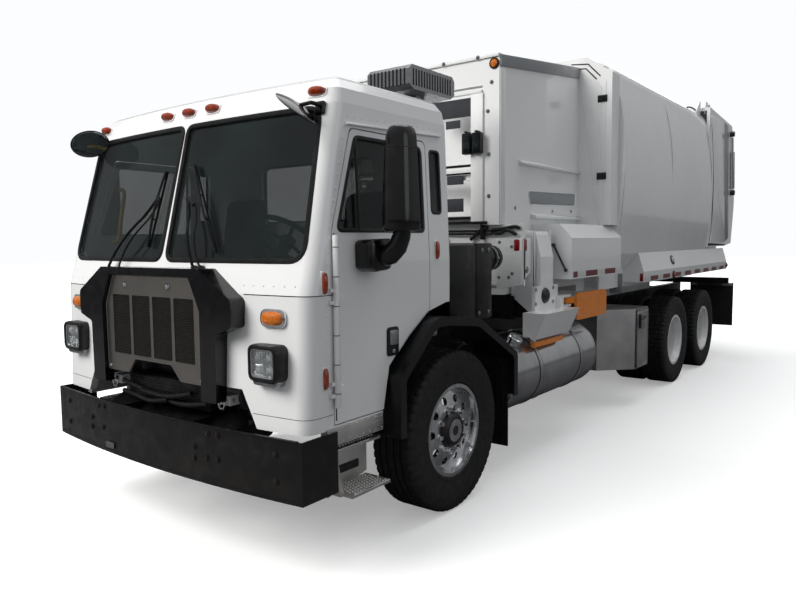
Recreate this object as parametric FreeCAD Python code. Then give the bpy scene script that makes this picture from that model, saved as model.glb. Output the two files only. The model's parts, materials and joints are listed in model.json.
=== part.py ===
"""Side-loading garbage truck: cab-over chassis, open hopper with a side arm, barrel body and hinged tailgate.

Millimetres. X to the vehicle's left, Y rearwards, Z up, drawn about the front axle on the ground; export()
moves each piece by SHIFT_Y so that the whole vehicle's box is centred on the origin.
"""

import FreeCAD, Part
import math
import os

os.makedirs("parts", exist_ok=True)
V = FreeCAD.Vector  # a point or a direction, in mm

# ---------------------------------------------------------------- overall sizes
BUMPER_FRONT_Y = -1480.0
TAIL_END_Y = 8060.0
REAR_AXLE_Y = 4974.0
TANDEM_SPACING = 1334.0
SHIFT_Y = -(BUMPER_FRONT_Y + TAIL_END_Y) / 2
RUNNING_GAP = 8.0      # between pieces that move past each other
SEAT_GAP = 0.3         # between pieces on different bodies that rest against each other

# wheels
TYRE_R = 525.0
TYRE_WIDTH = 300.0
TYRE_INNER_R = 292.0
RIM_R = 290.0
RIM_LIP_R = 303.0
RIM_WALL = 9.0
RIM_DROP = 26.0
HAND_HOLES = 10
HAND_HOLE_R = 26.0
HAND_HOLE_RING = 205.0
BEAD_GAP = 0.3
RIM_WIDTH = 262.0
FRONT_TRACK_X = 1035.0
DUAL_OUTER_X = 1045.0
DUAL_SPACING = 340.0
DISC_FLAT_R = 165.0
DISC_BORE_R = 60.0
DISC_THICK = 14.0
HUB_R = 105.0
BORE_CLEARANCE = 0.05
KINGPIN_X = 900.0
KINGPIN_R = 20.0
SPINDLE_R = 40.0
AXLE_TUBE_R = 75.0

# chassis rails
RAIL_OUT_X = 430.0
RAIL_FLANGE = 85.0
RAIL_WALL = 12.0
RAIL_TOP_Z = 1050.0
RAIL_HEIGHT = 270.0
RAIL_FRONT_Y = -1180.0
REAR_BAR_HALF = 1150.0
REAR_BAR_DEPTH = 70.0
REAR_BAR_HEIGHT = 88.0
REAR_BAR_LOW_Z = RAIL_TOP_Z + 2.0
RAIL_REAR_Y = 7960.0

# bumper
BUMPER_HALF = 1178.0
BUMPER_BOW = 80.0
BUMPER_LOW_Z = 456.0
BUMPER_HIGH_Z = 778.0
BUMPER_WALL = 10.0
BUMPER_RETURN = 260.0
BUMPER_BRACKET_X = (280.0, 390.0)

# cab
CAB_WALL = 45.0
CAB_BACK_Y = -30.0
CAB_SIDE_X = 1166.0
CAB_CORNER_R = 85.0
CAB_BACK_R = 45.0
LEAST_CORNER_R = 14.0
CAB_PIVOT_Y = -1250.0
CAB_PIVOT_Z = 900.0
DOOR_FRONT_Y = -1140.0
DOOR_REAR_Y = -285.0
DOOR_LOW_Z = 812.0
DOOR_TOP_Z = 2345.0
DOOR_GAP = 7.0
DOOR_THICK = 45.0
GLASS_THICK = 6.0
TUNNEL_HALF = 500.0

# body
HOPPER_FRONT_Y = 1150.0
BULKHEAD_Y = 2700.0
BARREL_FRONT_Y = 2900.0
TAILGATE_Y = 6372.0
BODY_FLOOR_Z = 1250.0
HOPPER_HALF = 850.0
HOPPER_WALL = 24.0
HEADER_THICK = 65.0
HOPPER_FLOOR_Z = 1372.0
HOPPER_FLOOR_THICK = 57.0
HOPPER_TOP_FRONT_Z = 3215.0
HOPPER_TOP_REAR_Z = 3395.0
BARREL_WALL = 28.0
FENDER_OUT_X = 1220.0

# arm
ARM_Y = 1490.0
ARM_BEAM_W = 330.0
ARM_BEAM_WALL = 14.0
ARM_BEAM_LOW_Z = 1125.0
ARM_BEAM_HIGH_Z = 1300.0
ARM_BEAM_IN_X = -HOPPER_HALF
ARM_RAIL_HALF = HOPPER_HALF + 50.0
ARM_PIVOT_Z = 1780.0
ARM_PIN_R = 25.0
MAST_X = HOPPER_HALF + 225.0
PIVOT_X = MAST_X - 55.0
MAST_THICK = 32.0
CHEEK_THICK = 40.0
SLIDE_GAP = 5.0
GRIP_FRONT_Y = 1110.0
GRIP_REAR_Y = 1750.0
FINGER_X = MAST_X + 43.0
REAR_PIN_Y = 1850.0
FRONT_FINGER_X = MAST_X + 85.0
FRONT_PIN_Y = 1155.0
FRONT_FINGER_LOW_Z = 925.0
FINGER_PIN_R = 14.0
EAR_THICK = 22.0
EAR_GAP = 5.0
REAR_FINGER_LOW_Z = 1210.0
REAR_FINGER_HIGH_Z = 1262.0
FINGER_LOW_Z = 1060.0
FINGER_TOP_Z = 1295.0
REAR_FINGER_END_Y = 2600.0

# cab pieces
CAB_LOW_Z = 790.0
CAB_LEVELS = (  # z, half width, front at the corner, front at the middle, back
    (790.0, 1160.0, -1350.0, -1415.0, -30.0),
    (1490.0, 1168.0, -1328.0, -1388.0, -30.0),
    (1640.0, 1168.0, -1285.0, -1345.0, -30.0),
    (2475.0, 1128.0, -1078.0, -1136.0, -22.0),
)
ROOF_TOP_Z = 2632.0
ROOF_EDGE_R = 120.0
ROOF_STEPS = (0, 30, 55, 75, 90)
ARCH_FRONT_Y = -749.0
BELT_Z = 1806.0
SCREEN_POST = 50.0
SCREEN_LOW_Z = 1662.0
SCREEN_TOP_Z = 2446.0
KICK_LOW_Z = 700.0
CAB_REST_Z = 1372.0
DOOR_HINGE_X = 1186.0
DOOR_HINGE_Y = -1143.0
DOOR_HINGE_ZS = (1000.0, 1480.0)
DOOR_PIN_R = 7.0
CAB_EYE_X = 590.0
CAB_PIN_R = 18.0
FIREWALL_Y = -1190.0
FLOOR_THICK = 40.0
FLOOR_LOW_Z = 850.0
TUNNEL_TOP_Z = 1392.0
FLOOR_LINE = (  # y, z of the floor's top from the firewall rearwards
    (FIREWALL_Y, FLOOR_LOW_Z), (-790.0, FLOOR_LOW_Z), (-730.0, 1090.0), (-525.0, 1268.0),
    (-310.0, TUNNEL_TOP_Z), (-60.0, 1430.0),
)
FLOOR_UNDER = (  # y, drop of the same line's underside, thinner across the slopes
    (-60.0, 1430.0), (-306.0, TUNNEL_TOP_Z), (-505.0, 1268.0), (-700.0, 1090.0), (-760.0, FLOOR_LOW_Z),
    (FIREWALL_Y, FLOOR_LOW_Z),
)
PIVOT_LUG_THICK = 26.0
GRILLE_Y = -1432.0
GRILLE_THICK = 12.0
GRILLE_MESH_HALF = 400.0
GRILLE_BAR = 26.0
SURROUND_Y = -1458.0
HEADLAMP_X = 930.0
HEADLAMP_Z = 1148.0
HEADLAMP_HALF_W = 108.0
HEADLAMP_HALF_H = 96.0
SEAT_X = 620.0
SEAT_FRONT_Y = -640.0
SEAT_BACK_Y = -190.0
SEAT_LOW_Z = 1460.0
SEAT_HALF = 240.0
SEAT_JOINT_Y = -316.0
CUSHION_THICK = 130.0
WHEEL_CENTRE_Y = -930.0
WHEEL_CENTRE_Z = 1765.0
WHEEL_RAKE = 38.0
WHEEL_RIM_R = 215.0
MIRROR_X = 1300.0
MIRROR_FRONT_Y = -1035.0
MIRROR_REAR_Y = -700.0
MIRROR_LOW_Z = 1808.0
MIRROR_HIGH_Z = 2345.0
MIRROR_ARM_R = 32.0
POD_OUT_X = 1285.0

# chassis pieces
TOW_BORE_R = 16.0
RADIATOR_HALF = 400.0
RADIATOR_TOP_Z = 1300.0
RADIATOR_THICK = 70.0
ENGINE_FRONT_Y = -860.0
ENGINE_REAR_Y = 900.0
ENGINE_LOW_Z = 640.0
ENGINE_TOP_Z = 1250.0
KNUCKLE_BOSS_R = 52.0
SPRING_REACH = 720.0
TANK_X = 905.0
TANK_Z = 720.0
TANK_R = 295.0
TANK_FRONT_Y = 745.0
TANK_REAR_Y = 2360.0
TOOLBOX_IN_X = 870.0
TOOLBOX_OUT_X = 1200.0
TOOLBOX_FRONT_Y = 3110.0
TOOLBOX_REAR_Y = 3820.0
TOOLBOX_LOW_Z = 400.0
TOOLBOX_HIGH_Z = 1030.0
TOOLBOX_WALL = 12.0
TOOLBOX_CORNER = 310.0
TOOLBOX_BACK_X = TOOLBOX_IN_X - 300.0
TOOLBOX_DOOR_GAP = 5.0
TOOLBOX_DOOR_FRONT_Y = TOOLBOX_FRONT_Y + TOOLBOX_CORNER + 6.0 + TOOLBOX_WALL + TOOLBOX_DOOR_GAP
TOOLBOX_DOOR_REAR_Y = TOOLBOX_REAR_Y - TOOLBOX_WALL - TOOLBOX_DOOR_GAP
TOOLBOX_EAR = 32.0
TOOLBOX_PIN_X = TOOLBOX_OUT_X + 4
TOOLBOX_PIN_Z = TOOLBOX_LOW_Z + 10
TOOLBOX_PIN_R = 5.0
FENDER_WALL = 14.0
FENDER_LIP = 40.0
FENDER_IN_X = 880.0
FENDER_OUT_FRONT_X = 1250.0
FENDER_FOOT_Z = 640.0
FENDER_ARM_Y = 50.0
FENDER_ARM_R = 22.0
BATTERY_OUT_X = 1130.0
BATTERY_FRONT_Y = 760.0
BATTERY_REAR_Y = 1500.0
BATTERY_LOW_Z = 480.0
BATTERY_TOP_Z = 980.0
HANGER_REACH = 60.0
AIR_TANK_R = 125.0
AIR_TANK_X = 760.0
AIR_TANK_FRONT_Y = 1900.0
AIR_TANK_REAR_Y = 2900.0
AIR_TANK_ZS = (600.0, 880.0)
INTAKE_IN_X = 700.0
INTAKE_OUT_X = 1090.0
INTAKE_FRONT_Y = 60.0
INTAKE_REAR_Y = 400.0
INTAKE_LOW_Z = 1345.0
INTAKE_TOP_Z = 1730.0
CANISTER_R = 150.0
CANISTER_LENGTH = 240.0
STACK_X = 600.0
STACK_Y = 470.0
STACK_R = 75.0
STACK_BEND_Z = 2600.0
HOOD_IN_X = 430.0
HOOD_OUT_X = 790.0
STEP_IN_X = 1010.0
STEP_OUT_X = 1196.0
STEP_PLATE = 6.0
TREAD_THICK = 18.0
LOW_TREAD_Z = 395.0
TOP_TREAD_Z = 640.0
FLAP_THICK = 12.0
FRONT_FLAP_Y = 688.0
FLAP_ARM_DEPTH = 42.0
FRONT_FLAP_OUT_X = 1180.0
FRONT_FLAP_Z = (250.0, 900.0)
REAR_FLAP_X = (560.0, 1200.0)
REAR_FLAP_LOW_Z = 380.0
LOW_TREAD_Y = (-1052.0, -725.0)
TOP_TREAD_Y = (-1120.0, -728.0)
STEP_SIDE = (  # y, z
    (-1235, 457), (-1235, 640), (-1130, 662), (-720, 662), (-720, 430), (-1050, 360),
)
STEP_RISER = (  # y, z
    (-1080, 400), (-1050, 400), (-1108, 655), (-1138, 655),
)
SPINDLE_REACH = 258.0
KNUCKLE_LOW = 60.0
KNUCKLE_HIGH = 100.0

# body pieces
BARREL_FOOT_X = 1000.0
BARREL_KNEE_Z = 1440.0
BARREL_SIDE_X = 1160.0
BARREL_SIDE_Z = 1610.0
BARREL_BULGE_X = 1240.0
BARREL_BULGE_Z = 2480.0
BARREL_SHOULDER_X = 1135.0
BARREL_SHOULDER_Z = 3290.0
BARREL_ROOF_X = 950.0
BARREL_ROOF_Z = 3460.0
BARREL_TOP_Z = 3520.0
FENDER_LOW_Z = 1300.0
FENDER_FRONT_Y = 3600.0
FENDER_REAR_Y = 7430.0
BULKHEAD_FOOT_Z = 1890.0
BULKHEAD_HALF = 1180.0
BULKHEAD_SHOULDER_Z = 3310.0
BULKHEAD_TOP_HALF = 940.0
BULKHEAD_TOP_Z = 3475.0
MOUTH_TOP_Z = 3100.0
HEADER_PANEL_LOW_Z = 2985.0
HEADER_POST_W = 150.0
HEADER_POST_LOW_Z = 1880.0
HEADER_BAR_Z = (2250.0, 2330.0)
HEADER_SILL_TOP_Z = 1960.0
APRON_HALF = 1050.0
APRON_LOW_Z = 1395.0
TAIL_WAIST_Z = 1640.0
TAIL_LOW_Z = 1290.0
TAIL_HEEL_Z = 1680.0
TAIL_BULGE_Z = 2300.0
TAIL_SHOULDER_Z = 3150.0
TAIL_CROWN_Z = 3430.0
SIDE_BOX_FRONT_Y = 1720.0
SIDE_BOX_REAR_Y = BARREL_FRONT_Y
HINGE_Y = TAILGATE_Y - 20.0
HINGE_Z = 3590.0
HINGE_X = 640.0
HINGE_PIN_R = 22.0
TAIL_MID_Y = 7400.0
TAIL_REAR_Y = 7860.0
TAIL_BULGE_Y = 8010.0
TAILGATE_TOP_Z = 3520.0
TAIL_HALF = 1180.0
TAIL_LOW_HALF = 980.0
TAIL_WALL = 40.0


ARCH_BENDS = (  # y, z
    (-689, 1042), (-484, 1210), (-296, 1330),
)
REAR_WINDOW = (  # x, z, corner radius
    (-560, 1900, 60), (560, 1900, 60), (560, 2330, 60), (-560, 2330, 60),
)
QUARTER_WINDOW = (  # y, z, corner radius
    (-238, 1925, 25), (-138, 1925, 25), (-138, 2300, 25), (-238, 2300, 25),
)
RECESS_EDGE = (  # x, z of its left half, upwards
    (722, 986), (560, 986), (560, 1560),
)
GRILLE_OUTLINE = (  # x, z, corner radius
    (-478, 980, 12), (-250, 980, 30), (-176, 1066, 20), (176, 1066, 20), (262, 980, 30), (478, 980, 12),
    (482, 1392, 20), (392, 1572, 8), (-392, 1572, 8), (-482, 1392, 20),
)
GRILLE_WINDOW_Z = (1090, 1450)
SURROUND_EDGE = (  # x, z, corner radius of its left half, downwards
    (478, 1618, 30), (742, 1462, 40), (742, 1318, 25), (612, 1275, 20), (606, 905, 12),
)
MAST_Z = (1100, 1386)
GRIP_Z = (1000, 1190)
PAD_LOW_Z = 985
DASH_HALF = 1085
CONSOLE_HALF = 330
CONSOLE_END_Y = -760
CONSOLE_TOP_Z = 1500

# ---------------------------------------------------------------- shape helpers
def box(x0, x1, y0, y1, z0, z1):
    """Box between two corners."""
    return Part.makeBox(x1 - x0, y1 - y0, z1 - z0, V(x0, y0, z0))


def rod(start, end, radius):
    """Round bar between two points."""
    a, b = V(*start), V(*end)
    return Part.makeCylinder(radius, (b - a).Length, a, b - a)


def wire_2d(points, place):
    """Closed wire through (u, v, corner radius) points; place(u, v) gives the point in space."""
    count = len(points)
    flat = [V(p[0], p[1], 0) for p in points]
    edges, ends = [], []
    for i, here in enumerate(flat):
        radius = points[i][2] if len(points[i]) > 2 else 0
        before, after = flat[i - 1] - here, flat[(i + 1) % count] - here
        before.normalize()
        after.normalize()
        if radius:
            half = before.getAngle(after) / 2
            reach = radius / math.tan(half)
            middle = before + after
            middle.normalize()
            centre = here + middle * (radius / math.sin(half))
            ends.append((here + before * reach, centre - middle * radius, here + after * reach))
        else:
            ends.append((here, None, here))
    for i, (first, mid, last) in enumerate(ends):
        if mid is not None:
            spots = [place(p.x, p.y) for p in (first, mid, last)]
            edges.append(Part.Arc(*spots).toShape())
        following = ends[(i + 1) % count][0]
        if (following - last).Length > 1e-6:
            side = Part.LineSegment(place(last.x, last.y), place(following.x, following.y))
            edges.append(side.toShape())
    return Part.Wire(edges)


def plate_yz(points, x0, x1):
    """Outline of (y, z, corner radius) points, extruded from x0 to x1."""
    wire = wire_2d(points, lambda u, v: V(x0, u, v))
    return Part.Face(wire).extrude(V(x1 - x0, 0, 0))


def plate_xz(points, y0, y1):
    """Outline of (x, z, corner radius) points, extruded from y0 to y1."""
    wire = wire_2d(points, lambda u, v: V(u, y0, v))
    return Part.Face(wire).extrude(V(0, y1 - y0, 0))


def plate_xy(points, z0, z1):
    """Outline of (x, y, corner radius) points, extruded from z0 to z1."""
    wire = wire_2d(points, lambda u, v: V(u, v, z0))
    return Part.Face(wire).extrude(V(0, 0, z1 - z0))


def turned(profile, x=0.0, y=0.0, z=0.0):
    """Solid of revolution about an axle along X, from (x, radius) points."""
    wire = Part.makePolygon([V(x + p[0], y, z + p[1]) for p in profile + profile[:1]])
    return Part.Face(wire).revolve(V(x, y, z), V(1, 0, 0), 360)


def mirrored(shape):
    """The same piece on the other side of the vehicle."""
    return shape.mirror(V(0, 0, 0), V(1, 0, 0))


def joined(pieces):
    """One solid from pieces that touch or cross."""
    whole = pieces[0].multiFuse(pieces[1:])
    return whole.removeSplitter()


def both_sides(shape):
    """A piece and its mirror image, as separate solids of one node."""
    return Part.makeCompound([shape, mirrored(shape)])


def export(name, shape):
    """Writes one node, centred lengthwise on the vehicle."""
    placed = shape.copy()
    placed.translate(V(0, SHIFT_Y, 0))
    placed.exportStep(f"parts/{name}.step")


# ---------------------------------------------------------------- wheels
def tyre(x):
    """One tyre, its axle along X, centred on x."""
    half = TYRE_WIDTH / 2
    shoulder = half - 14
    bead = RIM_WIDTH / 2 - 12
    side = TYRE_R - 95
    profile = [(-shoulder, TYRE_R - 10), (-shoulder + 14, TYRE_R), (shoulder - 14, TYRE_R),
               (shoulder, TYRE_R - 10), (half - 3, TYRE_R - 55), (half, side), (half - 12, side - 60),
               (bead, TYRE_INNER_R), (bead - 26, TYRE_INNER_R), (half - 36, side - 50), (half - 28, side + 10),
               (shoulder - 22, TYRE_R - 42), (-shoulder + 22, TYRE_R - 42), (-half + 28, side + 10),
               (-half + 36, side - 50), (-bead + 26, TYRE_INNER_R), (-bead, TYRE_INNER_R),
               (-half + 12, side - 60), (-half, side), (-half + 3, TYRE_R - 55)]
    return turned(profile, x, 0, TYRE_R)


def rim_band(x):
    """The rim that carries one tyre: a drop-centre band with a lip each side."""
    half = RIM_WIDTH / 2
    bead = TYRE_INNER_R - BEAD_GAP
    well = RIM_R - RIM_DROP
    outer = [(-half, RIM_LIP_R), (-half + 9, RIM_LIP_R), (-half + 12, bead), (-half + 50, bead),
             (-half + 74, well), (half - 74, well), (half - 50, bead), (half - 12, bead),
             (half - 9, RIM_LIP_R), (half, RIM_LIP_R)]
    inner = [(half, RIM_R - RIM_WALL - 2), (half - 70, well - RIM_WALL), (-half + 70, well - RIM_WALL),
             (-half, RIM_R - RIM_WALL - 2)]
    return turned(outer + inner, x, 0, TYRE_R)


def disc(x, dish, rim):
    """Wheel disc at x out to radius rim, with hand holes; dish is how far its middle stands outboard."""
    profile = [(0, rim), (DISC_THICK, rim), (dish + DISC_THICK, DISC_FLAT_R), (dish + DISC_THICK, DISC_BORE_R),
               (dish, DISC_BORE_R), (dish, DISC_FLAT_R)]
    plate = turned(profile, x, 0, TYRE_R)
    for i in range(HAND_HOLES):
        angle = 2 * math.pi * i / HAND_HOLES
        y = HAND_HOLE_RING * math.cos(angle)
        z = TYRE_R + HAND_HOLE_RING * math.sin(angle)
        low, high = sorted((x - 2 * DISC_THICK, x + dish + 3 * DISC_THICK))
        plate = plate.cut(rod((low, y, z), (high, y, z), HAND_HOLE_R))
    return plate


def front_wheel():
    """Left front rim with its hub, bored for the spindle."""
    band = rim_band(FRONT_TRACK_X)
    disc_x = FRONT_TRACK_X + 62
    plate = disc(disc_x, 26, RIM_R - RIM_DROP)
    bore = SPINDLE_R + BORE_CLEARANCE
    hub = turned([(KINGPIN_X + 115, bore), (KINGPIN_X + 115, HUB_R + 25), (disc_x + 20, HUB_R + 25),
                  (disc_x + 45, HUB_R), (disc_x + 75, HUB_R - 25), (disc_x + 75, 0),
                  (KINGPIN_X + SPINDLE_REACH + 4, 0), (KINGPIN_X + SPINDLE_REACH + 4, bore)], 0, 0, TYRE_R)
    return joined([band, plate, hub])


def front_tyre():
    """Left front tyre."""
    return tyre(FRONT_TRACK_X)


def rear_wheel(y):
    """Left pair of rear rims bolted back to back on one hub."""
    inner_x = DUAL_OUTER_X - DUAL_SPACING
    middle = (DUAL_OUTER_X + inner_x) / 2
    bore = AXLE_TUBE_R - 30 + BORE_CLEARANCE
    hub = turned([(inner_x + 45, bore), (inner_x + 45, HUB_R + 45), (middle + 20, HUB_R + 45),
                  (middle + 30, HUB_R - 5), (middle + 150, HUB_R - 20), (middle + 150, 0), (middle + 120, 0),
                  (middle + 120, bore)], 0, 0, TYRE_R)
    outer_disc = disc(middle + 34 + DISC_THICK, -34, RIM_R - 9)
    inner_disc = disc(middle - 34 - DISC_THICK, 34 - DISC_THICK, RIM_R - 9)
    whole = joined([rim_band(DUAL_OUTER_X), rim_band(inner_x), outer_disc, inner_disc, hub])
    whole.translate(V(0, y, 0))
    return whole


def rear_tyres(y):
    """Left pair of rear tyres on the axle at y."""
    pair = Part.makeCompound([tyre(DUAL_OUTER_X), tyre(DUAL_OUTER_X - DUAL_SPACING)])
    pair.translate(V(0, y, 0))
    return pair


# ---------------------------------------------------------------- chassis
def c_rail():
    """Left rail, a channel open inboard."""
    top = RAIL_TOP_Z
    low = top - RAIL_HEIGHT
    x1, x0 = RAIL_OUT_X, RAIL_OUT_X - RAIL_FLANGE
    web = RAIL_OUT_X - RAIL_WALL
    outline = [(x1, low), (x1, top), (x0, top), (x0, top - RAIL_WALL), (web, top - RAIL_WALL),
               (web, low + RAIL_WALL), (x0, low + RAIL_WALL), (x0, low)]
    return plate_xz(outline, RAIL_FRONT_Y, RAIL_REAR_Y)


CROSS_MEMBER_YS = (-1130.0, 1180.0, 2300.0, 3500.0, REAR_AXLE_Y + TANDEM_SPACING / 2, 7700.0)


def chassis_frame():
    """Ladder frame: two channels, cross members, the bar across the tail and the cab's rest beam."""
    rail = c_rail()
    web = RAIL_OUT_X - RAIL_WALL
    pieces = [rail, mirrored(rail)]
    for y in CROSS_MEMBER_YS:
        pieces.append(box(-web, web, y - 45, y + 45, RAIL_TOP_Z - RAIL_HEIGHT + 60, RAIL_TOP_Z - 60))
    pieces.append(box(-REAR_BAR_HALF, REAR_BAR_HALF, RAIL_REAR_Y - REAR_BAR_DEPTH, RAIL_REAR_Y,
                      REAR_BAR_LOW_Z, REAR_BAR_LOW_Z + REAR_BAR_HEIGHT))
    foot = box(RAIL_OUT_X - RAIL_FLANGE, RAIL_OUT_X, RAIL_REAR_Y - 120, RAIL_REAR_Y,
               RAIL_TOP_Z - 5, RAIL_TOP_Z + 20)
    return joined(pieces + [foot, mirrored(foot)] + cab_rest())


def bumper_plan(inset, back_y):
    """Plan face of the bowed bumper, drawn in by inset and carried back to back_y."""
    half = BUMPER_HALF - inset
    side_y = BUMPER_FRONT_Y + BUMPER_BOW + inset
    corners = [V(half, side_y, 0), V(half, back_y, 0), V(-half, back_y, 0), V(-half, side_y, 0)]
    bow = Part.Arc(corners[0], V(0, BUMPER_FRONT_Y + inset, 0), corners[3]).toShape()
    sides = [Part.LineSegment(a, b).toShape() for a, b in zip(corners, corners[1:])]
    return Part.Face(Part.Wire(Part.__sortEdges__([bow] + sides)))


def front_bumper():
    """Deep bowed plate with returns at its ends and two brackets back to the rails."""
    back_y = BUMPER_FRONT_Y + BUMPER_BOW + BUMPER_RETURN
    height = V(0, 0, BUMPER_HIGH_Z - BUMPER_LOW_Z)
    shell = bumper_plan(0, back_y).extrude(height).cut(bumper_plan(BUMPER_WALL, back_y + 1).extrude(height))
    shell.translate(V(0, 0, BUMPER_LOW_Z))
    bracket = box(*BUMPER_BRACKET_X, BUMPER_FRONT_Y, RAIL_FRONT_Y + 120, BUMPER_LOW_Z + 60,
                  RAIL_TOP_Z - RAIL_HEIGHT)
    bracket = bracket.common(bumper_plan(BUMPER_WALL, 0).extrude(V(0, 0, RAIL_TOP_Z)))
    return joined([shell, bracket, mirrored(bracket)])


def radiator():
    """Cooling pack standing behind the grille on the front of the rails."""
    return box(-RADIATOR_HALF, RADIATOR_HALF, RAIL_FRONT_Y - RADIATOR_THICK, RAIL_FRONT_Y,
               RAIL_TOP_Z - RAIL_HEIGHT, RADIATOR_TOP_Z)


def engine_block():
    """Engine and gearbox as one plain block between the rails."""
    half = RAIL_OUT_X - RAIL_FLANGE
    return box(-half, half, ENGINE_FRONT_Y, ENGINE_REAR_Y, ENGINE_LOW_Z, ENGINE_TOP_Z)


def front_axle():
    """Dropped beam with a bored kingpin boss at each end, and a leaf spring under each rail."""
    z = TYRE_R
    beam = box(-KINGPIN_X + 130, KINGPIN_X - 130, -45, 45, z - 125, z - 35)
    ramp = plate_xz([(KINGPIN_X - 200, z - 125), (KINGPIN_X - 40, z - 45), (KINGPIN_X - 40, z + 45),
                     (KINGPIN_X - 70, z + 45), (KINGPIN_X - 200, z - 35)], -40, 40)
    boss = rod((KINGPIN_X, 0, z - 55), (KINGPIN_X, 0, z + 55), KNUCKLE_BOSS_R)
    end = joined([ramp, boss]).cut(
        rod((KINGPIN_X, 0, z - 60), (KINGPIN_X, 0, z + 60), KINGPIN_R + BORE_CLEARANCE))
    low = RAIL_TOP_Z - RAIL_HEIGHT
    x0, x1 = RAIL_OUT_X - RAIL_FLANGE, RAIL_OUT_X
    leaf = plate_yz([(-SPRING_REACH, low), (-SPRING_REACH, low - 60), (-SPRING_REACH + 60, low - 60),
                     (-90, z - 15), (-90, z - 35), (90, z - 35), (90, z - 15), (SPRING_REACH - 60, low - 60),
                     (SPRING_REACH, low - 60), (SPRING_REACH, low), (SPRING_REACH - 60, low),
                     (SPRING_REACH - 60, low - 35), (90, z + 30), (-90, z + 30),
                     (-SPRING_REACH + 60, low - 35), (-SPRING_REACH + 60, low)], x0, x1)
    return joined([beam, end, mirrored(end), leaf, mirrored(leaf)])


def knuckle():
    """Left steering knuckle: a fork round the beam's boss, the kingpin, and the spindle."""
    z = TYRE_R
    low_z, high_z = z - KNUCKLE_HIGH, z + KNUCKLE_HIGH
    fork = []
    for low, high in ((z + KNUCKLE_LOW, high_z), (low_z, z - KNUCKLE_LOW)):
        fork.append(rod((KINGPIN_X, 0, low), (KINGPIN_X, 0, high), KNUCKLE_BOSS_R))
        fork.append(box(KINGPIN_X, KINGPIN_X + 105, -50, 50, low, high))
    web = box(KINGPIN_X + 65, KINGPIN_X + 105, -60, 60, low_z, high_z)
    pin = rod((KINGPIN_X, 0, low_z), (KINGPIN_X, 0, high_z), KINGPIN_R)
    spindle = rod((KINGPIN_X + 100, 0, z), (KINGPIN_X + SPINDLE_REACH, 0, z), SPINDLE_R)
    arm = box(KINGPIN_X - 20, KINGPIN_X + 20, -170, 0, z - 98, z - 66)
    return joined(fork + [web, pin, spindle, arm])


def rear_axles():
    """Two tube axles with their differential cases, on a walking-beam suspension under the rails."""
    z = TYRE_R
    pieces = []
    reach = (2 * DUAL_OUTER_X - DUAL_SPACING) / 2 + 118
    inner = DUAL_OUTER_X - DUAL_SPACING + 40
    for y in (REAR_AXLE_Y, REAR_AXLE_Y + TANDEM_SPACING):
        pieces.append(rod((-inner, y, z), (inner, y, z), AXLE_TUBE_R))
        pieces.append(rod((-reach, y, z), (reach, y, z), AXLE_TUBE_R - 30))
        pieces.append(rod((0, y - 130, z), (0, y + 170, z), 190))
    middle = REAR_AXLE_Y + TANDEM_SPACING / 2
    low = RAIL_TOP_Z - RAIL_HEIGHT
    for side in (-1, 1):
        x0, x1 = sorted((side * (RAIL_OUT_X - RAIL_FLANGE), side * (RAIL_OUT_X + 20)))
        pieces.append(box(x0, x1, REAR_AXLE_Y - 90, REAR_AXLE_Y + TANDEM_SPACING + 90, z - 60, z + 60))
        trunnion = [(middle - 150, z), (middle + 150, z), (middle + 250, low), (middle - 250, low)]
        pieces.append(plate_yz(trunnion, x0, x1))
    return joined(pieces)


def fuel_tank():
    """Left round tank with domed ends, saddles to the rail and a flat steel front plate."""
    barrel = rod((TANK_X, TANK_FRONT_Y, TANK_Z), (TANK_X, TANK_REAR_Y, TANK_Z), TANK_R)
    barrel = barrel.makeFillet(40, [e for e in barrel.Edges if e.Length > TANK_R * 6])
    saddles = []
    for y in (TANK_FRONT_Y + 330, TANK_REAR_Y - 330):
        saddles.append(box(RAIL_OUT_X, TANK_X - 100, y - 35, y + 35,
                           RAIL_TOP_Z - RAIL_HEIGHT + 10, TANK_Z + 200))
    return joined([barrel] + saddles)


def toolbox_ends(inset):
    """The y of the door pin's two ends, drawn in by inset."""
    return TOOLBOX_DOOR_FRONT_Y + inset, TOOLBOX_DOOR_REAR_Y - inset


def toolbox_pin(inset, radius):
    """Round bar along the door's hinge line."""
    y0, y1 = toolbox_ends(inset)
    return rod((TOOLBOX_PIN_X, y0, TOOLBOX_PIN_Z), (TOOLBOX_PIN_X, y1, TOOLBOX_PIN_Z), radius)


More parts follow.
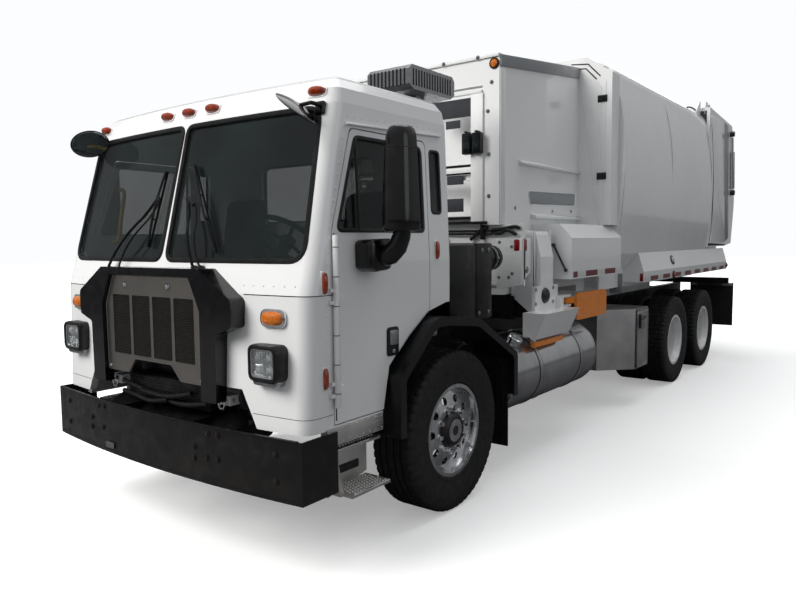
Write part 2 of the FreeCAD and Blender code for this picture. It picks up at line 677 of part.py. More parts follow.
def toolbox():
    """Stainless box behind the arm, chamfered at its outer front corner, open at its outer side."""
    t = TOOLBOX_WALL
    low, high = TOOLBOX_LOW_Z, TOOLBOX_HIGH_Z
    slope_y = TOOLBOX_FRONT_Y + TOOLBOX_CORNER
    case = plate_xy([(TOOLBOX_IN_X, TOOLBOX_FRONT_Y), (TOOLBOX_IN_X + 40, TOOLBOX_FRONT_Y),
                     (TOOLBOX_OUT_X, slope_y), (TOOLBOX_OUT_X, TOOLBOX_REAR_Y),
                     (TOOLBOX_BACK_X, TOOLBOX_REAR_Y), (TOOLBOX_BACK_X, TOOLBOX_FRONT_Y)], low, high)
    room = plate_xy([(TOOLBOX_BACK_X + t, TOOLBOX_FRONT_Y + t), (TOOLBOX_IN_X + 34, TOOLBOX_FRONT_Y + t),
                     (TOOLBOX_OUT_X - t, slope_y + 6), (TOOLBOX_OUT_X + 20, slope_y + 6),
                     (TOOLBOX_OUT_X + 20, TOOLBOX_REAR_Y - t), (TOOLBOX_BACK_X + t, TOOLBOX_REAR_Y - t)],
                    low + t, high - t)
    hanger = box(RAIL_OUT_X, TOOLBOX_BACK_X, TOOLBOX_FRONT_Y + 200, TOOLBOX_FRONT_Y + 280,
                 high - 200, high - 20)
    y0, y1 = toolbox_ends(0)
    ears = [box(TOOLBOX_OUT_X - 5, TOOLBOX_PIN_X + 8, a, a + TOOLBOX_EAR, low, TOOLBOX_PIN_Z + 2)
            for a in (y0, y1 - TOOLBOX_EAR)]
    y0, y1 = toolbox_ends(TOOLBOX_EAR + 4)
    relief = box(TOOLBOX_PIN_X - 13, TOOLBOX_PIN_X + 40, y0, y1, low - 1, TOOLBOX_PIN_Z + 14)
    return joined([case.cut(room).cut(relief), hanger, toolbox_pin(0, TOOLBOX_PIN_R)] + ears)


def toolbox_door():
    """Flat door over the toolbox's outer side, hinged on a pin along its foot and notched for its ears."""
    y0, y1 = toolbox_ends(0)
    notch = TOOLBOX_EAR + 4
    panel = box(TOOLBOX_OUT_X - 3, TOOLBOX_OUT_X + 12, y0, y1, TOOLBOX_PIN_Z + 3,
                TOOLBOX_HIGH_Z - TOOLBOX_WALL - TOOLBOX_DOOR_GAP)
    for a in (y0 - 1, y1 - notch):
        panel = panel.cut(box(TOOLBOX_OUT_X - 20, TOOLBOX_OUT_X + 20, a, a + notch + 1,
                              TOOLBOX_LOW_Z, TOOLBOX_PIN_Z + 18))
    roll = toolbox_pin(TOOLBOX_EAR + 8, TOOLBOX_PIN_R + 6)
    return joined([panel, roll]).cut(toolbox_pin(0, TOOLBOX_PIN_R + BORE_CLEARANCE))


def battery_box():
    """Right-hand battery box with a step top, and two air tanks behind it."""
    in_x = RAIL_OUT_X + HANGER_REACH
    case = box(-BATTERY_OUT_X, -in_x, BATTERY_FRONT_Y, BATTERY_REAR_Y, BATTERY_LOW_Z, BATTERY_TOP_Z)
    hanger = box(-in_x, -RAIL_OUT_X, BATTERY_FRONT_Y + 240, BATTERY_REAR_Y - 240, BATTERY_TOP_Z - 180,
                 BATTERY_TOP_Z - 20)
    y = (AIR_TANK_FRONT_Y + AIR_TANK_REAR_Y) / 2 - 50
    low, high = AIR_TANK_ZS
    tanks = [rod((-AIR_TANK_X, AIR_TANK_FRONT_Y, z), (-AIR_TANK_X, AIR_TANK_REAR_Y, z), AIR_TANK_R)
             for z in AIR_TANK_ZS]
    tanks.append(box(-AIR_TANK_X + 60, -RAIL_OUT_X, y, y + 100, high - 80, high + 20))
    tanks.append(box(-AIR_TANK_X - 30, -AIR_TANK_X + 30, y, y + 100, low + 90, high - 90))
    return Part.makeCompound([joined([case, hanger]), joined(tanks)])


def air_cleaner():
    """Black intake tower behind the cab with a round canister at its outer rear."""
    tower = box(INTAKE_IN_X, INTAKE_OUT_X, INTAKE_FRONT_Y, INTAKE_REAR_Y, INTAKE_LOW_Z, INTAKE_TOP_Z)
    x, z = INTAKE_OUT_X - 130, INTAKE_TOP_Z - 130
    canister = rod((x, INTAKE_REAR_Y, z), (x, INTAKE_REAR_Y + CANISTER_LENGTH, z), CANISTER_R)
    leg_x = INTAKE_IN_X + 160
    leg = box(INTAKE_IN_X, leg_x, INTAKE_FRONT_Y + 40, INTAKE_REAR_Y - 40, RAIL_TOP_Z + 40, INTAKE_LOW_Z)
    foot = box(RAIL_OUT_X - RAIL_FLANGE, leg_x, INTAKE_FRONT_Y + 60, INTAKE_REAR_Y - 60,
               RAIL_TOP_Z, RAIL_TOP_Z + 40)
    return joined([tower, canister, leg, foot])


def exhaust_stack():
    """Round stack behind the cab with a flat-sided rain hood."""
    x, y = STACK_X, STACK_Y
    stem = rod((x, y, RAIL_TOP_Z + 40), (x, y, STACK_BEND_Z), STACK_R)
    neck = rod((x, y, STACK_BEND_Z - 40), (x, y - 140, STACK_BEND_Z + 190), STACK_R)
    pipe_foot = box(RAIL_OUT_X - RAIL_FLANGE, x + 60, y - 38, y + STACK_R, RAIL_TOP_Z, RAIL_TOP_Z + 60)
    low, high = STACK_BEND_Z + 170, STACK_BEND_Z + 330
    hood = plate_yz([(y - 430, low + 30), (y - 380, low), (y + 70, low), (y + 120, low + 30),
                     (y + 120, high - 30), (y + 90, high), (y - 400, high), (y - 430, high - 30)],
                    HOOD_IN_X, HOOD_OUT_X)
    return joined([stem, neck, pipe_foot, hood])


def fender_outline(offset, foot_z=FENDER_FOOT_Z):
    """Side outline of a front fender, offset outwards from the wheel well's own line."""
    o = offset
    return [(-675 - o, foot_z), (-675 - o, 985 + 0.4 * o, 60), (-325 - 0.4 * o, 1290 + o, 160),
            (180 + 0.3 * o, 1235 + o, 220), (700 + o, 940 + 0.4 * o, 60), (700 + o, foot_z)]


def front_fenders():
    """Black fenders over the front wheels: a bent band with a rolled outer lip, and a bracket to the rail."""
    outer = fender_outline(FENDER_WALL)
    x0, x1 = FENDER_IN_X, FENDER_OUT_FRONT_X
    band = plate_yz(outer, x0, x1).cut(plate_yz(fender_outline(0, FENDER_FOOT_Z - 1), x0 - 1, x1 + 1))
    lip = plate_yz(outer, x1 - 12, x1)
    lip = lip.cut(plate_yz(fender_outline(-FENDER_LIP, FENDER_FOOT_Z - 1), x0 - 1, x1 + 1))
    y = FENDER_ARM_Y
    arm = rod((RAIL_OUT_X - 10, y, RAIL_TOP_Z - 50), (x0 + 60, y, RAIL_TOP_Z + 220), FENDER_ARM_R)
    arm = arm.common(box(RAIL_OUT_X, x1, 0, 2 * y, 0, 2 * RAIL_TOP_Z))
    return both_sides(joined([band, lip, arm]))


def cab_steps():
    """Boarding steps under each door: a riveted side plate, two treads and a hanger to the rail."""
    x0, x1 = STEP_IN_X, STEP_OUT_X
    lap = x0 + STEP_PLATE / 2
    side = plate_yz(STEP_SIDE, x0, x0 + STEP_PLATE)
    low = box(lap, x1, *LOW_TREAD_Y, LOW_TREAD_Z, LOW_TREAD_Z + TREAD_THICK)
    riser = plate_yz(STEP_RISER, lap, x1 - 60)
    top = box(lap, x1 - 70, *TOP_TREAD_Y, TOP_TREAD_Z, TOP_TREAD_Z + TREAD_THICK)
    rail_low = RAIL_TOP_Z - RAIL_HEIGHT
    gusset = box(RAIL_OUT_X, RAIL_OUT_X + 12, -1010, -890, rail_low - 100, rail_low + 20)
    hanger = box(RAIL_OUT_X + 6, x0 - 10, -995, -945, rail_low - 90, rail_low - 50)
    drop = box(x0 - 40, lap, -1000, -900, LOW_TREAD_Z + 45, rail_low - 45)
    return both_sides(joined([side, low, riser, top, gusset, hanger, drop]))


def mud_flaps():
    """Rubber flaps behind each front wheel and behind each pair of rear wheels, on arms from the frame."""
    y, high = FRONT_FLAP_Y, FRONT_FLAP_Z[1]
    front = joined([box(FENDER_IN_X, FRONT_FLAP_OUT_X, y, y + FLAP_THICK, *FRONT_FLAP_Z),
                    box(RAIL_OUT_X, FENDER_IN_X + 20, y, y + FLAP_THICK, high - 40, high)])
    top = REAR_BAR_LOW_Z
    x0, x1 = REAR_FLAP_X
    arm = box(x0 + 140, x1 - 140, RAIL_REAR_Y - REAR_BAR_DEPTH, TAIL_END_Y - FLAP_THICK / 2,
              top - FLAP_ARM_DEPTH, top)
    rear = joined([box(x0, x1, TAIL_END_Y - FLAP_THICK, TAIL_END_Y, REAR_FLAP_LOW_Z, top), arm])
    return Part.makeCompound([front, mirrored(front), rear, mirrored(rear)])


def body_fenders():
    """Long white shelf over the rear wheels, its top sloping up to the barrel's foot."""
    profile = [(BARREL_FOOT_X, FENDER_LOW_Z), (FENDER_OUT_X, FENDER_LOW_Z),
               (FENDER_OUT_X, FENDER_LOW_Z + 110), (BARREL_SIDE_X, BARREL_SIDE_Z),
               (BARREL_FOOT_X, BARREL_KNEE_Z)]
    shelf = plate_xz(profile, FENDER_FRONT_Y, FENDER_REAR_Y)
    well = plate_xz([(BARREL_FOOT_X - 5, FENDER_LOW_Z - 5), (FENDER_OUT_X - 14, FENDER_LOW_Z - 5),
                     (FENDER_OUT_X - 14, FENDER_LOW_Z + 70), (BARREL_SIDE_X - 30, BARREL_KNEE_Z + 20),
                     (BARREL_FOOT_X + 14, BARREL_KNEE_Z - 30), (BARREL_FOOT_X + 14, FENDER_LOW_Z + 2),
                     (BARREL_FOOT_X - 5, FENDER_LOW_Z + 2)],
                    FENDER_FRONT_Y + 14, FENDER_REAR_Y - 14)
    return both_sides(shelf.cut(well))


# ---------------------------------------------------------------- body
def hopper():
    """Open-topped trough behind the cab: floor, side walls with their thicker lower band, and a top rail."""
    y0, y1 = HOPPER_FRONT_Y + HEADER_THICK, BULKHEAD_Y
    x1, x0 = HOPPER_HALF, HOPPER_HALF - HOPPER_WALL
    wall_low = HOPPER_FLOOR_Z - HOPPER_FLOOR_THICK
    top = plate_yz([(y0, wall_low), (y1, wall_low), (y1, HOPPER_TOP_REAR_Z), (y0, HOPPER_TOP_FRONT_Z)],
                   x0, x1)
    rail = plate_yz([(y0, HOPPER_TOP_FRONT_Z - 95), (y1, HOPPER_TOP_REAR_Z - 80), (y1, HOPPER_TOP_REAR_Z),
                     (y0, HOPPER_TOP_FRONT_Z)], x0 - 60, x1 + 1)
    floor = box(-x0, x0, y0, y1, wall_low, HOPPER_FLOOR_Z)
    front = box(-x0, x0, y0 + 180, y0 + 204, HOPPER_FLOOR_Z, 2950)
    feet = [box(RAIL_OUT_X - RAIL_FLANGE, RAIL_OUT_X, y, y + 60, RAIL_TOP_Z, wall_low)
            for y in (y0, y1 - 60)]
    half = [top, rail] + feet
    return joined([floor, front] + half + [mirrored(p) for p in half])


def hopper_header():
    """Frame across the hopper's front: two posts, a tall header panel, a cross member and the lower apron."""
    y0, y1 = HOPPER_FRONT_Y, HOPPER_FRONT_Y + HEADER_THICK
    x = HOPPER_HALF
    low, lap = HEADER_POST_LOW_Z, 5
    post = box(x - HEADER_POST_W, x, y0, y1, low, HEADER_PANEL_LOW_Z + lap)
    foot = box(RAIL_OUT_X - RAIL_FLANGE, RAIL_OUT_X, y0 + 5, y1, RAIL_TOP_Z, APRON_LOW_Z + lap)
    pieces = [box(-x, x, y0, y1, HEADER_PANEL_LOW_Z, HOPPER_TOP_FRONT_Z), post, mirrored(post),
              box(-x, x, y0 + 20, y1, *HEADER_BAR_Z), box(-x, x, y0 + 10, y1, low, HEADER_SILL_TOP_Z),
              box(-APRON_HALF, APRON_HALF, y0 + 40, y1, APRON_LOW_Z, low + lap), foot, mirrored(foot)]
    return joined(pieces)


def hopper_bulkhead():
    """White frame between hopper and barrel, its shoulders cut off, with the packing mouth through it."""
    outline = [(-HOPPER_HALF, BODY_FLOOR_Z), (HOPPER_HALF, BODY_FLOOR_Z), (HOPPER_HALF, BULKHEAD_FOOT_Z),
               (BULKHEAD_HALF, BULKHEAD_FOOT_Z), (BULKHEAD_HALF, BULKHEAD_SHOULDER_Z),
               (BULKHEAD_TOP_HALF, BULKHEAD_TOP_Z), (-BULKHEAD_TOP_HALF, BULKHEAD_TOP_Z),
               (-BULKHEAD_HALF, BULKHEAD_SHOULDER_Z), (-BULKHEAD_HALF, BULKHEAD_FOOT_Z),
               (-HOPPER_HALF, BULKHEAD_FOOT_Z)]
    frame = plate_xz(outline, BULKHEAD_Y, BARREL_FRONT_Y)
    mouth = box(-HOPPER_HALF + HOPPER_WALL, HOPPER_HALF - HOPPER_WALL, BULKHEAD_Y - 1, BARREL_FRONT_Y + 1,
                HOPPER_FLOOR_Z, MOUTH_TOP_Z)
    foot = box(RAIL_OUT_X - RAIL_FLANGE, RAIL_OUT_X, BULKHEAD_Y, BARREL_FRONT_Y, RAIL_TOP_Z, BODY_FLOOR_Z)
    return joined([frame.cut(mouth), foot, mirrored(foot)])


def barrel_wire(inset, y):
    """Cross-section of the barrel: narrow foot, bulged sides, rounded shoulders and a slight crown."""
    i = inset
    def at(x, z):
        return V(x, y, z)
    right = [(BARREL_FOOT_X - i, BODY_FLOOR_Z + i), (BARREL_FOOT_X - i, BARREL_KNEE_Z + 0.4 * i),
             (BARREL_SIDE_X - i, BARREL_SIDE_Z + 0.4 * i)]
    shoulder = (BARREL_SHOULDER_X - i, BARREL_SHOULDER_Z)
    roof_edge = (BARREL_ROOF_X, BARREL_ROOF_Z - i)
    edges = []
    for side in (1, -1):
        for a, b in zip(right, right[1:]):
            edges.append(Part.LineSegment(at(side * a[0], a[1]), at(side * b[0], b[1])).toShape())
        edges.append(Part.Arc(at(side * right[2][0], right[2][1]),
                              at(side * (BARREL_BULGE_X - i), BARREL_BULGE_Z),
                              at(side * shoulder[0], shoulder[1])).toShape())
        mid = ((shoulder[0] + roof_edge[0]) / 2 + 34, (shoulder[1] + roof_edge[1]) / 2 + 34)
        edges.append(Part.Arc(at(side * shoulder[0], shoulder[1]), at(side * mid[0], mid[1]),
                              at(side * roof_edge[0], roof_edge[1])).toShape())
    edges.append(Part.Arc(at(-roof_edge[0], roof_edge[1]), at(0, BARREL_TOP_Z - i), at(*roof_edge)).toShape())
    edges.append(Part.LineSegment(at(-right[0][0], right[0][1]), at(*right[0])).toShape())
    return Part.Wire(Part.__sortEdges__(edges))


def body_barrel():
    """Load body: a bulged shell open at both ends, standing on sills on the rails, with its hinge lugs."""
    y0, y1 = BARREL_FRONT_Y, TAILGATE_Y - RUNNING_GAP
    outer = Part.Face(barrel_wire(0, y0)).extrude(V(0, y1 - y0, 0))
    inner = Part.Face(barrel_wire(BARREL_WALL, y0 - 1)).extrude(V(0, y1 - y0 + 2, 0))
    shell = outer.cut(inner)
    sill = box(RAIL_OUT_X - RAIL_FLANGE, RAIL_OUT_X, y0, y1, RAIL_TOP_Z, BODY_FLOOR_Z + 5)
    lug = hinge_lug(TAILGATE_Y - 150, HINGE_X, HINGE_X + 30)
    pin = rod((HINGE_X, HINGE_Y, HINGE_Z), (HINGE_X + 120, HINGE_Y, HINGE_Z), HINGE_PIN_R)
    half = [sill, lug, pin]
    return joined([shell] + half + [mirrored(p) for p in half])


def hinge_lug(y0, x0, x1):
    """Plate that stands on the roof and holds the tailgate's hinge pin."""
    end_y = TAILGATE_Y - RUNNING_GAP
    return plate_yz([(y0, BARREL_TOP_Z - 50), (y0 + 20, BARREL_TOP_Z + 20), (HINGE_Y - 30, HINGE_Z + 45, 20),
                     (HINGE_Y + 38, HINGE_Z + 45, 20), (HINGE_Y + 38, HINGE_Z - 38, 10),
                     (end_y, BARREL_TOP_Z), (end_y, BARREL_TOP_Z - 50)], x0, x1)


def tailgate():
    """Rear door: a deep shell with a rounded back, flat side panels and two bored hinge knuckles."""
    y0 = TAILGATE_Y
    waist, low, heel, t = TAIL_WAIST_Z, TAIL_LOW_Z, TAIL_HEEL_Z, TAIL_WALL
    profile = [(y0, waist), (TAIL_MID_Y, waist), (TAIL_REAR_Y, heel, 40), (TAIL_BULGE_Y, TAIL_BULGE_Z, 500),
               (TAIL_REAR_Y, TAIL_SHOULDER_Z, 300), (TAIL_REAR_Y - 120, TAIL_CROWN_Z, 120),
               (y0, TAILGATE_TOP_Z)]
    upper = plate_yz(profile, -TAIL_HALF, TAIL_HALF)
    lower = plate_yz([(y0, low), (TAIL_REAR_Y - 150, low, 60), (TAIL_REAR_Y, heel),
                      (TAIL_REAR_Y - 200, heel + 120), (y0, heel + 20)], -TAIL_LOW_HALF, TAIL_LOW_HALF)
    room = plate_yz([(y0 - 1, waist + t), (TAIL_MID_Y, waist + t), (TAIL_REAR_Y - t, heel + 20),
                     (TAIL_BULGE_Y - t, TAIL_BULGE_Z, 460), (TAIL_REAR_Y - t, TAIL_SHOULDER_Z - 20, 260),
                     (TAIL_REAR_Y - 160, TAIL_CROWN_Z - 40, 80), (y0 - 1, TAILGATE_TOP_Z - t)],
                    -TAIL_HALF + t, TAIL_HALF - t)
    low_room = plate_yz([(y0 - 1, low + t), (TAIL_REAR_Y - 190, low + t), (TAIL_REAR_Y - 80, heel + 20),
                         (y0 - 1, heel + 80)], -TAIL_LOW_HALF + t, TAIL_LOW_HALF - t)
    knuckle_plate = plate_yz([(HINGE_Y - 36, HINGE_Z - 30, 12), (HINGE_Y - 36, HINGE_Z + 40, 30),
                              (HINGE_Y + 60, HINGE_Z + 40, 30), (y0 + 260, TAILGATE_TOP_Z - 20),
                              (y0 + 260, TAILGATE_TOP_Z - 45), (y0 + 10, TAILGATE_TOP_Z - 20),
                              (y0 + 10, HINGE_Z - 34)], HINGE_X + 50, HINGE_X + 100)
    bore = rod((HINGE_X, HINGE_Y, HINGE_Z), (HINGE_X + 160, HINGE_Y, HINGE_Z), HINGE_PIN_R + BORE_CLEARANCE)
    knuckle_plate = knuckle_plate.cut(bore)
    shell = joined([upper, lower]).cut(room).cut(low_room)
    return joined([shell, knuckle_plate, mirrored(knuckle_plate)])


def side_boxes():
    """Compartments beside the hopper, with sloped tops; the left one is the arm's rear guard."""
    profile = [(HOPPER_HALF, 1425), (FENDER_OUT_X, 1425), (FENDER_OUT_X, 1770), (1110, BULKHEAD_FOOT_Z),
               (HOPPER_HALF, BULKHEAD_FOOT_Z)]
    left = plate_xz(profile, SIDE_BOX_FRONT_Y, SIDE_BOX_REAR_Y)
    right = mirrored(plate_xz(profile, HOPPER_FRONT_Y + HEADER_THICK, SIDE_BOX_REAR_Y))
    return Part.makeCompound([left, right])


# ---------------------------------------------------------------- arm
def arm_rails():
    """Two channels across the chassis that guide the arm's beam, on feet on the rails."""
    y0, y1 = ARM_Y - ARM_BEAM_W / 2, ARM_Y + ARM_BEAM_W / 2
    z0, z1 = ARM_BEAM_LOW_Z, ARM_BEAM_HIGH_Z
    g = SLIDE_GAP
    def guide(outward, edge):
        a, b = sorted((edge + outward * g, edge + outward * (g + 12)))
        lip = sorted((edge + outward * (g + 12), edge - outward * 40))
        return [box(-ARM_RAIL_HALF, ARM_RAIL_HALF, a, b, z0 - g - 12, z1 + g - 4),
                box(-ARM_RAIL_HALF, ARM_RAIL_HALF, lip[0], lip[1], z0 - g - 12, z0 - g)]
    pieces = guide(-1, y0) + guide(1, y1)
    tie = box(-ARM_RAIL_HALF, -ARM_RAIL_HALF + 60, y0 - g - 12, y1 + g + 12, z0 - g - 12, z0 - g)
    pieces += [tie]
    for side in (-1, 1):
        a, b = sorted((side * (RAIL_OUT_X - RAIL_FLANGE), side * RAIL_OUT_X))
        pieces.append(box(a, b, y0 - g - 12, y1 + g + 12, RAIL_TOP_Z, z0 - g - 4))
    for x in (-ARM_RAIL_HALF + 90, 0, ARM_RAIL_HALF - 90):
        for a in (y0 + 2, y1 - 38):
            pieces.append(box(x - 40, x + 40, a, a + 36, z0 - g - 6, z0))
    return joined(pieces)


def arm_carriage():
    """Sliding beam with an upright at its outer end that carries the boom's pivot."""
    y0, y1 = ARM_Y - ARM_BEAM_W / 2, ARM_Y + ARM_BEAM_W / 2
    t = ARM_BEAM_WALL
    beam = box(ARM_BEAM_IN_X, MAST_X - 60, y0, y1, ARM_BEAM_LOW_Z, ARM_BEAM_HIGH_Z)
    hollow = box(ARM_BEAM_IN_X - 1, MAST_X - 200, y0 + t, y1 - t, ARM_BEAM_LOW_Z + t, ARM_BEAM_HIGH_Z - t)
    cheeks = [box(HOPPER_HALF + 20, MAST_X - 10, a, a + CHEEK_THICK, ARM_BEAM_LOW_Z + 20, ARM_PIVOT_Z + 50)
              for a in (y0, y1 - CHEEK_THICK)]
    pin = rod((PIVOT_X, y0, ARM_PIVOT_Z), (PIVOT_X, y1, ARM_PIVOT_Z), ARM_PIN_R)
    return joined([beam.cut(hollow), pin] + cheeks)


def arm_boom():
    """Swinging boom on the pivot pin, its mast plate, gripper base and the wedge-shaped pad."""
    half = ARM_BEAM_W / 2 - CHEEK_THICK - SLIDE_GAP
    x, z = PIVOT_X, ARM_PIVOT_Z
    back = MAST_X + MAST_THICK
    eye = rod((x, ARM_Y - half, z), (x, ARM_Y + half, z), 48)
    web = plate_xz([(x - 20, z), (x + 48, z), (back, z - 160), (back, GRIP_Z[1] - 10),
                    (MAST_X - 4, GRIP_Z[1] - 10), (MAST_X - 4, z - 150)], ARM_Y - half, ARM_Y + half)
    bore = rod((x, ARM_Y - ARM_BEAM_W, z), (x, ARM_Y + ARM_BEAM_W, z), ARM_PIN_R + BORE_CLEARANCE)
    mast = box(MAST_X, back, ARM_Y - 210, ARM_Y + 215, *MAST_Z)
    base_x0, base_x1 = MAST_X + 10, MAST_X + 75
    base = box(base_x0, base_x1, GRIP_FRONT_Y, GRIP_REAR_Y, *GRIP_Z)
    pad = plate_xz([(base_x1, GRIP_Z[1]), (base_x1, PAD_LOW_Z), (MAST_X + 120, PAD_LOW_Z),
                    (MAST_X + 205, GRIP_Z[1])], GRIP_FRONT_Y, GRIP_REAR_Y)
    top = REAR_FINGER_HIGH_Z + EAR_GAP + EAR_THICK
    ears = [box(base_x0, base_x1, GRIP_REAR_Y - 90, GRIP_REAR_Y - 20, MAST_Z[0], top)]
    for low in (REAR_FINGER_LOW_Z - EAR_GAP - EAR_THICK, REAR_FINGER_HIGH_Z + EAR_GAP):
        ears.append(box(base_x0, base_x1, GRIP_REAR_Y - 90, REAR_PIN_Y + 35, low, low + EAR_THICK))
    rear_pin = rod((FINGER_X, REAR_PIN_Y, REAR_FINGER_LOW_Z - 27), (FINGER_X, REAR_PIN_Y, top), FINGER_PIN_R)
    front_pin = rod((FRONT_FINGER_X, FRONT_PIN_Y, FRONT_FINGER_LOW_Z - 8),
                    (FRONT_FINGER_X, FRONT_PIN_Y, GRIP_Z[0] + 10), FINGER_PIN_R)
    return joined([joined([eye, web]).cut(bore), mast, base, pad, rear_pin, front_pin] + ears)


def finger_rear():
    """Rear finger: a link from its pin and the wide rounded plate that closes behind a bin."""
    y = REAR_PIN_Y
    z0, z1 = REAR_FINGER_LOW_Z, REAR_FINGER_HIGH_Z
    eye = rod((FINGER_X, y, z0), (FINGER_X, y, z1), 30)
    link = plate_xy([(FINGER_X - 18, y), (FINGER_X + 22, y), (FINGER_X + 70, y + 70),
                     (FINGER_X + 70, y + 110), (FINGER_X + 40, y + 110)], z0, z1)
    bore = rod((FINGER_X, y, z0 - 5), (FINGER_X, y, z1 + 5), FINGER_PIN_R + BORE_CLEARANCE)
    end_y = REAR_FINGER_END_Y
    blade = plate_yz([(y + 50, FINGER_LOW_Z, 45), (y + 50, FINGER_TOP_Z, 45), (end_y, FINGER_TOP_Z, 60),
                      (end_y, FINGER_LOW_Z, 60)], FINGER_X + 54, FINGER_X + 76)
    return joined([joined([eye, link]).cut(bore), blade])


def finger_front():
    """Front finger: a flat hook that lies under the pad and swings out in front of a bin."""
    x, y = FRONT_FINGER_X, FRONT_PIN_Y
    z0, z1 = FRONT_FINGER_LOW_Z, FRONT_FINGER_LOW_Z + 38
    eye = rod((x, y, z0), (x, y, z1), 28)
    bar = plate_xy([(x - 22, y), (x + 26, y), (x + 34, y + 200), (x + 20, y + 500), (x - 16, y + 520),
                    (x - 12, y + 210)], z0, z1)
    bore = rod((x, y, z0 - 5), (x, y, z1 + 5), FINGER_PIN_R + BORE_CLEARANCE)
    return joined([eye, bar]).cut(bore)


# ---------------------------------------------------------------- cab
def cab_section(z, half, corner_y, middle_y, back_y, inset):
    """Plan outline of the cab at one height: bowed front, rounded front corners, straight sides and back."""
    x = half - inset
    r = max(CAB_CORNER_R - inset * 0.6, LEAST_CORNER_R)
    b = max(CAB_BACK_R - inset * 0.5, LEAST_CORNER_R)
    front, middle, back = corner_y + inset, middle_y + inset, back_y - inset
    s = math.sqrt(0.5)

    def at(u, v):
        return V(u, v, z)

    edges = [Part.Arc(at(x - r, front), at(0, middle), at(-x + r, front)).toShape(),
             Part.Arc(at(-x + r, front), at(-x + r - r * s, front + r - r * s), at(-x, front + r)).toShape(),
             Part.LineSegment(at(-x, front + r), at(-x, back - b)).toShape(),
             Part.Arc(at(-x, back - b), at(-x + b - b * s, back - b + b * s), at(-x + b, back)).toShape(),
             Part.LineSegment(at(-x + b, back), at(x - b, back)).toShape(),
             Part.Arc(at(x - b, back), at(x - b + b * s, back - b + b * s), at(x, back - b)).toShape(),
             Part.LineSegment(at(x, back - b), at(x, front + r)).toShape(),
             Part.Arc(at(x, front + r), at(x - r + r * s, front + r - r * s), at(x - r, front)).toShape()]
    return Part.Wire(edges)


def cab_volume(inset):
    """The cab's outside, drawn in by inset, from its skirt to the foot of its roof."""
    wires = [cab_section(z, half, corner, middle, back, inset)
             for z, half, corner, middle, back in CAB_LEVELS]
    return Part.makeLoft(wires, True, True)


def cab_skin(outer, inner):
    """The layer of the cab's wall between two depths below its outside."""
    return cab_volume(outer).cut(cab_volume(inner))


def wheel_arch_cut():
    """Everything under the cab's raised rear, which clears the front wheels and fenders."""
    low = CAB_LOW_Z - 50
    return plate_yz([(ARCH_FRONT_Y, low), (ARCH_FRONT_Y, DOOR_LOW_Z - 5)] + list(ARCH_BENDS)
                    + [(-100, CAB_REST_Z), (200, CAB_REST_Z), (200, low)], -1400, 1400)


def door_outline(inset, low_inset):
    """Door edge: upright to the belt, raked along the windscreen pillar, cut off low by the wheel arch."""
    i = inset
    front, rear, low, top = DOOR_FRONT_Y + i, DOOR_REAR_Y - i, DOOR_LOW_Z + low_inset, DOOR_TOP_Z - i
    return [(front, low), (front, BELT_Z), (-958 + i, top, 40), (rear, top, 40), (rear, 1345 + i * 0.5),
            (-484 - i * 0.6, 1222 + i * 0.8), (-684 - i * 0.9, 1052 + i * 0.4), (-735 - i, low)]


def side_window_outline():
    """Opening of the door's window, its front edge along the windscreen pillar."""
    low, top, rear = BELT_Z + 8, DOOR_TOP_Z - 38, DOOR_REAR_Y - 45
    return [(-1098, low, 25), (-927, top, 45), (rear, top, 45), (rear, low, 25)]


def windscreen_panes(y0, y1):
    """The two raked panes as prisms along the vehicle."""
    low, top, post = SCREEN_LOW_Z, SCREEN_TOP_Z, SCREEN_POST / 2
    pane = [(post + 6, low, 60), (1092, low, 90), (1046, top, 90), (post - 4, top, 50)]
    left = plate_xz(pane, y0, y1)
    return [left, mirrored(left)]


def rear_window(y0, y1):
    """The window in the cab's back as a prism."""
    return plate_xz(REAR_WINDOW, y0, y1)


def quarter_window(x0, x1):
    """The small upright window behind the left door as a prism."""
    return plate_yz(QUARTER_WINDOW, x0, x1)


def grille_recess():
    """Opening in the cab's front: a tapered gap round the tow fittings below, the radiator's mouth above."""
    low = CAB_LOW_Z - 40
    right = [(850, low)] + list(RECESS_EDGE)
    outline = right + [(-x, z) for x, z in reversed(right)]
    return plate_xz(outline, -1600, -1280)


def hinge_set(z):
    """One left door hinge at height z: the pillar's two lugs with their pin, and the door's bored knuckle."""
    x, y, r = DOOR_HINGE_X, DOOR_HINGE_Y, 2 * DOOR_PIN_R
    pillar = [rod((x, y, z - 40), (x, y, z + 40), DOOR_PIN_R)]
    for low in (z - 40, z + 22):
        pillar.append(rod((x, y, low), (x, y, low + 18), r))
        pillar.append(box(CAB_SIDE_X - 30, x, y - 40, y - 2, low, low + 18))
    ring = joined([rod((x, y, z - 20), (x, y, z + 20), r),
                   box(CAB_SIDE_X - 20, x, y + 10, y + 50, z - 20, z + 20),
                   box(x - 6, x + 12, y, y + 50, z - 20, z + 20)])
    bore = rod((x, y, z - 30), (x, y, z + 30), DOOR_PIN_R + BORE_CLEARANCE)
    return joined(pillar), ring.cut(bore)


def cab_shell():
    """Cab walls: a hollow shell with its door, screen, window and grille openings."""
    shell = cab_skin(0, CAB_WALL)
    cuts = [wheel_arch_cut(), grille_recess(), rear_window(-200, 100)]
    cuts += windscreen_panes(-1500, -1000)
    for side in (1, -1):
        a, b = sorted((side * 1000, side * 1300))
        cuts.append(plate_yz(door_outline(-DOOR_GAP, -40), a, b))
        cuts.append(quarter_window(a, b))
    for cut in cuts:
        shell = shell.cut(cut)
    sill = box(CAB_SIDE_X - CAB_WALL, CAB_SIDE_X - 4, -1206, -745, KICK_LOW_Z, DOOR_LOW_Z - DOOR_GAP)
    pieces = [shell, sill, mirrored(sill)]
    for z in DOOR_HINGE_ZS:
        pin = hinge_set(z)[0].cut(cab_volume(10))
        pieces += [pin, mirrored(pin)]
    return joined(pieces)


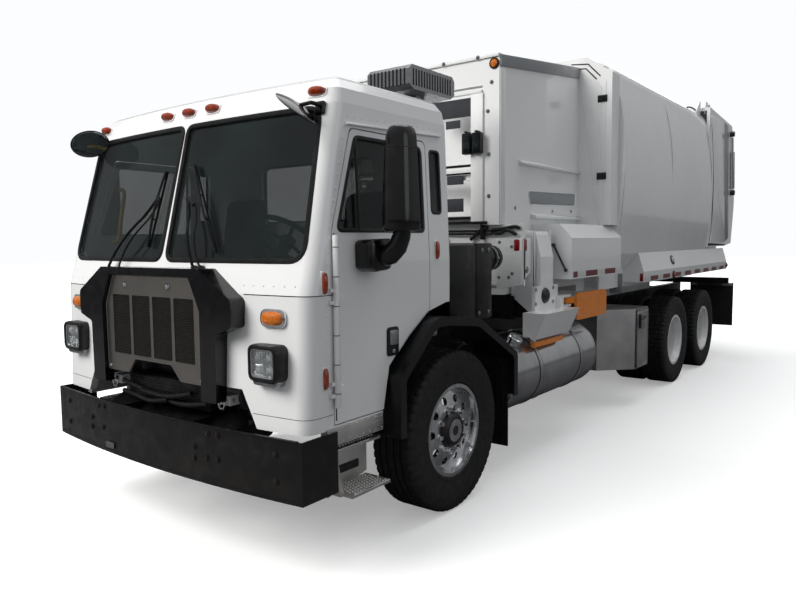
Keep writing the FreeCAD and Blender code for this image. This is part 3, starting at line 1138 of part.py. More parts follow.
def cab_roof():
    """Roof cap: a tapered crown with a large rounded edge, hollow below."""
    z, half, corner, middle, back = CAB_LEVELS[-1]
    lift = ROOF_TOP_Z - z

    def crown(inset):
        wires = []
        for degrees in ROOF_STEPS:
            angle = math.radians(degrees)
            draw = ROOF_EDGE_R * (1 - math.cos(angle)) + inset
            rise = (lift - inset) * math.sin(angle)
            wires.append(cab_section(z + rise, half, corner + 0.16 * rise, middle + 0.16 * rise, back, draw))
        return Part.makeLoft(wires, True, True)

    return crown(0).cut(crown(CAB_WALL))


def cab_floor():
    """Footwell floors, firewall, raised rear floor and the tunnel over the engine, in one pressing."""
    t, x, top = FLOOR_THICK, TUNNEL_HALF, TUNNEL_TOP_Z
    under = [(y, z - t) for y, z in FLOOR_UNDER]
    well = plate_yz(list(FLOOR_LINE) + under, x, CAB_SIDE_X)
    wall = plate_yz(under[::-1] + [(-60, 1430), (-340, top), (FIREWALL_Y, top)], x - PIVOT_LUG_THICK, x)
    firewall = box(x, CAB_SIDE_X, FIREWALL_Y, FIREWALL_Y + 25, FLOOR_LOW_Z, top)
    lid = box(-x, x, FIREWALL_Y, -300, top - t, top)
    rear_lid = plate_yz([(-340, top - t), (-60, 1430 - t), (-60, 1430), (-340, top)], -x, x)
    y, z, eye_x = CAB_PIVOT_Y, CAB_PIVOT_Z, CAB_EYE_X
    eye = rod((eye_x, y, z), (eye_x + PIVOT_LUG_THICK, y, z), 46)
    strap = box(eye_x, eye_x + PIVOT_LUG_THICK, y, FIREWALL_Y + 60, FLOOR_LOW_Z, z + 46)
    bore = rod((eye_x - 5, y, z), (eye_x + 40, y, z), CAB_PIN_R + BORE_CLEARANCE)
    half = [well, wall, firewall, joined([eye, strap]).cut(bore)]
    pressing = joined([lid, rear_lid, seat_frames()] + half + [mirrored(p) for p in half])
    room = joined([cab_volume(CAB_WALL), box(-700, 700, -1310, -1150, 780, 1000)])
    return pressing.common(room).cut(wheel_arch_cut())


def cab_pivots():
    """White castings on the rails' front ends with the pins that the cab tilts on."""
    y, z = CAB_PIVOT_Y, CAB_PIVOT_Z
    back = RAIL_FRONT_Y + 90
    block = plate_yz([(y - 50, z - 45, 20), (y - 50, z + 45, 35), (back, z + 60), (back, z - 60)],
                     RAIL_OUT_X, RAIL_OUT_X + 34)
    pin = rod((RAIL_OUT_X, y, z), (CAB_EYE_X + 40, y, z), CAB_PIN_R)
    boss = rod((RAIL_OUT_X + 30, y, z), (CAB_EYE_X - 6, y, z), 38)
    nose = box(RAIL_OUT_X + 44, CAB_EYE_X - 6, y - 100, y, z - 30, z + 26)
    nose = nose.cut(rod((RAIL_OUT_X, y - 68, z - 2), (CAB_EYE_X, y - 68, z - 2), TOW_BORE_R))
    return both_sides(joined([block, pin, boss, nose]))


def cab_rest():
    """Cross beam on the rails that the tilted-down cab rests on at its rear."""
    top = CAB_REST_Z - SEAT_GAP
    y0, y1 = CAB_BACK_Y - 60, CAB_BACK_Y - 5
    beam = box(-760, 760, y0, y1, top - 70, top)
    post = box(RAIL_OUT_X - RAIL_FLANGE, RAIL_OUT_X, y0, y1, RAIL_TOP_Z - 5, top)
    return [beam, post, mirrored(post)]


def cab_glass():
    """The cab's fixed panes: windscreen halves, rear window and quarter windows."""
    layer = cab_skin(12, 12 + GLASS_THICK)
    tools = windscreen_panes(-1500, -1000) + [rear_window(-200, 100), quarter_window(1000, 1300),
                                             mirrored(quarter_window(1000, 1300))]
    panes = [layer.common(tool) for tool in tools]
    return Part.makeCompound(panes)


def grille():
    """Alloy radiator panel with four tall openings, its lower edge notched in the middle."""
    panel = plate_xz(GRILLE_OUTLINE, GRILLE_Y, GRILLE_Y + GRILLE_THICK)
    pitch = (2 * GRILLE_MESH_HALF + GRILLE_BAR) / 4
    for i in range(4):
        x = -GRILLE_MESH_HALF + i * pitch
        far = x + pitch - GRILLE_BAR
        low, high = GRILLE_WINDOW_Z
        window = [(x, low, 10), (far, low, 10), (far, high, 10), (x, high, 10)]
        panel = panel.cut(plate_xz(window, GRILLE_Y - 5, GRILLE_Y + GRILLE_THICK + 5))
    return panel


def grille_surround():
    """Black moulding round the grille, with an ear each side at the top and a leg down each side."""
    outline = list(SURROUND_EDGE) + [(-x, z, r) for x, z, r in reversed(SURROUND_EDGE)]
    ring = plate_xz(outline, SURROUND_Y, -1290)
    hole = []
    for x, z, r in GRILLE_OUTLINE:
        hole.append((x + math.copysign(SEAT_GAP, x), z + (SEAT_GAP if z > 1500 else 0), r))
    ring = ring.cut(plate_xz(hole, -1600, GRILLE_Y + GRILLE_THICK))
    mouth = [(-478, 800), (478, 800), (478, 1392), (400, 1540), (-400, 1540), (-478, 1392)]
    ring = ring.cut(plate_xz(mouth, -1600, -1200))
    return ring.cut(cab_volume(-SEAT_GAP))


def headlamps():
    """Square lamps in deep bezels, seated on the cab's front face."""
    x0, x1 = HEADLAMP_X - HEADLAMP_HALF_W, HEADLAMP_X + HEADLAMP_HALF_W
    z0, z1 = HEADLAMP_Z - HEADLAMP_HALF_H, HEADLAMP_Z + HEADLAMP_HALF_H
    bezel = plate_xz([(x0, z0, 42), (x1, z0, 42), (x1, z1, 42), (x0, z1, 42)], -1432, -1290)
    return both_sides(bezel.cut(cab_volume(-SEAT_GAP)))


def seat_cushions():
    """Seat cushions, plain closed blocks with rounded edges."""
    solids = []
    for x in (-SEAT_X, SEAT_X):
        block = box(x - SEAT_HALF, x + SEAT_HALF, -800, SEAT_JOINT_Y, SEAT_LOW_Z, SEAT_LOW_Z + CUSHION_THICK)
        solids.append(block.makeFillet(45, block.Edges))
    return Part.makeCompound(solids)


def seat_backs():
    """Seat backs with their headrests' height included."""
    solids = []
    outline = [(SEAT_JOINT_Y + SEAT_GAP, SEAT_LOW_Z, 20), (-196, SEAT_LOW_Z, 20), (-100, 2110, 40),
               (-210, 2130, 40)]
    for x in (-SEAT_X, SEAT_X):
        solids.append(plate_yz(outline, x - SEAT_HALF + 5, x + SEAT_HALF - 5))
    return Part.makeCompound(solids)


def floor_z(y):
    """Height of the cab floor's top at y."""
    for (y0, z0), (y1, z1) in zip(FLOOR_LINE, FLOOR_LINE[1:]):
        if y0 <= y <= y1:
            return z0 + (z1 - z0) * (y - y0) / (y1 - y0)
    return FLOOR_LINE[-1][1]


def seat_frames():
    """Pedestals on the raised floor that carry the seats."""
    bends = [p for p in FLOOR_LINE if SEAT_FRONT_Y < p[0] < SEAT_BACK_Y]
    under = [(SEAT_FRONT_Y, floor_z(SEAT_FRONT_Y))] + bends + [(SEAT_BACK_Y, floor_z(SEAT_BACK_Y))]
    outline = under + [(SEAT_BACK_Y, SEAT_LOW_Z), (SEAT_FRONT_Y, SEAT_LOW_Z)]
    left = plate_yz(outline, SEAT_X - 150, SEAT_X + 150)
    return both_sides(left)


def dashboard():
    """Dash across the cab, its hood, the steering column and its wheel."""
    y = FIREWALL_Y
    body = plate_yz([(y - 60, 1420), (y + 140, TUNNEL_TOP_Z), (y + 230, 1470), (y + 200, 1640),
                     (y - 90, 1655)], -DASH_HALF, DASH_HALF)
    tunnel_box = box(-CONSOLE_HALF, CONSOLE_HALF, y + 100, CONSOLE_END_Y, TUNNEL_TOP_Z, CONSOLE_TOP_Z)
    rake = math.radians(WHEEL_RAKE)
    near, far = 15, 190
    ends = [(SEAT_X, WHEEL_CENTRE_Y - d * math.sin(rake), WHEEL_CENTRE_Z - d * math.cos(rake))
            for d in (far, near)]
    column = rod(*ends, 38)
    return joined([body.common(cab_volume(CAB_WALL + SEAT_GAP)), tunnel_box, column, steering_wheel()])


def steering_wheel():
    """Wheel on the column: rim, three spokes and hub, raked towards the driver."""
    centre = (SEAT_X, WHEEL_CENTRE_Y, WHEEL_CENTRE_Z)
    rim = Part.makeTorus(WHEEL_RIM_R, 15, V(*centre), V(0, 0, 1))
    hub = Part.makeCylinder(45, 40, V(centre[0], centre[1], centre[2] - 25))
    pieces = [rim, hub]
    for degrees in (0, 130, 230):
        a = math.radians(degrees + 90)
        tip = (centre[0] + WHEEL_RIM_R * math.cos(a), centre[1] + WHEEL_RIM_R * math.sin(a), centre[2])
        pieces.append(rod(centre, tip, 11))
    wheel = joined(pieces)
    wheel.rotate(V(*centre), V(1, 0, 0), -WHEEL_RAKE)
    return wheel


# ---------------------------------------------------------------- doors
def door():
    """Left door: the cab's own skin within the door's edge, with its window cut and its hinge knuckles."""
    leaf = plate_yz(door_outline(0, 0), 1000, 1300)
    panel = cab_volume(0).common(leaf).cut(cab_volume(DOOR_THICK))
    panel = panel.cut(plate_yz(side_window_outline(), 1000, 1300))
    knuckles = [hinge_set(z)[1] for z in DOOR_HINGE_ZS]
    keep_off = cab_volume(12)
    return joined([panel] + [k.cut(keep_off) for k in knuckles])


def door_glass():
    """Left side window, set in the door's frame."""
    pane = plate_yz(side_window_outline(), 1000, 1300)
    return cab_skin(16, 16 + GLASS_THICK).common(pane)


def mirror():
    """Left mirror: tall head on a lower arm that stands on a pod on the door."""
    head = plate_xy([(MIRROR_X, MIRROR_FRONT_Y + 40, 25), (MIRROR_X + 90, MIRROR_FRONT_Y, 50),
                     (MIRROR_X + 190, MIRROR_FRONT_Y + 60, 50), (MIRROR_X + 200, MIRROR_REAR_Y, 10),
                     (MIRROR_X, MIRROR_REAR_Y, 10)], MIRROR_LOW_Z, MIRROR_HIGH_Z)
    pod = box(CAB_SIDE_X - 10, POD_OUT_X, -975, -800, 1600, 1765)
    outer_edges = [e for e in pod.Edges if all(abs(v.Point.x - POD_OUT_X) < 1 for v in e.Vertexes)]
    pod = pod.makeFillet(30, outer_edges)
    elbow_x, y = MIRROR_X + 70, -850
    arm = joined([rod((POD_OUT_X - 25, y, 1690), (elbow_x, y, 1740), MIRROR_ARM_R),
                  rod((elbow_x, y, 1730), (elbow_x + 20, y, MIRROR_LOW_Z + 20), MIRROR_ARM_R)])
    seat_face = cab_volume(0)
    return joined([head, pod.cut(seat_face), arm.cut(seat_face)])


def main():
    """Builds every node and writes it."""
    second = REAR_AXLE_Y + TANDEM_SPACING
    nodes = {
        "chassis_frame": chassis_frame(), "front_bumper": front_bumper(), "cab_pivots": cab_pivots(),
        "radiator": radiator(), "engine_block": engine_block(), "front_axle": front_axle(),
        "rear_axles": rear_axles(), "fuel_tank": fuel_tank(),
        "toolbox": toolbox(), "toolbox_door": toolbox_door(),
        "battery_box": battery_box(), "air_cleaner": air_cleaner(), "exhaust_stack": exhaust_stack(),
        "front_fenders": front_fenders(), "cab_steps": cab_steps(), "mud_flaps": mud_flaps(),
        "body_fenders": body_fenders(), "hopper": hopper(), "hopper_header": hopper_header(),
        "hopper_bulkhead": hopper_bulkhead(), "body_barrel": body_barrel(), "side_boxes": side_boxes(),
        "tailgate": tailgate(),
        "arm_rails": arm_rails(), "arm_carriage": arm_carriage(), "arm_boom": arm_boom(),
        "finger_rear": finger_rear(), "finger_front": finger_front(), "cab_shell": cab_shell(),
        "cab_roof": cab_roof(), "cab_floor": cab_floor(), "cab_glass": cab_glass(), "grille": grille(),
        "grille_surround": grille_surround(), "headlamps": headlamps(),
        "seat_cushions": seat_cushions(), "seat_backs": seat_backs(),
        "dashboard": dashboard(),
    }
    paired = {
        "door": door(), "door_glass": door_glass(), "mirror": mirror(), "knuckle": knuckle(),
        "wheel_front": front_wheel(), "tyre_front": front_tyre(),
        "wheel_rear_a": rear_wheel(REAR_AXLE_Y), "tyres_rear_a": rear_tyres(REAR_AXLE_Y),
        "wheel_rear_b": rear_wheel(second), "tyres_rear_b": rear_tyres(second),
    }
    for name, shape in paired.items():
        nodes[name + "_left"] = shape
        nodes[name + "_right"] = mirrored(shape)
    for name, shape in nodes.items():
        export(name, shape)


main()
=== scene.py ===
"""Looks for a side-loading garbage truck: paint, glass, rubber, bright metal and the trim on its frame."""

import json
import math

import bmesh
import bpy
import numpy as np
from mathutils import Matrix, Vector


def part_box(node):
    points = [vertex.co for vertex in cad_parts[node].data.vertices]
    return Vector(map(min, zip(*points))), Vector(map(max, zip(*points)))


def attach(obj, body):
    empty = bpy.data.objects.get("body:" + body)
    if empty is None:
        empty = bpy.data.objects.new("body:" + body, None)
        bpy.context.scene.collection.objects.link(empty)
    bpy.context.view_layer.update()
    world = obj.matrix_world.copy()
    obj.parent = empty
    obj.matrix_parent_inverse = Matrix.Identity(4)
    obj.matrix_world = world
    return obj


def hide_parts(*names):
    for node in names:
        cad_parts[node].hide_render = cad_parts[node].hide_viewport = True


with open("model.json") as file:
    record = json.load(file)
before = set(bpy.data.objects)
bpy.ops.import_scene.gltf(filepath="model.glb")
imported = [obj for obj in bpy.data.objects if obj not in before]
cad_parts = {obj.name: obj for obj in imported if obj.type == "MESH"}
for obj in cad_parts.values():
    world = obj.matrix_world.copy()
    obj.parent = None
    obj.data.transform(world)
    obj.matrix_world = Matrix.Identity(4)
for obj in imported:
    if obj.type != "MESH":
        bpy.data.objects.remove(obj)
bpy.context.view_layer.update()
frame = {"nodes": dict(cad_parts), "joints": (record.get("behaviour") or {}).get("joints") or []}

bl_info = {
    "name": "Garbage Truck Looks",
    "version": (1, 0, 0),
    "blender": (4, 5, 0),
    "location": "View3D > Sidebar > Truck",
    "description": "Dresses the packed frame of a side-loading garbage truck",
    "category": "Object",
}

JOINT_AT = {j["name"]: j["pos_m"] for j in frame["joints"] if "pos_m" in j}
AXLE_Y = JOINT_AT["spin_front_left"][1]      # the front axle, which the cab's own measures are counted from
WHEEL_Z = JOINT_AT["spin_front_left"][2]
REAR_YS = (JOINT_AT["spin_rear_a_left"][1], JOINT_AT["spin_rear_b_left"][1])
SIDES = (("left", 1), ("right", -1))
LEFT, FRONT = (1.0, 0.0, 0.0), (0.0, -1.0, 0.0)   # the ways out of the left side and the front


def linear(hex_value):
    """sRGB hex to a linear colour: below 0.04045 a straight line, above it a power of 2.4."""
    parts = [int(hex_value[i:i + 2], 16) / 255 for i in (1, 3, 5)]
    return tuple(p / 12.92 if p <= 0.04045 else ((p + 0.055) / 1.055) ** 2.4 for p in parts)


def tone(hex_value):
    return linear(hex_value) + (1.0,)


# ------------------------------------------------------------------ properties
def colour(name, description, hex_value):
    return bpy.props.FloatVectorProperty(name=name, description=description, subtype="COLOR", size=3, min=0,
                                         max=1, default=linear(hex_value))


def length(name, description, metres):
    return bpy.props.FloatProperty(name=name, description=description, subtype="DISTANCE", unit="LENGTH",
                                   min=0, default=metres)


class TruckColours(bpy.types.PropertyGroup):
    """Colours of the truck's main finishes."""
    body: colour("Body paint", "White paint of the cab, hopper and load body", "#EDEEEE")
    chassis: colour("Chassis paint", "Black paint of the frame and bumper", "#0B0B0D")
    gripper: colour("Gripper paint", "Orange paint of the arm's fingers", "#EE860A")
    moulding: colour("Moulding", "Black moulded fenders", "#0C0C0E")
    cloth: colour("Seat cloth", "Cloth of the seats", "#232428")


class TruckSizes(bpy.types.PropertyGroup):
    """Sizes of the truck's repeated trim."""
    rivet: length("Rivet radius", "Radius of the domed rivets on the cab", 0.0075)
    gasket: length("Gasket width", "Width of the rubber round the windscreen", 0.030)
    tread_depth: length("Tread depth", "How far the tread blocks stand out", 0.012)
    tape: length("Tape width", "Width of the reflective tape", 0.050)
    hose: length("Hose radius", "Radius of the hydraulic hoses", 0.014)


# ------------------------------------------------------------------ materials
def add(tree, kind, inputs=None, **settings):
    """Adds one node: its settings by name, its inputs as values or as sockets to link."""
    node = tree.nodes.new(kind)
    for key, value in settings.items():
        setattr(node, key, value)
    for key, value in (inputs or {}).items():
        if isinstance(value, bpy.types.NodeSocket):
            tree.links.new(value, node.inputs[key])
        else:
            node.inputs[key].default_value = value
    return node


def begin(name, **shader):
    """A material with one shader set by its socket names, and its Object coordinates."""
    made = bpy.data.materials.new(name)
    made.use_nodes = True
    tree = made.node_tree
    bsdf = tree.nodes["Principled BSDF"]
    for key, value in shader.items():
        bsdf.inputs[key.replace("_", " ")].default_value = value
    place = add(tree, "ShaderNodeTexCoord").outputs["Object"]
    return made, tree, bsdf, place


def noise(tree, place, scale, detail=2.0, stretch=None, rough=0.5):
    """Noise over the place, its scale in features per metre, drawn out along the axes by stretch."""
    vector = place
    if stretch:
        vector = add(tree, "ShaderNodeMapping", {"Vector": place, "Scale": stretch}).outputs["Vector"]
    return add(tree, "ShaderNodeTexNoise", {"Vector": vector, "Scale": scale, "Detail": detail,
                                            "Roughness": rough}).outputs["Fac"]


def ramp(tree, fac, low, high, out_low=0.0, out_high=1.0):
    return add(tree, "ShaderNodeMapRange", {"Value": fac, "From Min": low, "From Max": high,
                                            "To Min": out_low, "To Max": out_high}).outputs["Result"]


def blend_colour(tree, fac, a, b):
    node = add(tree, "ShaderNodeMix", data_type="RGBA")
    for key, value in ((0, fac), (6, a), (7, b)):
        if isinstance(value, bpy.types.NodeSocket):
            tree.links.new(value, node.inputs[key])
        else:
            node.inputs[key].default_value = value
    return node.outputs[2]


def maths(tree, kind, a, b=0.0):
    node = add(tree, "ShaderNodeMath", operation=kind)
    for key, value in ((0, a), (1, b)):
        if isinstance(value, bpy.types.NodeSocket):
            tree.links.new(value, node.inputs[key])
        else:
            node.inputs[key].default_value = value
    return node.outputs[0]


def height_of(tree, place):
    return add(tree, "ShaderNodeSeparateXYZ", {"Vector": place}).outputs["Z"]


def bumped(tree, bsdf, height, metres, strength=1.0):
    node = add(tree, "ShaderNodeBump", {"Height": height, "Distance": metres, "Strength": strength})
    tree.links.new(node.outputs["Normal"], bsdf.inputs["Normal"])


def grimed(tree, place, clean, dirt, reach, most):
    """Road film: clean colour turning towards dirt below the reach, broken up by noise."""
    low = ramp(tree, height_of(tree, place), reach, 0.15, 0.0, most)
    patchy = ramp(tree, noise(tree, place, 6.0, 5.0), 0.35, 0.7, 0.25, 1.0)
    return blend_colour(tree, maths(tree, "MULTIPLY", low, patchy), clean, dirt)


def truck_paint(name, rgb, rough=0.2, coat=0.7, film=0.10):
    """Two-pack polyurethane over sheet metal: a clear gloss on a flat colour, with faint orange peel."""
    made, tree, bsdf, place = begin(name, Roughness=rough, Coat_Weight=coat, Coat_Roughness=0.06)
    drift = ramp(tree, noise(tree, place, 1.3, 3.0), 0.3, 0.7)
    shade = tuple(c * 0.94 for c in rgb) + (1.0,)
    base = blend_colour(tree, drift, tuple(rgb) + (1.0,), shade)
    tree.links.new(grimed(tree, place, base, tone("#8C857A"), 1.1, film), bsdf.inputs["Base Color"])
    tree.links.new(ramp(tree, noise(tree, place, 9.0, 4.0), 0.3, 0.7, rough * 0.8, rough * 1.35),
                   bsdf.inputs["Roughness"])
    # orange peel is a few millimetres across; it is drawn 14 mm coarse, so that it shows
    bumped(tree, bsdf, noise(tree, place, 70.0, 1.0), 0.0006, 0.25)
    return made


def chassis_paint(rgb):
    """Black chassis enamel: half gloss, with road dust lying on it."""
    made, tree, bsdf, place = begin("chassis_enamel_black", Roughness=0.36, Specular_IOR_Level=0.3,
                                    Coat_Weight=0.1, Coat_Roughness=0.25)
    dusty = ramp(tree, noise(tree, place, 11.0, 6.0), 0.5, 0.78, 0.0, 0.22)
    base = blend_colour(tree, dusty, tuple(rgb) + (1.0,), tone("#3A3834"))
    tree.links.new(grimed(tree, place, base, tone("#4B463E"), 0.9, 0.25), bsdf.inputs["Base Color"])
    tree.links.new(ramp(tree, noise(tree, place, 14.0, 5.0), 0.35, 0.7, 0.26, 0.52), bsdf.inputs["Roughness"])
    bumped(tree, bsdf, noise(tree, place, 160.0, 2.0), 0.0005, 0.3)
    return made


def moulded_fender(rgb):
    """Rotation-moulded polyethylene: black, waxy, with a fine leather-like skin of 4 mm pebbles."""
    made, tree, bsdf, place = begin("moulded_polyethylene_black", Roughness=0.38, Specular_IOR_Level=0.35)
    base = blend_colour(tree, ramp(tree, noise(tree, place, 8.0, 5.0), 0.45, 0.75, 0.0, 0.35),
                        tuple(rgb) + (1.0,), tone("#26262A"))
    tree.links.new(grimed(tree, place, base, tone("#55504A"), 1.0, 0.22), bsdf.inputs["Base Color"])
    tree.links.new(ramp(tree, noise(tree, place, 20.0, 3.0), 0.3, 0.7, 0.28, 0.46), bsdf.inputs["Roughness"])
    pebbles = add(tree, "ShaderNodeTexVoronoi", {"Vector": place, "Scale": 220.0}).outputs["Distance"]
    bumped(tree, bsdf, pebbles, 0.0006, 0.35)
    return made


def gloss_moulding(name, hex_value, rough=0.14):
    """Injection-moulded ABS with a polished skin: deep black, a soft flow ripple a hand wide."""
    made, tree, bsdf, place = begin(name, Roughness=rough, Specular_IOR_Level=0.35, Coat_Weight=0.25,
                                    Coat_Roughness=0.08)
    base = blend_colour(tree, ramp(tree, noise(tree, place, 12.0, 6.0), 0.5, 0.8, 0.0, 0.25), tone(hex_value),
                        tone("#2A2A2D"))
    tree.links.new(base, bsdf.inputs["Base Color"])
    tree.links.new(ramp(tree, noise(tree, place, 16.0, 4.0), 0.3, 0.75, rough * 0.7, rough * 1.9),
                   bsdf.inputs["Roughness"])
    bumped(tree, bsdf, noise(tree, place, 14.0, 1.0), 0.001, 0.15)
    return made


def polished_aluminium():
    """Forged aluminium buffed on the wheel: near mirror, with faint turning rings 3 mm apart."""
    made, tree, bsdf, place = begin("polished_forged_aluminium", Metallic=1.0, Roughness=0.12)
    centred = add(tree, "ShaderNodeMapping", {"Vector": place, "Location": (0, -AXLE_Y, -WHEEL_Z),
                                              "Scale": (0, 1, 1)}).outputs["Vector"]
    radius = add(tree, "ShaderNodeVectorMath", {0: centred}, operation="LENGTH").outputs["Value"]
    rings = maths(tree, "SINE", maths(tree, "MULTIPLY", radius, 2 * math.pi / 0.003))
    smear = noise(tree, place, 25.0, 5.0)
    tree.links.new(blend_colour(tree, ramp(tree, smear, 0.35, 0.75), tone("#DCDDDF"), tone("#B5B6B8")),
                   bsdf.inputs["Base Color"])
    tree.links.new(ramp(tree, smear, 0.3, 0.75, 0.07, 0.2), bsdf.inputs["Roughness"])
    bumped(tree, bsdf, rings, 0.00005, 0.25)
    return made


def brushed_stainless(name, stretch, hex_value="#C3C4C5", rough=0.24):
    """Stainless sheet with a mill brush along one way: scratches 1 mm apart, 30 times as long."""
    made, tree, bsdf, place = begin(name, Metallic=1.0, Roughness=rough)
    scratches = noise(tree, place, 260.0, 3.0, stretch, 0.65)
    stains = noise(tree, place, 4.0, 6.0)
    base = blend_colour(tree, ramp(tree, stains, 0.4, 0.75, 0.0, 0.6), tone(hex_value), tone("#8F9092"))
    tree.links.new(grimed(tree, place, base, tone("#6F685E"), 0.9, 0.3), bsdf.inputs["Base Color"])
    tree.links.new(ramp(tree, scratches, 0.25, 0.75, rough * 0.7, rough * 1.6), bsdf.inputs["Roughness"])
    bumped(tree, bsdf, scratches, 0.0002, 0.35)
    return made


def bright_metal(name, hex_value, rough):
    """Plated or polished metal: chrome or zinc over steel, with handling marks that dull it in patches."""
    made, tree, bsdf, place = begin(name, Metallic=1.0, Roughness=rough)
    marks = noise(tree, place, 40.0, 5.0)
    tree.links.new(blend_colour(tree, ramp(tree, marks, 0.4, 0.8, 0.0, 0.4), tone(hex_value),
                                tone("#77787A")), bsdf.inputs["Base Color"])
    tree.links.new(ramp(tree, marks, 0.3, 0.8, rough * 0.7, rough * 1.8), bsdf.inputs["Roughness"])
    bumped(tree, bsdf, marks, 0.0002, 0.2)
    return made


def tyre_compound():
    """Carbon-black tyre rubber: dull, with pale dust in its hollows and a fine grain."""
    made, tree, bsdf, place = begin("tyre_rubber_compound", Roughness=0.72, Specular_IOR_Level=0.35)
    dust = ramp(tree, noise(tree, place, 18.0, 7.0, None, 0.65), 0.42, 0.78, 0.0, 0.5)
    base = blend_colour(tree, dust, tone("#141415"), tone("#33322F"))
    tree.links.new(base, bsdf.inputs["Base Color"])
    tree.links.new(ramp(tree, noise(tree, place, 30.0, 4.0), 0.3, 0.7, 0.55, 0.82), bsdf.inputs["Roughness"])
    bumped(tree, bsdf, noise(tree, place, 420.0, 2.0), 0.0006, 0.3)
    return made


def rubber(name, hex_value, rough=0.6):
    """Extruded EPDM or hose cover: matt black with a faint bloom."""
    made, tree, bsdf, place = begin(name, Roughness=rough)
    bloom = ramp(tree, noise(tree, place, 22.0, 5.0), 0.45, 0.8, 0.0, 0.4)
    tree.links.new(blend_colour(tree, bloom, tone(hex_value), tone("#2E2E30")), bsdf.inputs["Base Color"])
    tree.links.new(ramp(tree, noise(tree, place, 45.0, 2.0), 0.3, 0.7, rough * 0.8, rough * 1.2),
                   bsdf.inputs["Roughness"])
    bumped(tree, bsdf, noise(tree, place, 300.0, 2.0), 0.0004, 0.3)
    return made


def tinted_glass():
    """Toughened privacy glass: a dark green-grey tint under a clean polished face."""
    made, tree, bsdf, place = begin("toughened_tinted_glass", Roughness=0.03, IOR=1.52, Alpha=0.5)
    band = ramp(tree, noise(tree, place, 1.8, 3.0), 0.3, 0.75)
    tree.links.new(blend_colour(tree, band, tone("#0E1415"), tone("#1E2A2B")), bsdf.inputs["Base Color"])
    tree.links.new(ramp(tree, noise(tree, place, 5.0, 4.0), 0.3, 0.8, 0.02, 0.06), bsdf.inputs["Roughness"])
    return made


def lens(name, hex_value, deep_hex, clearness):
    """Moulded polycarbonate lens: coloured through, with vertical optic ribs 6 mm apart inside its face."""
    made, tree, bsdf, place = begin(name, Roughness=0.1, IOR=1.58, Transmission_Weight=clearness,
                                    Coat_Weight=0.6, Coat_Roughness=0.05)
    x = add(tree, "ShaderNodeSeparateXYZ", {"Vector": place}).outputs["X"]
    ribs = maths(tree, "SINE", maths(tree, "MULTIPLY", x, 2 * math.pi / 0.012))
    grain = ramp(tree, noise(tree, place, 60.0, 2.0), 0.3, 0.7)
    tree.links.new(blend_colour(tree, grain, tone(hex_value), tone(deep_hex)), bsdf.inputs["Base Color"])
    bumped(tree, bsdf, ribs, 0.0008, 0.35)
    return made


def warning_tape():
    """Retroreflective tape: red blocks 270 mm long between white ones of 180 mm, and a honeycomb of 4 mm
    cells under a clear film."""
    made, tree, bsdf, place = begin("retroreflective_tape_red_white", Roughness=0.3, Coat_Weight=0.5)
    y = add(tree, "ShaderNodeSeparateXYZ", {"Vector": place}).outputs["Y"]
    cycle = maths(tree, "PINGPONG", y, 0.225)
    red = maths(tree, "GREATER_THAN", cycle, 0.090)
    cells = add(tree, "ShaderNodeTexVoronoi", {"Vector": place, "Scale": 160.0}).outputs["Distance"]
    white = blend_colour(tree, ramp(tree, cells, 0.1, 0.5), tone("#E9E9E6"), tone("#C9CAC8"))
    scarlet = blend_colour(tree, ramp(tree, cells, 0.1, 0.5), tone("#8E1018"), tone("#5E0A10"))
    tree.links.new(blend_colour(tree, red, white, scarlet), bsdf.inputs["Base Color"])
    bumped(tree, bsdf, cells, 0.0003, 0.3)
    return made


def seat_weave(rgb):
    """Woven seat cloth: warp and weft 2.5 mm apart, drawn 5 mm coarse to show, with a soft nap."""
    made, tree, bsdf, place = begin("woven_seat_cloth", Roughness=0.9, Sheen_Weight=0.35, Sheen_Roughness=0.5)
    x = add(tree, "ShaderNodeSeparateXYZ", {"Vector": place})
    warp = maths(tree, "SINE", maths(tree, "MULTIPLY", x.outputs["X"], 2 * math.pi / 0.010))
    weft = maths(tree, "SINE", maths(tree, "MULTIPLY", maths(tree, "ADD", x.outputs["Y"], x.outputs["Z"]),
                                     2 * math.pi / 0.010))
    weave = maths(tree, "MULTIPLY", warp, weft)
    tree.links.new(blend_colour(tree, ramp(tree, weave, -1.0, 1.0), tuple(rgb) + (1.0,), tone("#3B3D43")),
                   bsdf.inputs["Base Color"])
    bumped(tree, bsdf, weave, 0.0008, 0.6)
    return made


def cast_metal(name, hex_value, rough=0.55):
    """Sand-cast iron under thin paint: a pitted skin of 2 mm grains and rusty shadows."""
    made, tree, bsdf, place = begin(name, Roughness=rough)
    rust = ramp(tree, noise(tree, place, 14.0, 7.0), 0.52, 0.75, 0.0, 0.45)
    tree.links.new(blend_colour(tree, rust, tone(hex_value), tone("#4A382C")), bsdf.inputs["Base Color"])
    bumped(tree, bsdf, noise(tree, place, 350.0, 4.0), 0.0012, 0.5)
    return made


PALETTE = {}


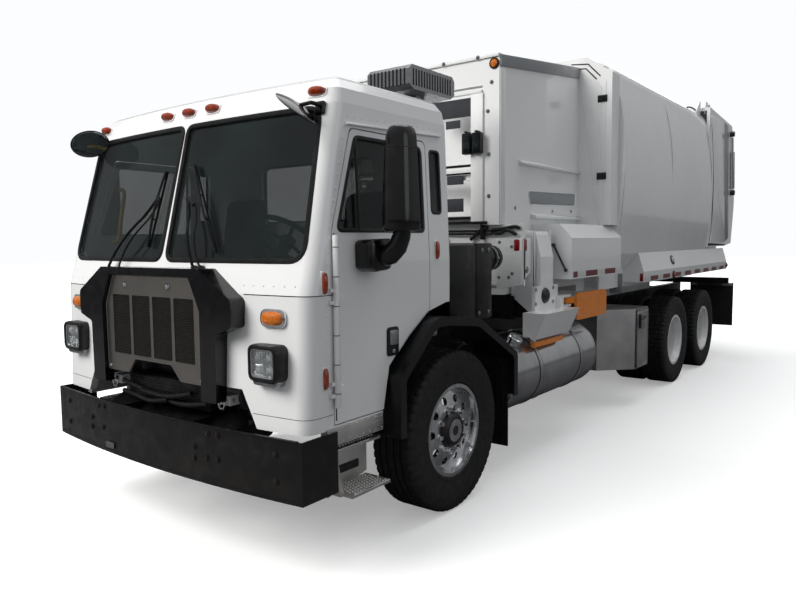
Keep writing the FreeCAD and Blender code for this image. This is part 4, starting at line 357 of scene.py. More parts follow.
def paint_box():
    """Every finish on the truck, made once from the panel's colours."""
    if PALETTE:
        return PALETTE
    c = bpy.context.scene.truck_colours
    PALETTE.update({
        "white": truck_paint("polyurethane_paint_white", c.body),
        # grey paint; on the hopper's top bands and pocket floors and on the tailgate's strips it is painted
        # shade
        "grey": truck_paint("polyurethane_paint_grey", linear("#8D9092"), 0.35, 0.3, 0.2),
        "orange": truck_paint("polyurethane_paint_orange", c.gripper, 0.28, 0.5, 0.12),
        "wheel_white": truck_paint("powder_coat_white", linear("#E8E9E9"), 0.28, 0.3, 0.12),
        # dark grey cab floor paint, which also serves as painted shade in the header's openings
        "floor_grey": truck_paint("cab_floor_paint", linear("#3C3E42"), 0.6, 0.0, 0.0),
        "black": chassis_paint(c.chassis),
        "fender": moulded_fender(c.moulding),
        "gloss_black": gloss_moulding("gloss_moulded_abs_black", "#08080A"),
        "matt_black": gloss_moulding("textured_moulded_abs_black", "#0B0B0C", 0.45),
        "dash": gloss_moulding("soft_moulded_dash_charcoal", "#1B1C1F", 0.6),
        "alloy": polished_aluminium(),
        "grille_alloy": brushed_stainless("brushed_aluminium_grille", (30, 1, 1), "#AAA49B", 0.38),
        "stainless": brushed_stainless("brushed_stainless_sheet", (1, 0.03, 1), "#C8C6C4", 0.3),
        "tank": brushed_stainless("rolled_stainless_tank", (1, 0.03, 1), "#CBCCCD", 0.16),
        "step_metal": brushed_stainless("mill_finish_aluminium", (1, 0.03, 1), "#DAD8D4", 0.42),
        "chrome": bright_metal("chrome_plate", "#E3E5E6", 0.08),
        "zinc": bright_metal("zinc_plate", "#A9ABAD", 0.34),
        "rod": bright_metal("ground_cylinder_rod", "#D5D7D9", 0.12),
        "tyre": tyre_compound(),
        "gasket": rubber("epdm_gasket", "#0A0A0B", 0.45),
        "flap": rubber("ribbed_flap_rubber", "#0D0D0D", 0.55),
        "hose": rubber("braided_hose_cover", "#121213", 0.5),
        "glass": tinted_glass(),
        "amber": lens("amber_polycarbonate_lens", "#F58A12", "#C65F06", 0.25),
        "red": lens("red_polycarbonate_lens", "#B01414", "#7C0A0A", 0.25),
        "marker": lens("dark_amber_polycarbonate_lens", "#B8431A", "#7F2A0E", 0.2),
        "clear": lens("clear_polycarbonate_lens", "#F2F5F6", "#DDE3E5", 0.92),
        "diode": lens("frosted_light_guide", "#E4E8EA", "#C9CED1", 0.3),
        "tape": warning_tape(),
        "cloth": seat_weave(c.cloth),
        "iron": cast_metal("cast_iron_black", "#141414"),
        "hub": cast_metal("cast_hub_painted_black", "#101012", 0.38),
        "yellow": gloss_moulding("yellow_vinyl_grip", "#D9C21A", 0.4),
        "mirror": bright_metal("silvered_mirror", "#E9ECEE", 0.02),
        "louvre": gloss_moulding("expanded_grille_louvre", "#2A2926", 0.42),
        # near-black backing net, which also serves as painted shade in slots, holes and openings
        "net": gloss_moulding("grille_backing_net", "#121211", 0.6),
    })
    return PALETTE


NODE_FINISH = {
    "white": ("cab_shell", "cab_roof", "door_left", "door_right", "hopper", "hopper_header",
              "hopper_bulkhead", "body_barrel", "side_boxes", "tailgate", "body_fenders", "arm_carriage",
              "arm_boom", "cab_pivots"),
    "black": ("chassis_frame", "front_bumper", "radiator", "rear_axles", "front_axle", "air_cleaner",
              "arm_rails", "battery_box"),
    "fender": ("front_fenders",),
    "matt_black": ("mirror_left", "mirror_right"),
    "gloss_black": ("grille_surround",),
    "floor_grey": ("cab_floor",),
    "grille_alloy": ("grille",),
    "orange": ("finger_rear", "finger_front"),
    "stainless": ("toolbox", "toolbox_door"),
    "step_metal": ("cab_steps",),
    "zinc": ("exhaust_stack",),
    "tank": ("fuel_tank",),
    "glass": ("cab_glass", "door_glass_left", "door_glass_right"),
    "iron": ("engine_block", "knuckle_left", "knuckle_right"),
    "flap": ("mud_flaps",),
    "dash": ("dashboard",),
    "alloy": ("wheel_front_left", "wheel_front_right"),
    "wheel_white": ("wheel_rear_a_left", "wheel_rear_a_right", "wheel_rear_b_left", "wheel_rear_b_right"),
    "tyre": ("tyre_front_left", "tyre_front_right", "tyres_rear_a_left", "tyres_rear_a_right",
             "tyres_rear_b_left", "tyres_rear_b_right"),
    "cloth": ("seat_cushions", "seat_backs"),
    "clear": ("headlamps",),
}


# ------------------------------------------------------------------ shapes worked out as arrays
def at(x, y, z):
    """A point counted from the front axle, as the frame has it."""
    return (x, y + AXLE_Y, z)


def merged(shapes):
    """Several (points, faces) shapes as one, the faces' numbers moved on by the points before them."""
    points, faces, start = [], [], 0
    for p, f in shapes:
        points.append(np.asarray(p, float).reshape(-1, 3))
        faces += [tuple(i + start for i in face) for face in f]
        start += len(points[-1])
    return np.vstack(points), faces


def grid(points, close_u=False, close_v=False):
    """Quads over a rows-by-columns grid of points, joined end to start along u or v when closed."""
    p = np.asarray(points, float)
    rows, cols = p.shape[:2]
    i = np.arange(rows if close_u else rows - 1)[:, None]
    j = np.arange(cols if close_v else cols - 1)[None, :]
    a, b = i * cols + j, i * cols + (j + 1) % cols
    c, d = ((i + 1) % rows) * cols + (j + 1) % cols, ((i + 1) % rows) * cols + j
    return p.reshape(-1, 3), np.stack([a, b, c, d], -1).reshape(-1, 4).tolist()


def ring_of(n):
    """Cosines and sines of n even steps round a circle."""
    t = np.linspace(0, 2 * np.pi, n, endpoint=False)
    return np.cos(t), np.sin(t)


def frames_along(path, closed=False):
    """Two normals to a path at each of its points, carried along it with the least turning."""
    p = np.asarray(path, float)
    ahead, behind = np.roll(p, -1, 0), np.roll(p, 1, 0)
    if not closed:
        ahead[-1], behind[0] = p[-1], p[0]
    t = ahead - behind
    t /= np.linalg.norm(t, axis=1)[:, None]
    first = np.cross(t[0], (0, 0, 1.0) if abs(t[0][2]) < 0.9 else (1.0, 0, 0))
    n = np.empty_like(t)
    n[0] = first / np.linalg.norm(first)
    for k in range(1, len(t)):
        m = n[k - 1] - t[k] * (n[k - 1] @ t[k])
        n[k] = m / np.linalg.norm(m)
    return n, np.cross(t, n)


def tube(path, radius, sides=12, closed=False):
    """A round profile of the radius carried along the path; radius may change from point to point."""
    p = np.asarray(path, float)
    n, b = frames_along(p, closed)
    r = np.broadcast_to(np.asarray(radius, float), (len(p),))[:, None, None]
    c, s = ring_of(sides)
    rings = p[:, None] + r * (c[None, :, None] * n[:, None] + s[None, :, None] * b[:, None])
    if not closed:
        rings = np.concatenate([np.repeat(p[:1, None], sides, 1), rings, np.repeat(p[-1:, None], sides, 1)])
    return grid(rings, closed, True)


def ribbon(path, outward, width, thick, closed=False):
    """A flat strip with rounded edges along the path: width across it, thick along the outward vectors."""
    p, o = np.asarray(path, float), np.asarray(outward, float)
    o = np.broadcast_to(o, p.shape)
    ahead, behind = np.roll(p, -1, 0), np.roll(p, 1, 0)
    if not closed:
        ahead[-1], behind[0] = p[-1], p[0]
    t = ahead - behind
    t /= np.linalg.norm(t, axis=1)[:, None]
    across = np.cross(t, o)
    across /= np.linalg.norm(across, axis=1)[:, None]
    up = np.cross(across, t)
    u = np.array([-0.5, -0.5, -0.38, -0.2, 0.2, 0.38, 0.5, 0.5]) * width
    v = np.array([0.0, 0.55, 0.9, 1.0, 1.0, 0.9, 0.55, 0.0]) * thick
    rings = p[:, None] + u[None, :, None] * across[:, None] + v[None, :, None] * up[:, None]
    if not closed:
        rings = np.concatenate([np.repeat(rings[:1].mean(1, keepdims=True), 8, 1), rings,
                                np.repeat(rings[-1:].mean(1, keepdims=True), 8, 1)])
    return grid(rings, closed, True)


def lathe(profile, centre=(0, 0, 0), axis="Z", sides=48):
    """A profile of (distance along the axis, radius) turned about an axis through the centre."""
    prof = np.asarray(profile, float)
    c, s = ring_of(sides)
    h, r = prof[:, 0][:, None], prof[:, 1][:, None]
    along = np.broadcast_to(h, (len(prof), sides))
    one, two = r * c[None], r * s[None]
    order = {"X": (along, one, two), "Y": (two, along, one), "Z": (one, two, along)}[axis]
    return grid(np.stack(order, -1) + np.asarray(centre, float), False, True)


def rect(u0, u1, v0, v1, radius):
    """A rectangle's four corners, all of one radius."""
    return [(u0, v0, radius), (u1, v0, radius), (u1, v1, radius), (u0, v1, radius)]


def rounded(corners, steps=5):
    """An outline of (u, v, radius) corners, each radius a quadratic curve between its tangent points."""
    out = []
    n = len(corners)
    for k in range(n):
        p = np.array(corners[k][:2], float)
        r = corners[k][2] if len(corners[k]) > 2 else 0.0
        if r <= 0:
            out.append(p[None])
            continue
        a = np.array(corners[k - 1][:2], float) - p
        b = np.array(corners[(k + 1) % n][:2], float) - p
        la, lb = np.linalg.norm(a), np.linalg.norm(b)
        cosine = np.clip(a @ b / (la * lb), -1, 1)
        cut = min(r / max(math.tan(math.acos(cosine) / 2), 1e-6), la * 0.49, lb * 0.49)
        s, e = p + a / la * cut, p + b / lb * cut
        t = np.linspace(0, 1, steps + 1)[:, None]
        out.append((1 - t) ** 2 * s + 2 * t * (1 - t) * p + t ** 2 * e)
    return np.vstack(out)


def inset(outline, distance):
    """The outline moved inwards, each point along the mean of its two edges' normals."""
    p = np.asarray(outline, float)
    e = np.roll(p, -1, 0) - p
    e /= np.maximum(np.linalg.norm(e, axis=1), 1e-9)[:, None]
    n = np.stack([-e[:, 1], e[:, 0]], 1)
    m = n + np.roll(n, 1, 0)
    m /= np.maximum(np.linalg.norm(m, axis=1), 1e-6)[:, None]
    area = 0.5 * np.sum(p[:, 0] * np.roll(p[:, 1], -1) - np.roll(p[:, 0], -1) * p[:, 1])
    lift = 1.0 / np.maximum((m * n).sum(1), 0.5)
    return p + m * (distance * lift)[:, None] * (1 if area > 0 else -1)


def slab(outline, low, high, plane, bevel=0.002):
    """A plate: its outline drawn from low to high across the plane, with both rims bevelled."""
    p = np.asarray(outline, float)
    levels = [(bevel, low), (bevel * 0.3, low + bevel * 0.3), (0, low + bevel), (0, high - bevel),
              (bevel * 0.3, high - bevel * 0.3), (bevel, high)]
    rings = []
    for step, depth in levels:
        q = inset(p, step) if step else p
        d = np.full((len(q), 1), depth)
        rings.append({"yz": np.hstack([d, q]), "xz": np.hstack([q[:, :1], d, q[:, 1:]]),
                      "xy": np.hstack([q, d])}[plane])
    points, faces = grid(np.array(rings), False, True)
    n = len(p)
    return points, faces + [tuple(range(n)), tuple(range(5 * n, 6 * n))]


def block(x0, x1, y0, y1, z0, z1, bevel=0.003):
    """A box with bevelled edges, counted from the front axle along Y."""
    edge = min(bevel, 0.3 * (x1 - x0), 0.3 * (y1 - y0))
    corners = rect(x0, x1, y0 + AXLE_Y, y1 + AXLE_Y, edge)
    return slab(rounded(corners, 2), z0, z1, "xy", min(edge, 0.3 * (z1 - z0)))


def copies(shape, places, turns=None):
    """One small shape set down at many places, each with its own 3 by 3 turn when turns are given."""
    p, f = np.asarray(shape[0], float), shape[1]
    where = np.asarray(places, float)
    if turns is not None:
        p = np.einsum("kij,nj->kni", np.asarray(turns), p)
    q = np.broadcast_to(p, (len(where),) + p.shape[-2:]) + where[:, None]
    faces = []
    for sides in {len(face) for face in f}:
        one = np.array([face for face in f if len(face) == sides])
        faces += (one + (np.arange(len(where)) * p.shape[-2])[:, None, None]).reshape(-1, sides).tolist()
    return q.reshape(-1, 3), faces


def facing(normals):
    """Turns that carry +Z onto each normal."""
    n = np.asarray(normals, float)
    n = n / np.linalg.norm(n, axis=1)[:, None]
    helper = np.where(np.abs(n[:, 2:]) < 0.9, (0, 0, 1.0), (1.0, 0, 0))
    u = np.cross(helper, n)
    u /= np.linalg.norm(u, axis=1)[:, None]
    return np.stack([u, np.cross(n, u), n], -1)


def dome(radius, height, sides=8):
    """A rivet's head: rings of falling radius up a quarter ellipse, closed at the top and flat below."""
    t = np.array([0, 0.45, 0.8, 1.0]) * np.pi / 2
    c, s = ring_of(sides)
    r = np.concatenate([[0.0], np.cos(t) * radius])
    z = np.concatenate([[0.0], np.sin(t) * height])
    return grid(np.stack([r[:, None] * c, r[:, None] * s, np.broadcast_to(z[:, None], (5, sides))], -1),
                False, True)


def hexagon(radius, height):
    """A bolt's head: six flats with a chamfered top, closed above and below."""
    c, s = ring_of(6)
    r = np.array([0, radius, radius, radius * 0.86, 0])
    z = np.array([0, 0, height * 0.8, height, height])
    return grid(np.stack([r[:, None] * c, r[:, None] * s, np.broadcast_to(z[:, None], (5, 6))], -1), False,
                True)


def mirrored(shape):
    """The same shape on the other side of the truck."""
    p = np.asarray(shape[0], float) * (-1, 1, 1)
    return p, [tuple(reversed(f)) for f in shape[1]]


def both(shape):
    """A shape, or several, on this side of the truck and on the other."""
    one = merged(shape) if isinstance(shape, list) else shape
    return merged([one, mirrored(one)])


def piece(name, shapes, finish, body="chassis", smooth=35.0):
    """Makes one piece from shapes, merges its doubles, turns its faces outwards, and rides it on a body."""
    points, faces = merged(shapes if isinstance(shapes, list) else [shapes])
    mesh = bpy.data.meshes.new(name)
    mesh.from_pydata(points.tolist(), [], [tuple(f) for f in faces])
    work = bmesh.new()
    work.from_mesh(mesh)
    bmesh.ops.remove_doubles(work, verts=work.verts, dist=2e-6)
    bmesh.ops.dissolve_degenerate(work, edges=work.edges, dist=1e-7)
    bmesh.ops.recalc_face_normals(work, faces=work.faces)
    work.to_mesh(mesh)
    work.free()
    mesh.polygons.foreach_set("use_smooth", np.ones(len(mesh.polygons), bool))
    mesh.set_sharp_from_angle(angle=math.radians(smooth))
    made = bpy.data.objects.new(name, mesh)
    bpy.context.scene.collection.objects.link(made)
    mesh.materials.append(paint_box()[finish])
    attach(made, body)
    return made


# ------------------------------------------------------------------ operators
class Builder:
    """What every operator here shares: it reads nothing from the screen and can be undone."""
    bl_options = {"REGISTER", "UNDO"}


class TRUCK_OT_stage(Builder, bpy.types.Operator):
    """Pale floor, white surroundings, soft lamps and the camera"""
    bl_idname = "truck.stage"
    bl_label = "Stage"

    def execute(self, context):
        scene = context.scene
        scene.view_settings.view_transform = "Standard"
        self.surroundings(scene)
        self.floor(scene)
        for spec in (("key", (-4.0, -12.5, 8.5), (0.3, -2.5, 1.4), 8.0, 1600, "#FFFDFA"),
                     ("side", (12.5, -1.0, 5.0), (0.5, 0.5, 1.6), 7.0, 110, "#F0F6FF"),
                     ("top", (0.0, 1.0, 12.5), (0.0, 0.5, 0.0), 12.0, 700, "#FFFFFF"),
                     ("back", (-4.0, 13.0, 7.0), (0.0, 3.0, 1.5), 7.0, 260, "#FFFFFF")):
            self.lamp(scene, *spec)
        self.camera(scene)
        return {"FINISHED"}

    def surroundings(self, scene):
        world = bpy.data.worlds.new("studio_white")
        scene.world = world
        world.use_nodes = True
        tree = world.node_tree
        rays = add(tree, "ShaderNodeLightPath")
        ground = tree.nodes["Background"]
        ground.inputs["Color"].default_value = (0.97, 0.985, 1, 1)
        sky = ramp(tree, height_of(tree, add(tree, "ShaderNodeTexCoord").outputs["Generated"]), -0.05, 0.75,
                   0.26, 0.46)
        tree.links.new(maths(tree, "MAXIMUM", rays.outputs["Is Camera Ray"], sky), ground.inputs["Strength"])

    def floor(self, scene):
        mesh = bpy.data.meshes.new("studio_floor")
        far = 60.0
        mesh.from_pydata(rect(-far, far, -far, far, 0), [], [(0, 1, 2, 3)])
        made = bpy.data.objects.new("studio_floor", mesh)
        scene.collection.objects.link(made)
        paint, tree, bsdf, place = begin("studio_floor_paint", Roughness=0.9, Specular_IOR_Level=0.1)
        soft = noise(tree, place, 0.4, 2.0)
        white = blend_colour(tree, soft, tone("#F4F4F4"), tone("#F0F0F0"))
        seen = add(tree, "ShaderNodeLightPath").outputs["Is Camera Ray"]
        tree.links.new(blend_colour(tree, seen, tone("#6C6C6E"), white), bsdf.inputs["Base Color"])
        bsdf.inputs["Emission Color"].default_value = (1, 1, 1, 1)
        away = add(tree, "ShaderNodeVectorMath", {0: place}, operation="LENGTH").outputs["Value"]
        tree.links.new(maths(tree, "MULTIPLY", seen, ramp(tree, away, 5.0, 13.0, 0.30, 1.0)),
                       bsdf.inputs["Emission Strength"])
        mesh.materials.append(paint)

    def lamp(self, scene, name, place, target, size, watts, hex_value):
        data = bpy.data.lights.new(name, "AREA")
        data.shape, data.size, data.energy, data.color = "DISK", size, watts, linear(hex_value)
        lamp = bpy.data.objects.new(name, data)
        scene.collection.objects.link(lamp)
        lamp.location = place
        lamp.visible_glossy = name != "key"   # its wide disk would stand in the windscreen
        lamp.rotation_mode = "QUATERNION"
        lamp.rotation_quaternion = (Vector(target) - Vector(place)).to_track_quat("-Z", "Y")

    def camera(self, scene):
        """Right, up and back vectors from the azimuth, height angle and tilt, in the matrix's columns."""
        a, e, r = (math.radians(d) for d in (37.302, 4.788, -0.518))
        back = np.array([math.sin(a) * math.cos(e), -math.cos(a) * math.cos(e), math.sin(e)])
        right = np.array([math.cos(a), math.sin(a), 0.0])
        up = np.cross(back, right)
        right, up = math.cos(r) * right + math.sin(r) * up, math.cos(r) * up - math.sin(r) * right
        data = bpy.data.cameras.new("view")
        data.lens, data.sensor_width, data.sensor_fit, data.clip_end = 31.11, 36.0, "HORIZONTAL", 400.0
        camera = bpy.data.objects.new("view", data)
        scene.collection.objects.link(camera)
        spot = at(3.543, -3.720, 1.758)
        camera.matrix_world = Matrix([(right[k], up[k], back[k], spot[k]) for k in range(3)] + [(0, 0, 0, 1)])
        scene.camera = camera


class TRUCK_OT_finishes(Builder, bpy.types.Operator):
    """Paint, metal, rubber and glass for the frame's own pieces"""
    bl_idname = "truck.finishes"
    bl_label = "Finishes"
    ARM_FOOT, ARM_INSIDE = 1.395, 0.860   # the carriage's white arm is above the first and outside the second

    def execute(self, context):
        palette = paint_box()
        for finish, nodes in NODE_FINISH.items():
            for name in nodes:
                made = frame["nodes"][name]
                made.data.materials.clear()
                made.data.materials.append(palette[finish])
                made.data.polygons.foreach_set("material_index", np.zeros(len(made.data.polygons), np.int32))
        self.two_tone(frame["nodes"]["arm_carriage"].data, palette["black"])
        return {"FINISHED"}

    def two_tone(self, mesh, second):
        """The carriage's beam is chassis black: the triangles with their middles below or inside its arm."""
        mesh.materials.append(second)
        middle = np.empty(len(mesh.polygons) * 3)
        mesh.polygons.foreach_get("center", middle)
        middle = middle.reshape(-1, 3)
        beam = (middle[:, 2] < self.ARM_FOOT) | (np.abs(middle[:, 0]) < self.ARM_INSIDE)
        mesh.polygons.foreach_set("material_index", beam.astype(np.int32))


# ------------------------------------------------------------------ the cab's own surface
def cab_rows():
    """Height, half width, corner and middle of the cab's front: three levels, then the crown's ellipse."""
    rows = [(0.790, 1.160, -1.350, -1.415), (1.490, 1.168, -1.328, -1.388), (1.640, 1.168, -1.285, -1.345)]
    for degrees in (0, 30, 55, 75, 90):
        a = math.radians(degrees)
        rise, draw = 0.157 * math.sin(a), 0.120 * (1 - math.cos(a))
        rows.append((2.475 + rise, 1.128 - draw, -1.078 + 0.16 * rise + draw, -1.136 + 0.16 * rise + draw))
    return np.array(rows)


CAB_ROWS = cab_rows()
CORNER_R = 0.085
DOOR_EDGE = -1.150


def cab_half(z):
    return np.interp(z, CAB_ROWS[:, 0], CAB_ROWS[:, 1])


def nose(x, z):
    """Points on the cab's front: y = middle + R - sqrt(R^2 - x^2) with R = (c^2 + s^2) / 2s over the chord
    2c and its sag s, then a quarter round of CORNER_R."""
    x, z = np.broadcast_arrays(np.asarray(x, float), np.asarray(z, float))
    half, corner, middle = [np.interp(z, CAB_ROWS[:, 0], CAB_ROWS[:, k]) for k in (1, 2, 3)]
    chord, sag = half - CORNER_R, corner - middle
    big = (chord ** 2 + sag ** 2) / (2 * sag)
    bow = middle + big - np.sqrt(big ** 2 - np.minimum(np.abs(x), chord) ** 2)
    over = np.clip((np.abs(x) - chord) / CORNER_R, 0, 1)
    y = np.where(np.abs(x) > chord, corner + CORNER_R * (1 - np.sqrt(1 - over ** 2)), bow)
    return np.stack([x, y + AXLE_Y, z], -1)


def nose_out(x, z):
    """Unit vectors out of the cab's front, from its slopes over 1 mm steps."""
    x, z = np.asarray(x, float), np.asarray(z, float)
    n = np.cross(nose(x + 1e-3, z) - nose(x - 1e-3, z), nose(x, z + 1e-3) - nose(x, z - 1e-3))
    return n / np.linalg.norm(n, axis=-1, keepdims=True)


def flank(y, z, side=1):
    """Points on the cab's side at (y, z)."""
    y, z = np.broadcast_arrays(np.asarray(y, float), np.asarray(z, float))
    return np.stack([side * cab_half(z), y + AXLE_Y, z], -1)


def wrap(z, x0):
    """A level line from x0 on the front, round the corner to the door's edge, with its outward vectors."""
    half, corner = cab_half(z), np.interp(z, CAB_ROWS[:, 0], CAB_ROWS[:, 2])
    t = np.linspace(0, np.pi / 2, 9)
    front = nose(np.linspace(x0, half - CORNER_R, 14)[:-1], z)
    bend = np.stack([half - CORNER_R * (1 - np.sin(t)), corner + CORNER_R * (1 - np.cos(t)) + AXLE_Y,
                     np.full(9, z)], -1)
    side = flank(np.linspace(corner + CORNER_R, DOOR_EDGE, 5)[1:], z)
    path = np.vstack([front, bend, side])
    out = np.cross(np.gradient(path, axis=0), (0, 0, 1.0))
    return path, out / np.linalg.norm(out, axis=1)[:, None]


def dense(outline, step, closed=True):
    """The outline with points no further apart than the step."""
    p = np.asarray(outline, float)
    ends = np.roll(p, -1, 0) if closed else p[1:]
    out = []
    for a, b in zip(p, ends):
        n = max(1, int(np.ceil(np.linalg.norm(b - a) / step)))
        out.append(a + (b - a) * (np.arange(n) / n)[:, None])
    return np.vstack(out if closed else out + [p[-1:]])


def set_on(shape, places, normals):
    """A shape drawn about +Z, set on a surface at each place."""
    return copies(shape, np.atleast_2d(places), facing(np.atleast_2d(normals)))


def pad(width, height, radius, thick, bevel):
    """A rounded rectangular plate about the origin, its face up +Z."""
    w, h = width / 2, height / 2
    return slab(rounded(rect(-w, w, -h, h, radius), 6), -0.004, thick, "xy", bevel)


def bulge(width, height, depth, power=2.6, rings=8, sides=32):
    """A moulded lens: superelliptic rings |x|^p + |y|^p = 1 that shrink as a cosine and rise as a sine."""
    t = np.linspace(0, np.pi / 2, rings)
    c, s = ring_of(sides)
    u = np.sign(c) * np.abs(c) ** (2 / power) * width / 2
    v = np.sign(s) * np.abs(s) ** (2 / power) * height / 2
    k = np.concatenate([[0.0, 1.0], np.cos(t)])
    z = np.concatenate([[-0.004, -0.004], np.sin(t) * depth])
    return grid(np.stack([k[:, None] * u, k[:, None] * v, np.broadcast_to(z[:, None], (rings + 2, sides))],
                         -1), False, True)


def bar(start, end, width, thick, outward):
    """A straight strip between two points, lying on the outward side."""
    return ribbon([start, end], outward, width, thick)


def rivets(places, normals, scale=1.0):
    r = bpy.context.scene.truck_sizes.rivet * scale
    return set_on(dome(r, r * 0.55), places, normals)


PANE = [(0.031, 1.662, 0.06), (1.092, 1.662, 0.09), (1.046, 2.446, 0.09), (0.021, 2.446, 0.05)]
SIDE_PANE = [(-1.098, 1.814, 0.025), (-0.927, 2.307, 0.045), (-0.330, 2.307, 0.045), (-0.330, 1.814, 0.025)]
QUARTER_PANE = rect(-0.238, -0.138, 1.925, 2.300, 0.025)


class TRUCK_OT_gaskets(Builder, bpy.types.Operator):
    """Rubber round every window, and the drip rails"""
    bl_idname = "truck.gaskets"
    bl_label = "Gaskets"

    def execute(self, context):
        width = context.scene.truck_sizes.gasket
        line = dense(inset(rounded(PANE, 6), -0.002), 0.05)
        out = nose_out(line[:, 0], line[:, 1])
        screen = ribbon(nose(line[:, 0], line[:, 1]) - 0.006 * out, out, width, 0.013, True)
        piece("windscreen_gaskets", both(screen), "gasket", "cab")
        small = both(self.side_gasket(QUARTER_PANE, 0.020, 1))
        back = dense(rounded(rect(-0.56, 0.56, 1.90, 2.33, 0.06)), 0.08)
        y = np.interp(back[:, 1], (1.64, 2.475), (-0.030, -0.022)) + AXLE_Y
        rear = ribbon(np.stack([back[:, 0], y - 0.004, back[:, 1]], -1), (0, 1, 0), 0.026, 0.010, True)
        piece("small_window_gaskets", [small, rear], "gasket", "cab")
        for name, side in SIDES:
            frame_line = self.side_gasket(SIDE_PANE, 0.024, side)
            post = bar(flank(-0.925, 1.82, side), flank(-0.925, 2.30, side), 0.024, 0.006, (side, 0, 0))
            piece(f"door_window_seal_{name}", [frame_line, post], "gasket", f"door_{name}")
        y = np.linspace(-1.0, -0.125, 12)
        rail = flank(y, np.interp(y, (-1.0, -0.125), (2.366, 2.398)))
        piece("drip_rails", both(ribbon(rail - (0.004, 0, 0), (1, 0, 0), 0.014, 0.022)), "white", "cab")
        return {"FINISHED"}

    def side_gasket(self, outline, width, side):
        line = dense(rounded(outline, 5), 0.08)
        return ribbon(flank(line[:, 0], line[:, 1], side) - (side * 0.010, 0, 0), (side, 0, 0), width, 0.014,
                      True)


class TRUCK_OT_cab_trim(Builder, bpy.types.Operator):
    """Seams, rivets, door pulls, kick plates and hinge strips"""
    bl_idname = "truck.cab_trim"
    bl_label = "Cab trim"

    def execute(self, context):
        path, out = wrap(1.487, 0.735)
        seam = both(ribbon(path - 0.0035 * out, out, 0.006, 0.0045))
        low, low_out = wrap(0.868, 0.800)
        foot = both(ribbon(low - 0.0036 * low_out, low_out, 0.004, 0.0042))
        piece("front_seams", [seam, foot], "gasket", "cab")
        self.rivet_rows()
        for name, side in SIDES:
            self.door_parts(name, side)
        return {"FINISHED"}

    def rivet_rows(self):
        z = np.arange(0.86, 2.40, 0.065)
        y = np.interp(z, (0.86, 1.60, 1.80, 2.40), (-1.190, -1.186, -1.160, -0.992))
        spots = flank(y, z)
        rows = rivets(spots, np.tile(LEFT, (len(z), 1)))
        x = np.linspace(0.72, 1.07, 6)
        front = rivets(nose(x, 1.535), nose_out(x, np.full(6, 1.535)), 0.8)
        y = np.linspace(-0.98, -0.16, 14)
        top = rivets(flank(y, np.interp(y, (-1.0, -0.125), (2.405, 2.437))), np.tile(LEFT, (14, 1)), 0.8)
        piece("cab_rivets", both([rows, front, top]), "white", "cab")
        y = np.linspace(-1.19, -0.76, 9)
        plate = slab(rounded(rect(-1.206 + AXLE_Y, -0.748 + AXLE_Y, 0.703, 0.800, 0.006)), 1.158, 1.167, "yz")
        heads = [rivets([at(1.167, a, b) for a in y], np.tile(LEFT, (9, 1)), 0.7) for b in (0.716, 0.787)]
        piece("kick_plates", both([plate] + heads), "step_metal", "cab")

    def door_parts(self, name, side):
        body = f"door_{name}"
        normal = (side, 0, 0)
        spot = flank(-0.655, 1.19, side)
        piece(f"door_pull_recess_{name}", set_on(pad(0.105, 0.165, 0.022, 0.010, 0.006), spot, normal),
              "matt_black", body)
        paddle = set_on(pad(0.070, 0.085, 0.014, 0.020, 0.006), spot + (0, 0, 0.022), normal)
        lock = set_on(pad(0.026, 0.026, 0.012, 0.016, 0.004), spot + (0, 0, -0.055), normal)
        piece(f"door_pull_{name}", [paddle, lock], "zinc", body)
        # the hinge's cover is round about the hinge line, so that the door can turn inside it
        hinge = (side * 1.186, -1.143)
        cover = tube([at(*hinge, z) for z in (0.905, 0.910, 1.785, 1.790)],
                     [0.014, 0.0165, 0.0165, 0.014], 14)
        joints = np.repeat(np.arange(0.98, 1.75, 0.15), 4) + np.tile((-0.0021, -0.002, 0.002, 0.0021), 6)
        lines = tube([at(*hinge, z) for z in joints], np.tile((0.0150, 0.0172, 0.0172, 0.0150), 6), 14)
        piece(f"door_hinge_cover_{name}", cover, "white", "cab")
        piece(f"door_hinge_joints_{name}", lines, "gasket", "cab")
        edge = flank(np.array([-1.128, -1.128]), np.array([0.83, 1.80]), side)
        piece(f"door_edge_seal_{name}", ribbon(edge - (side * 0.004, 0, 0), normal, 0.010, 0.006), "gasket",
              body)


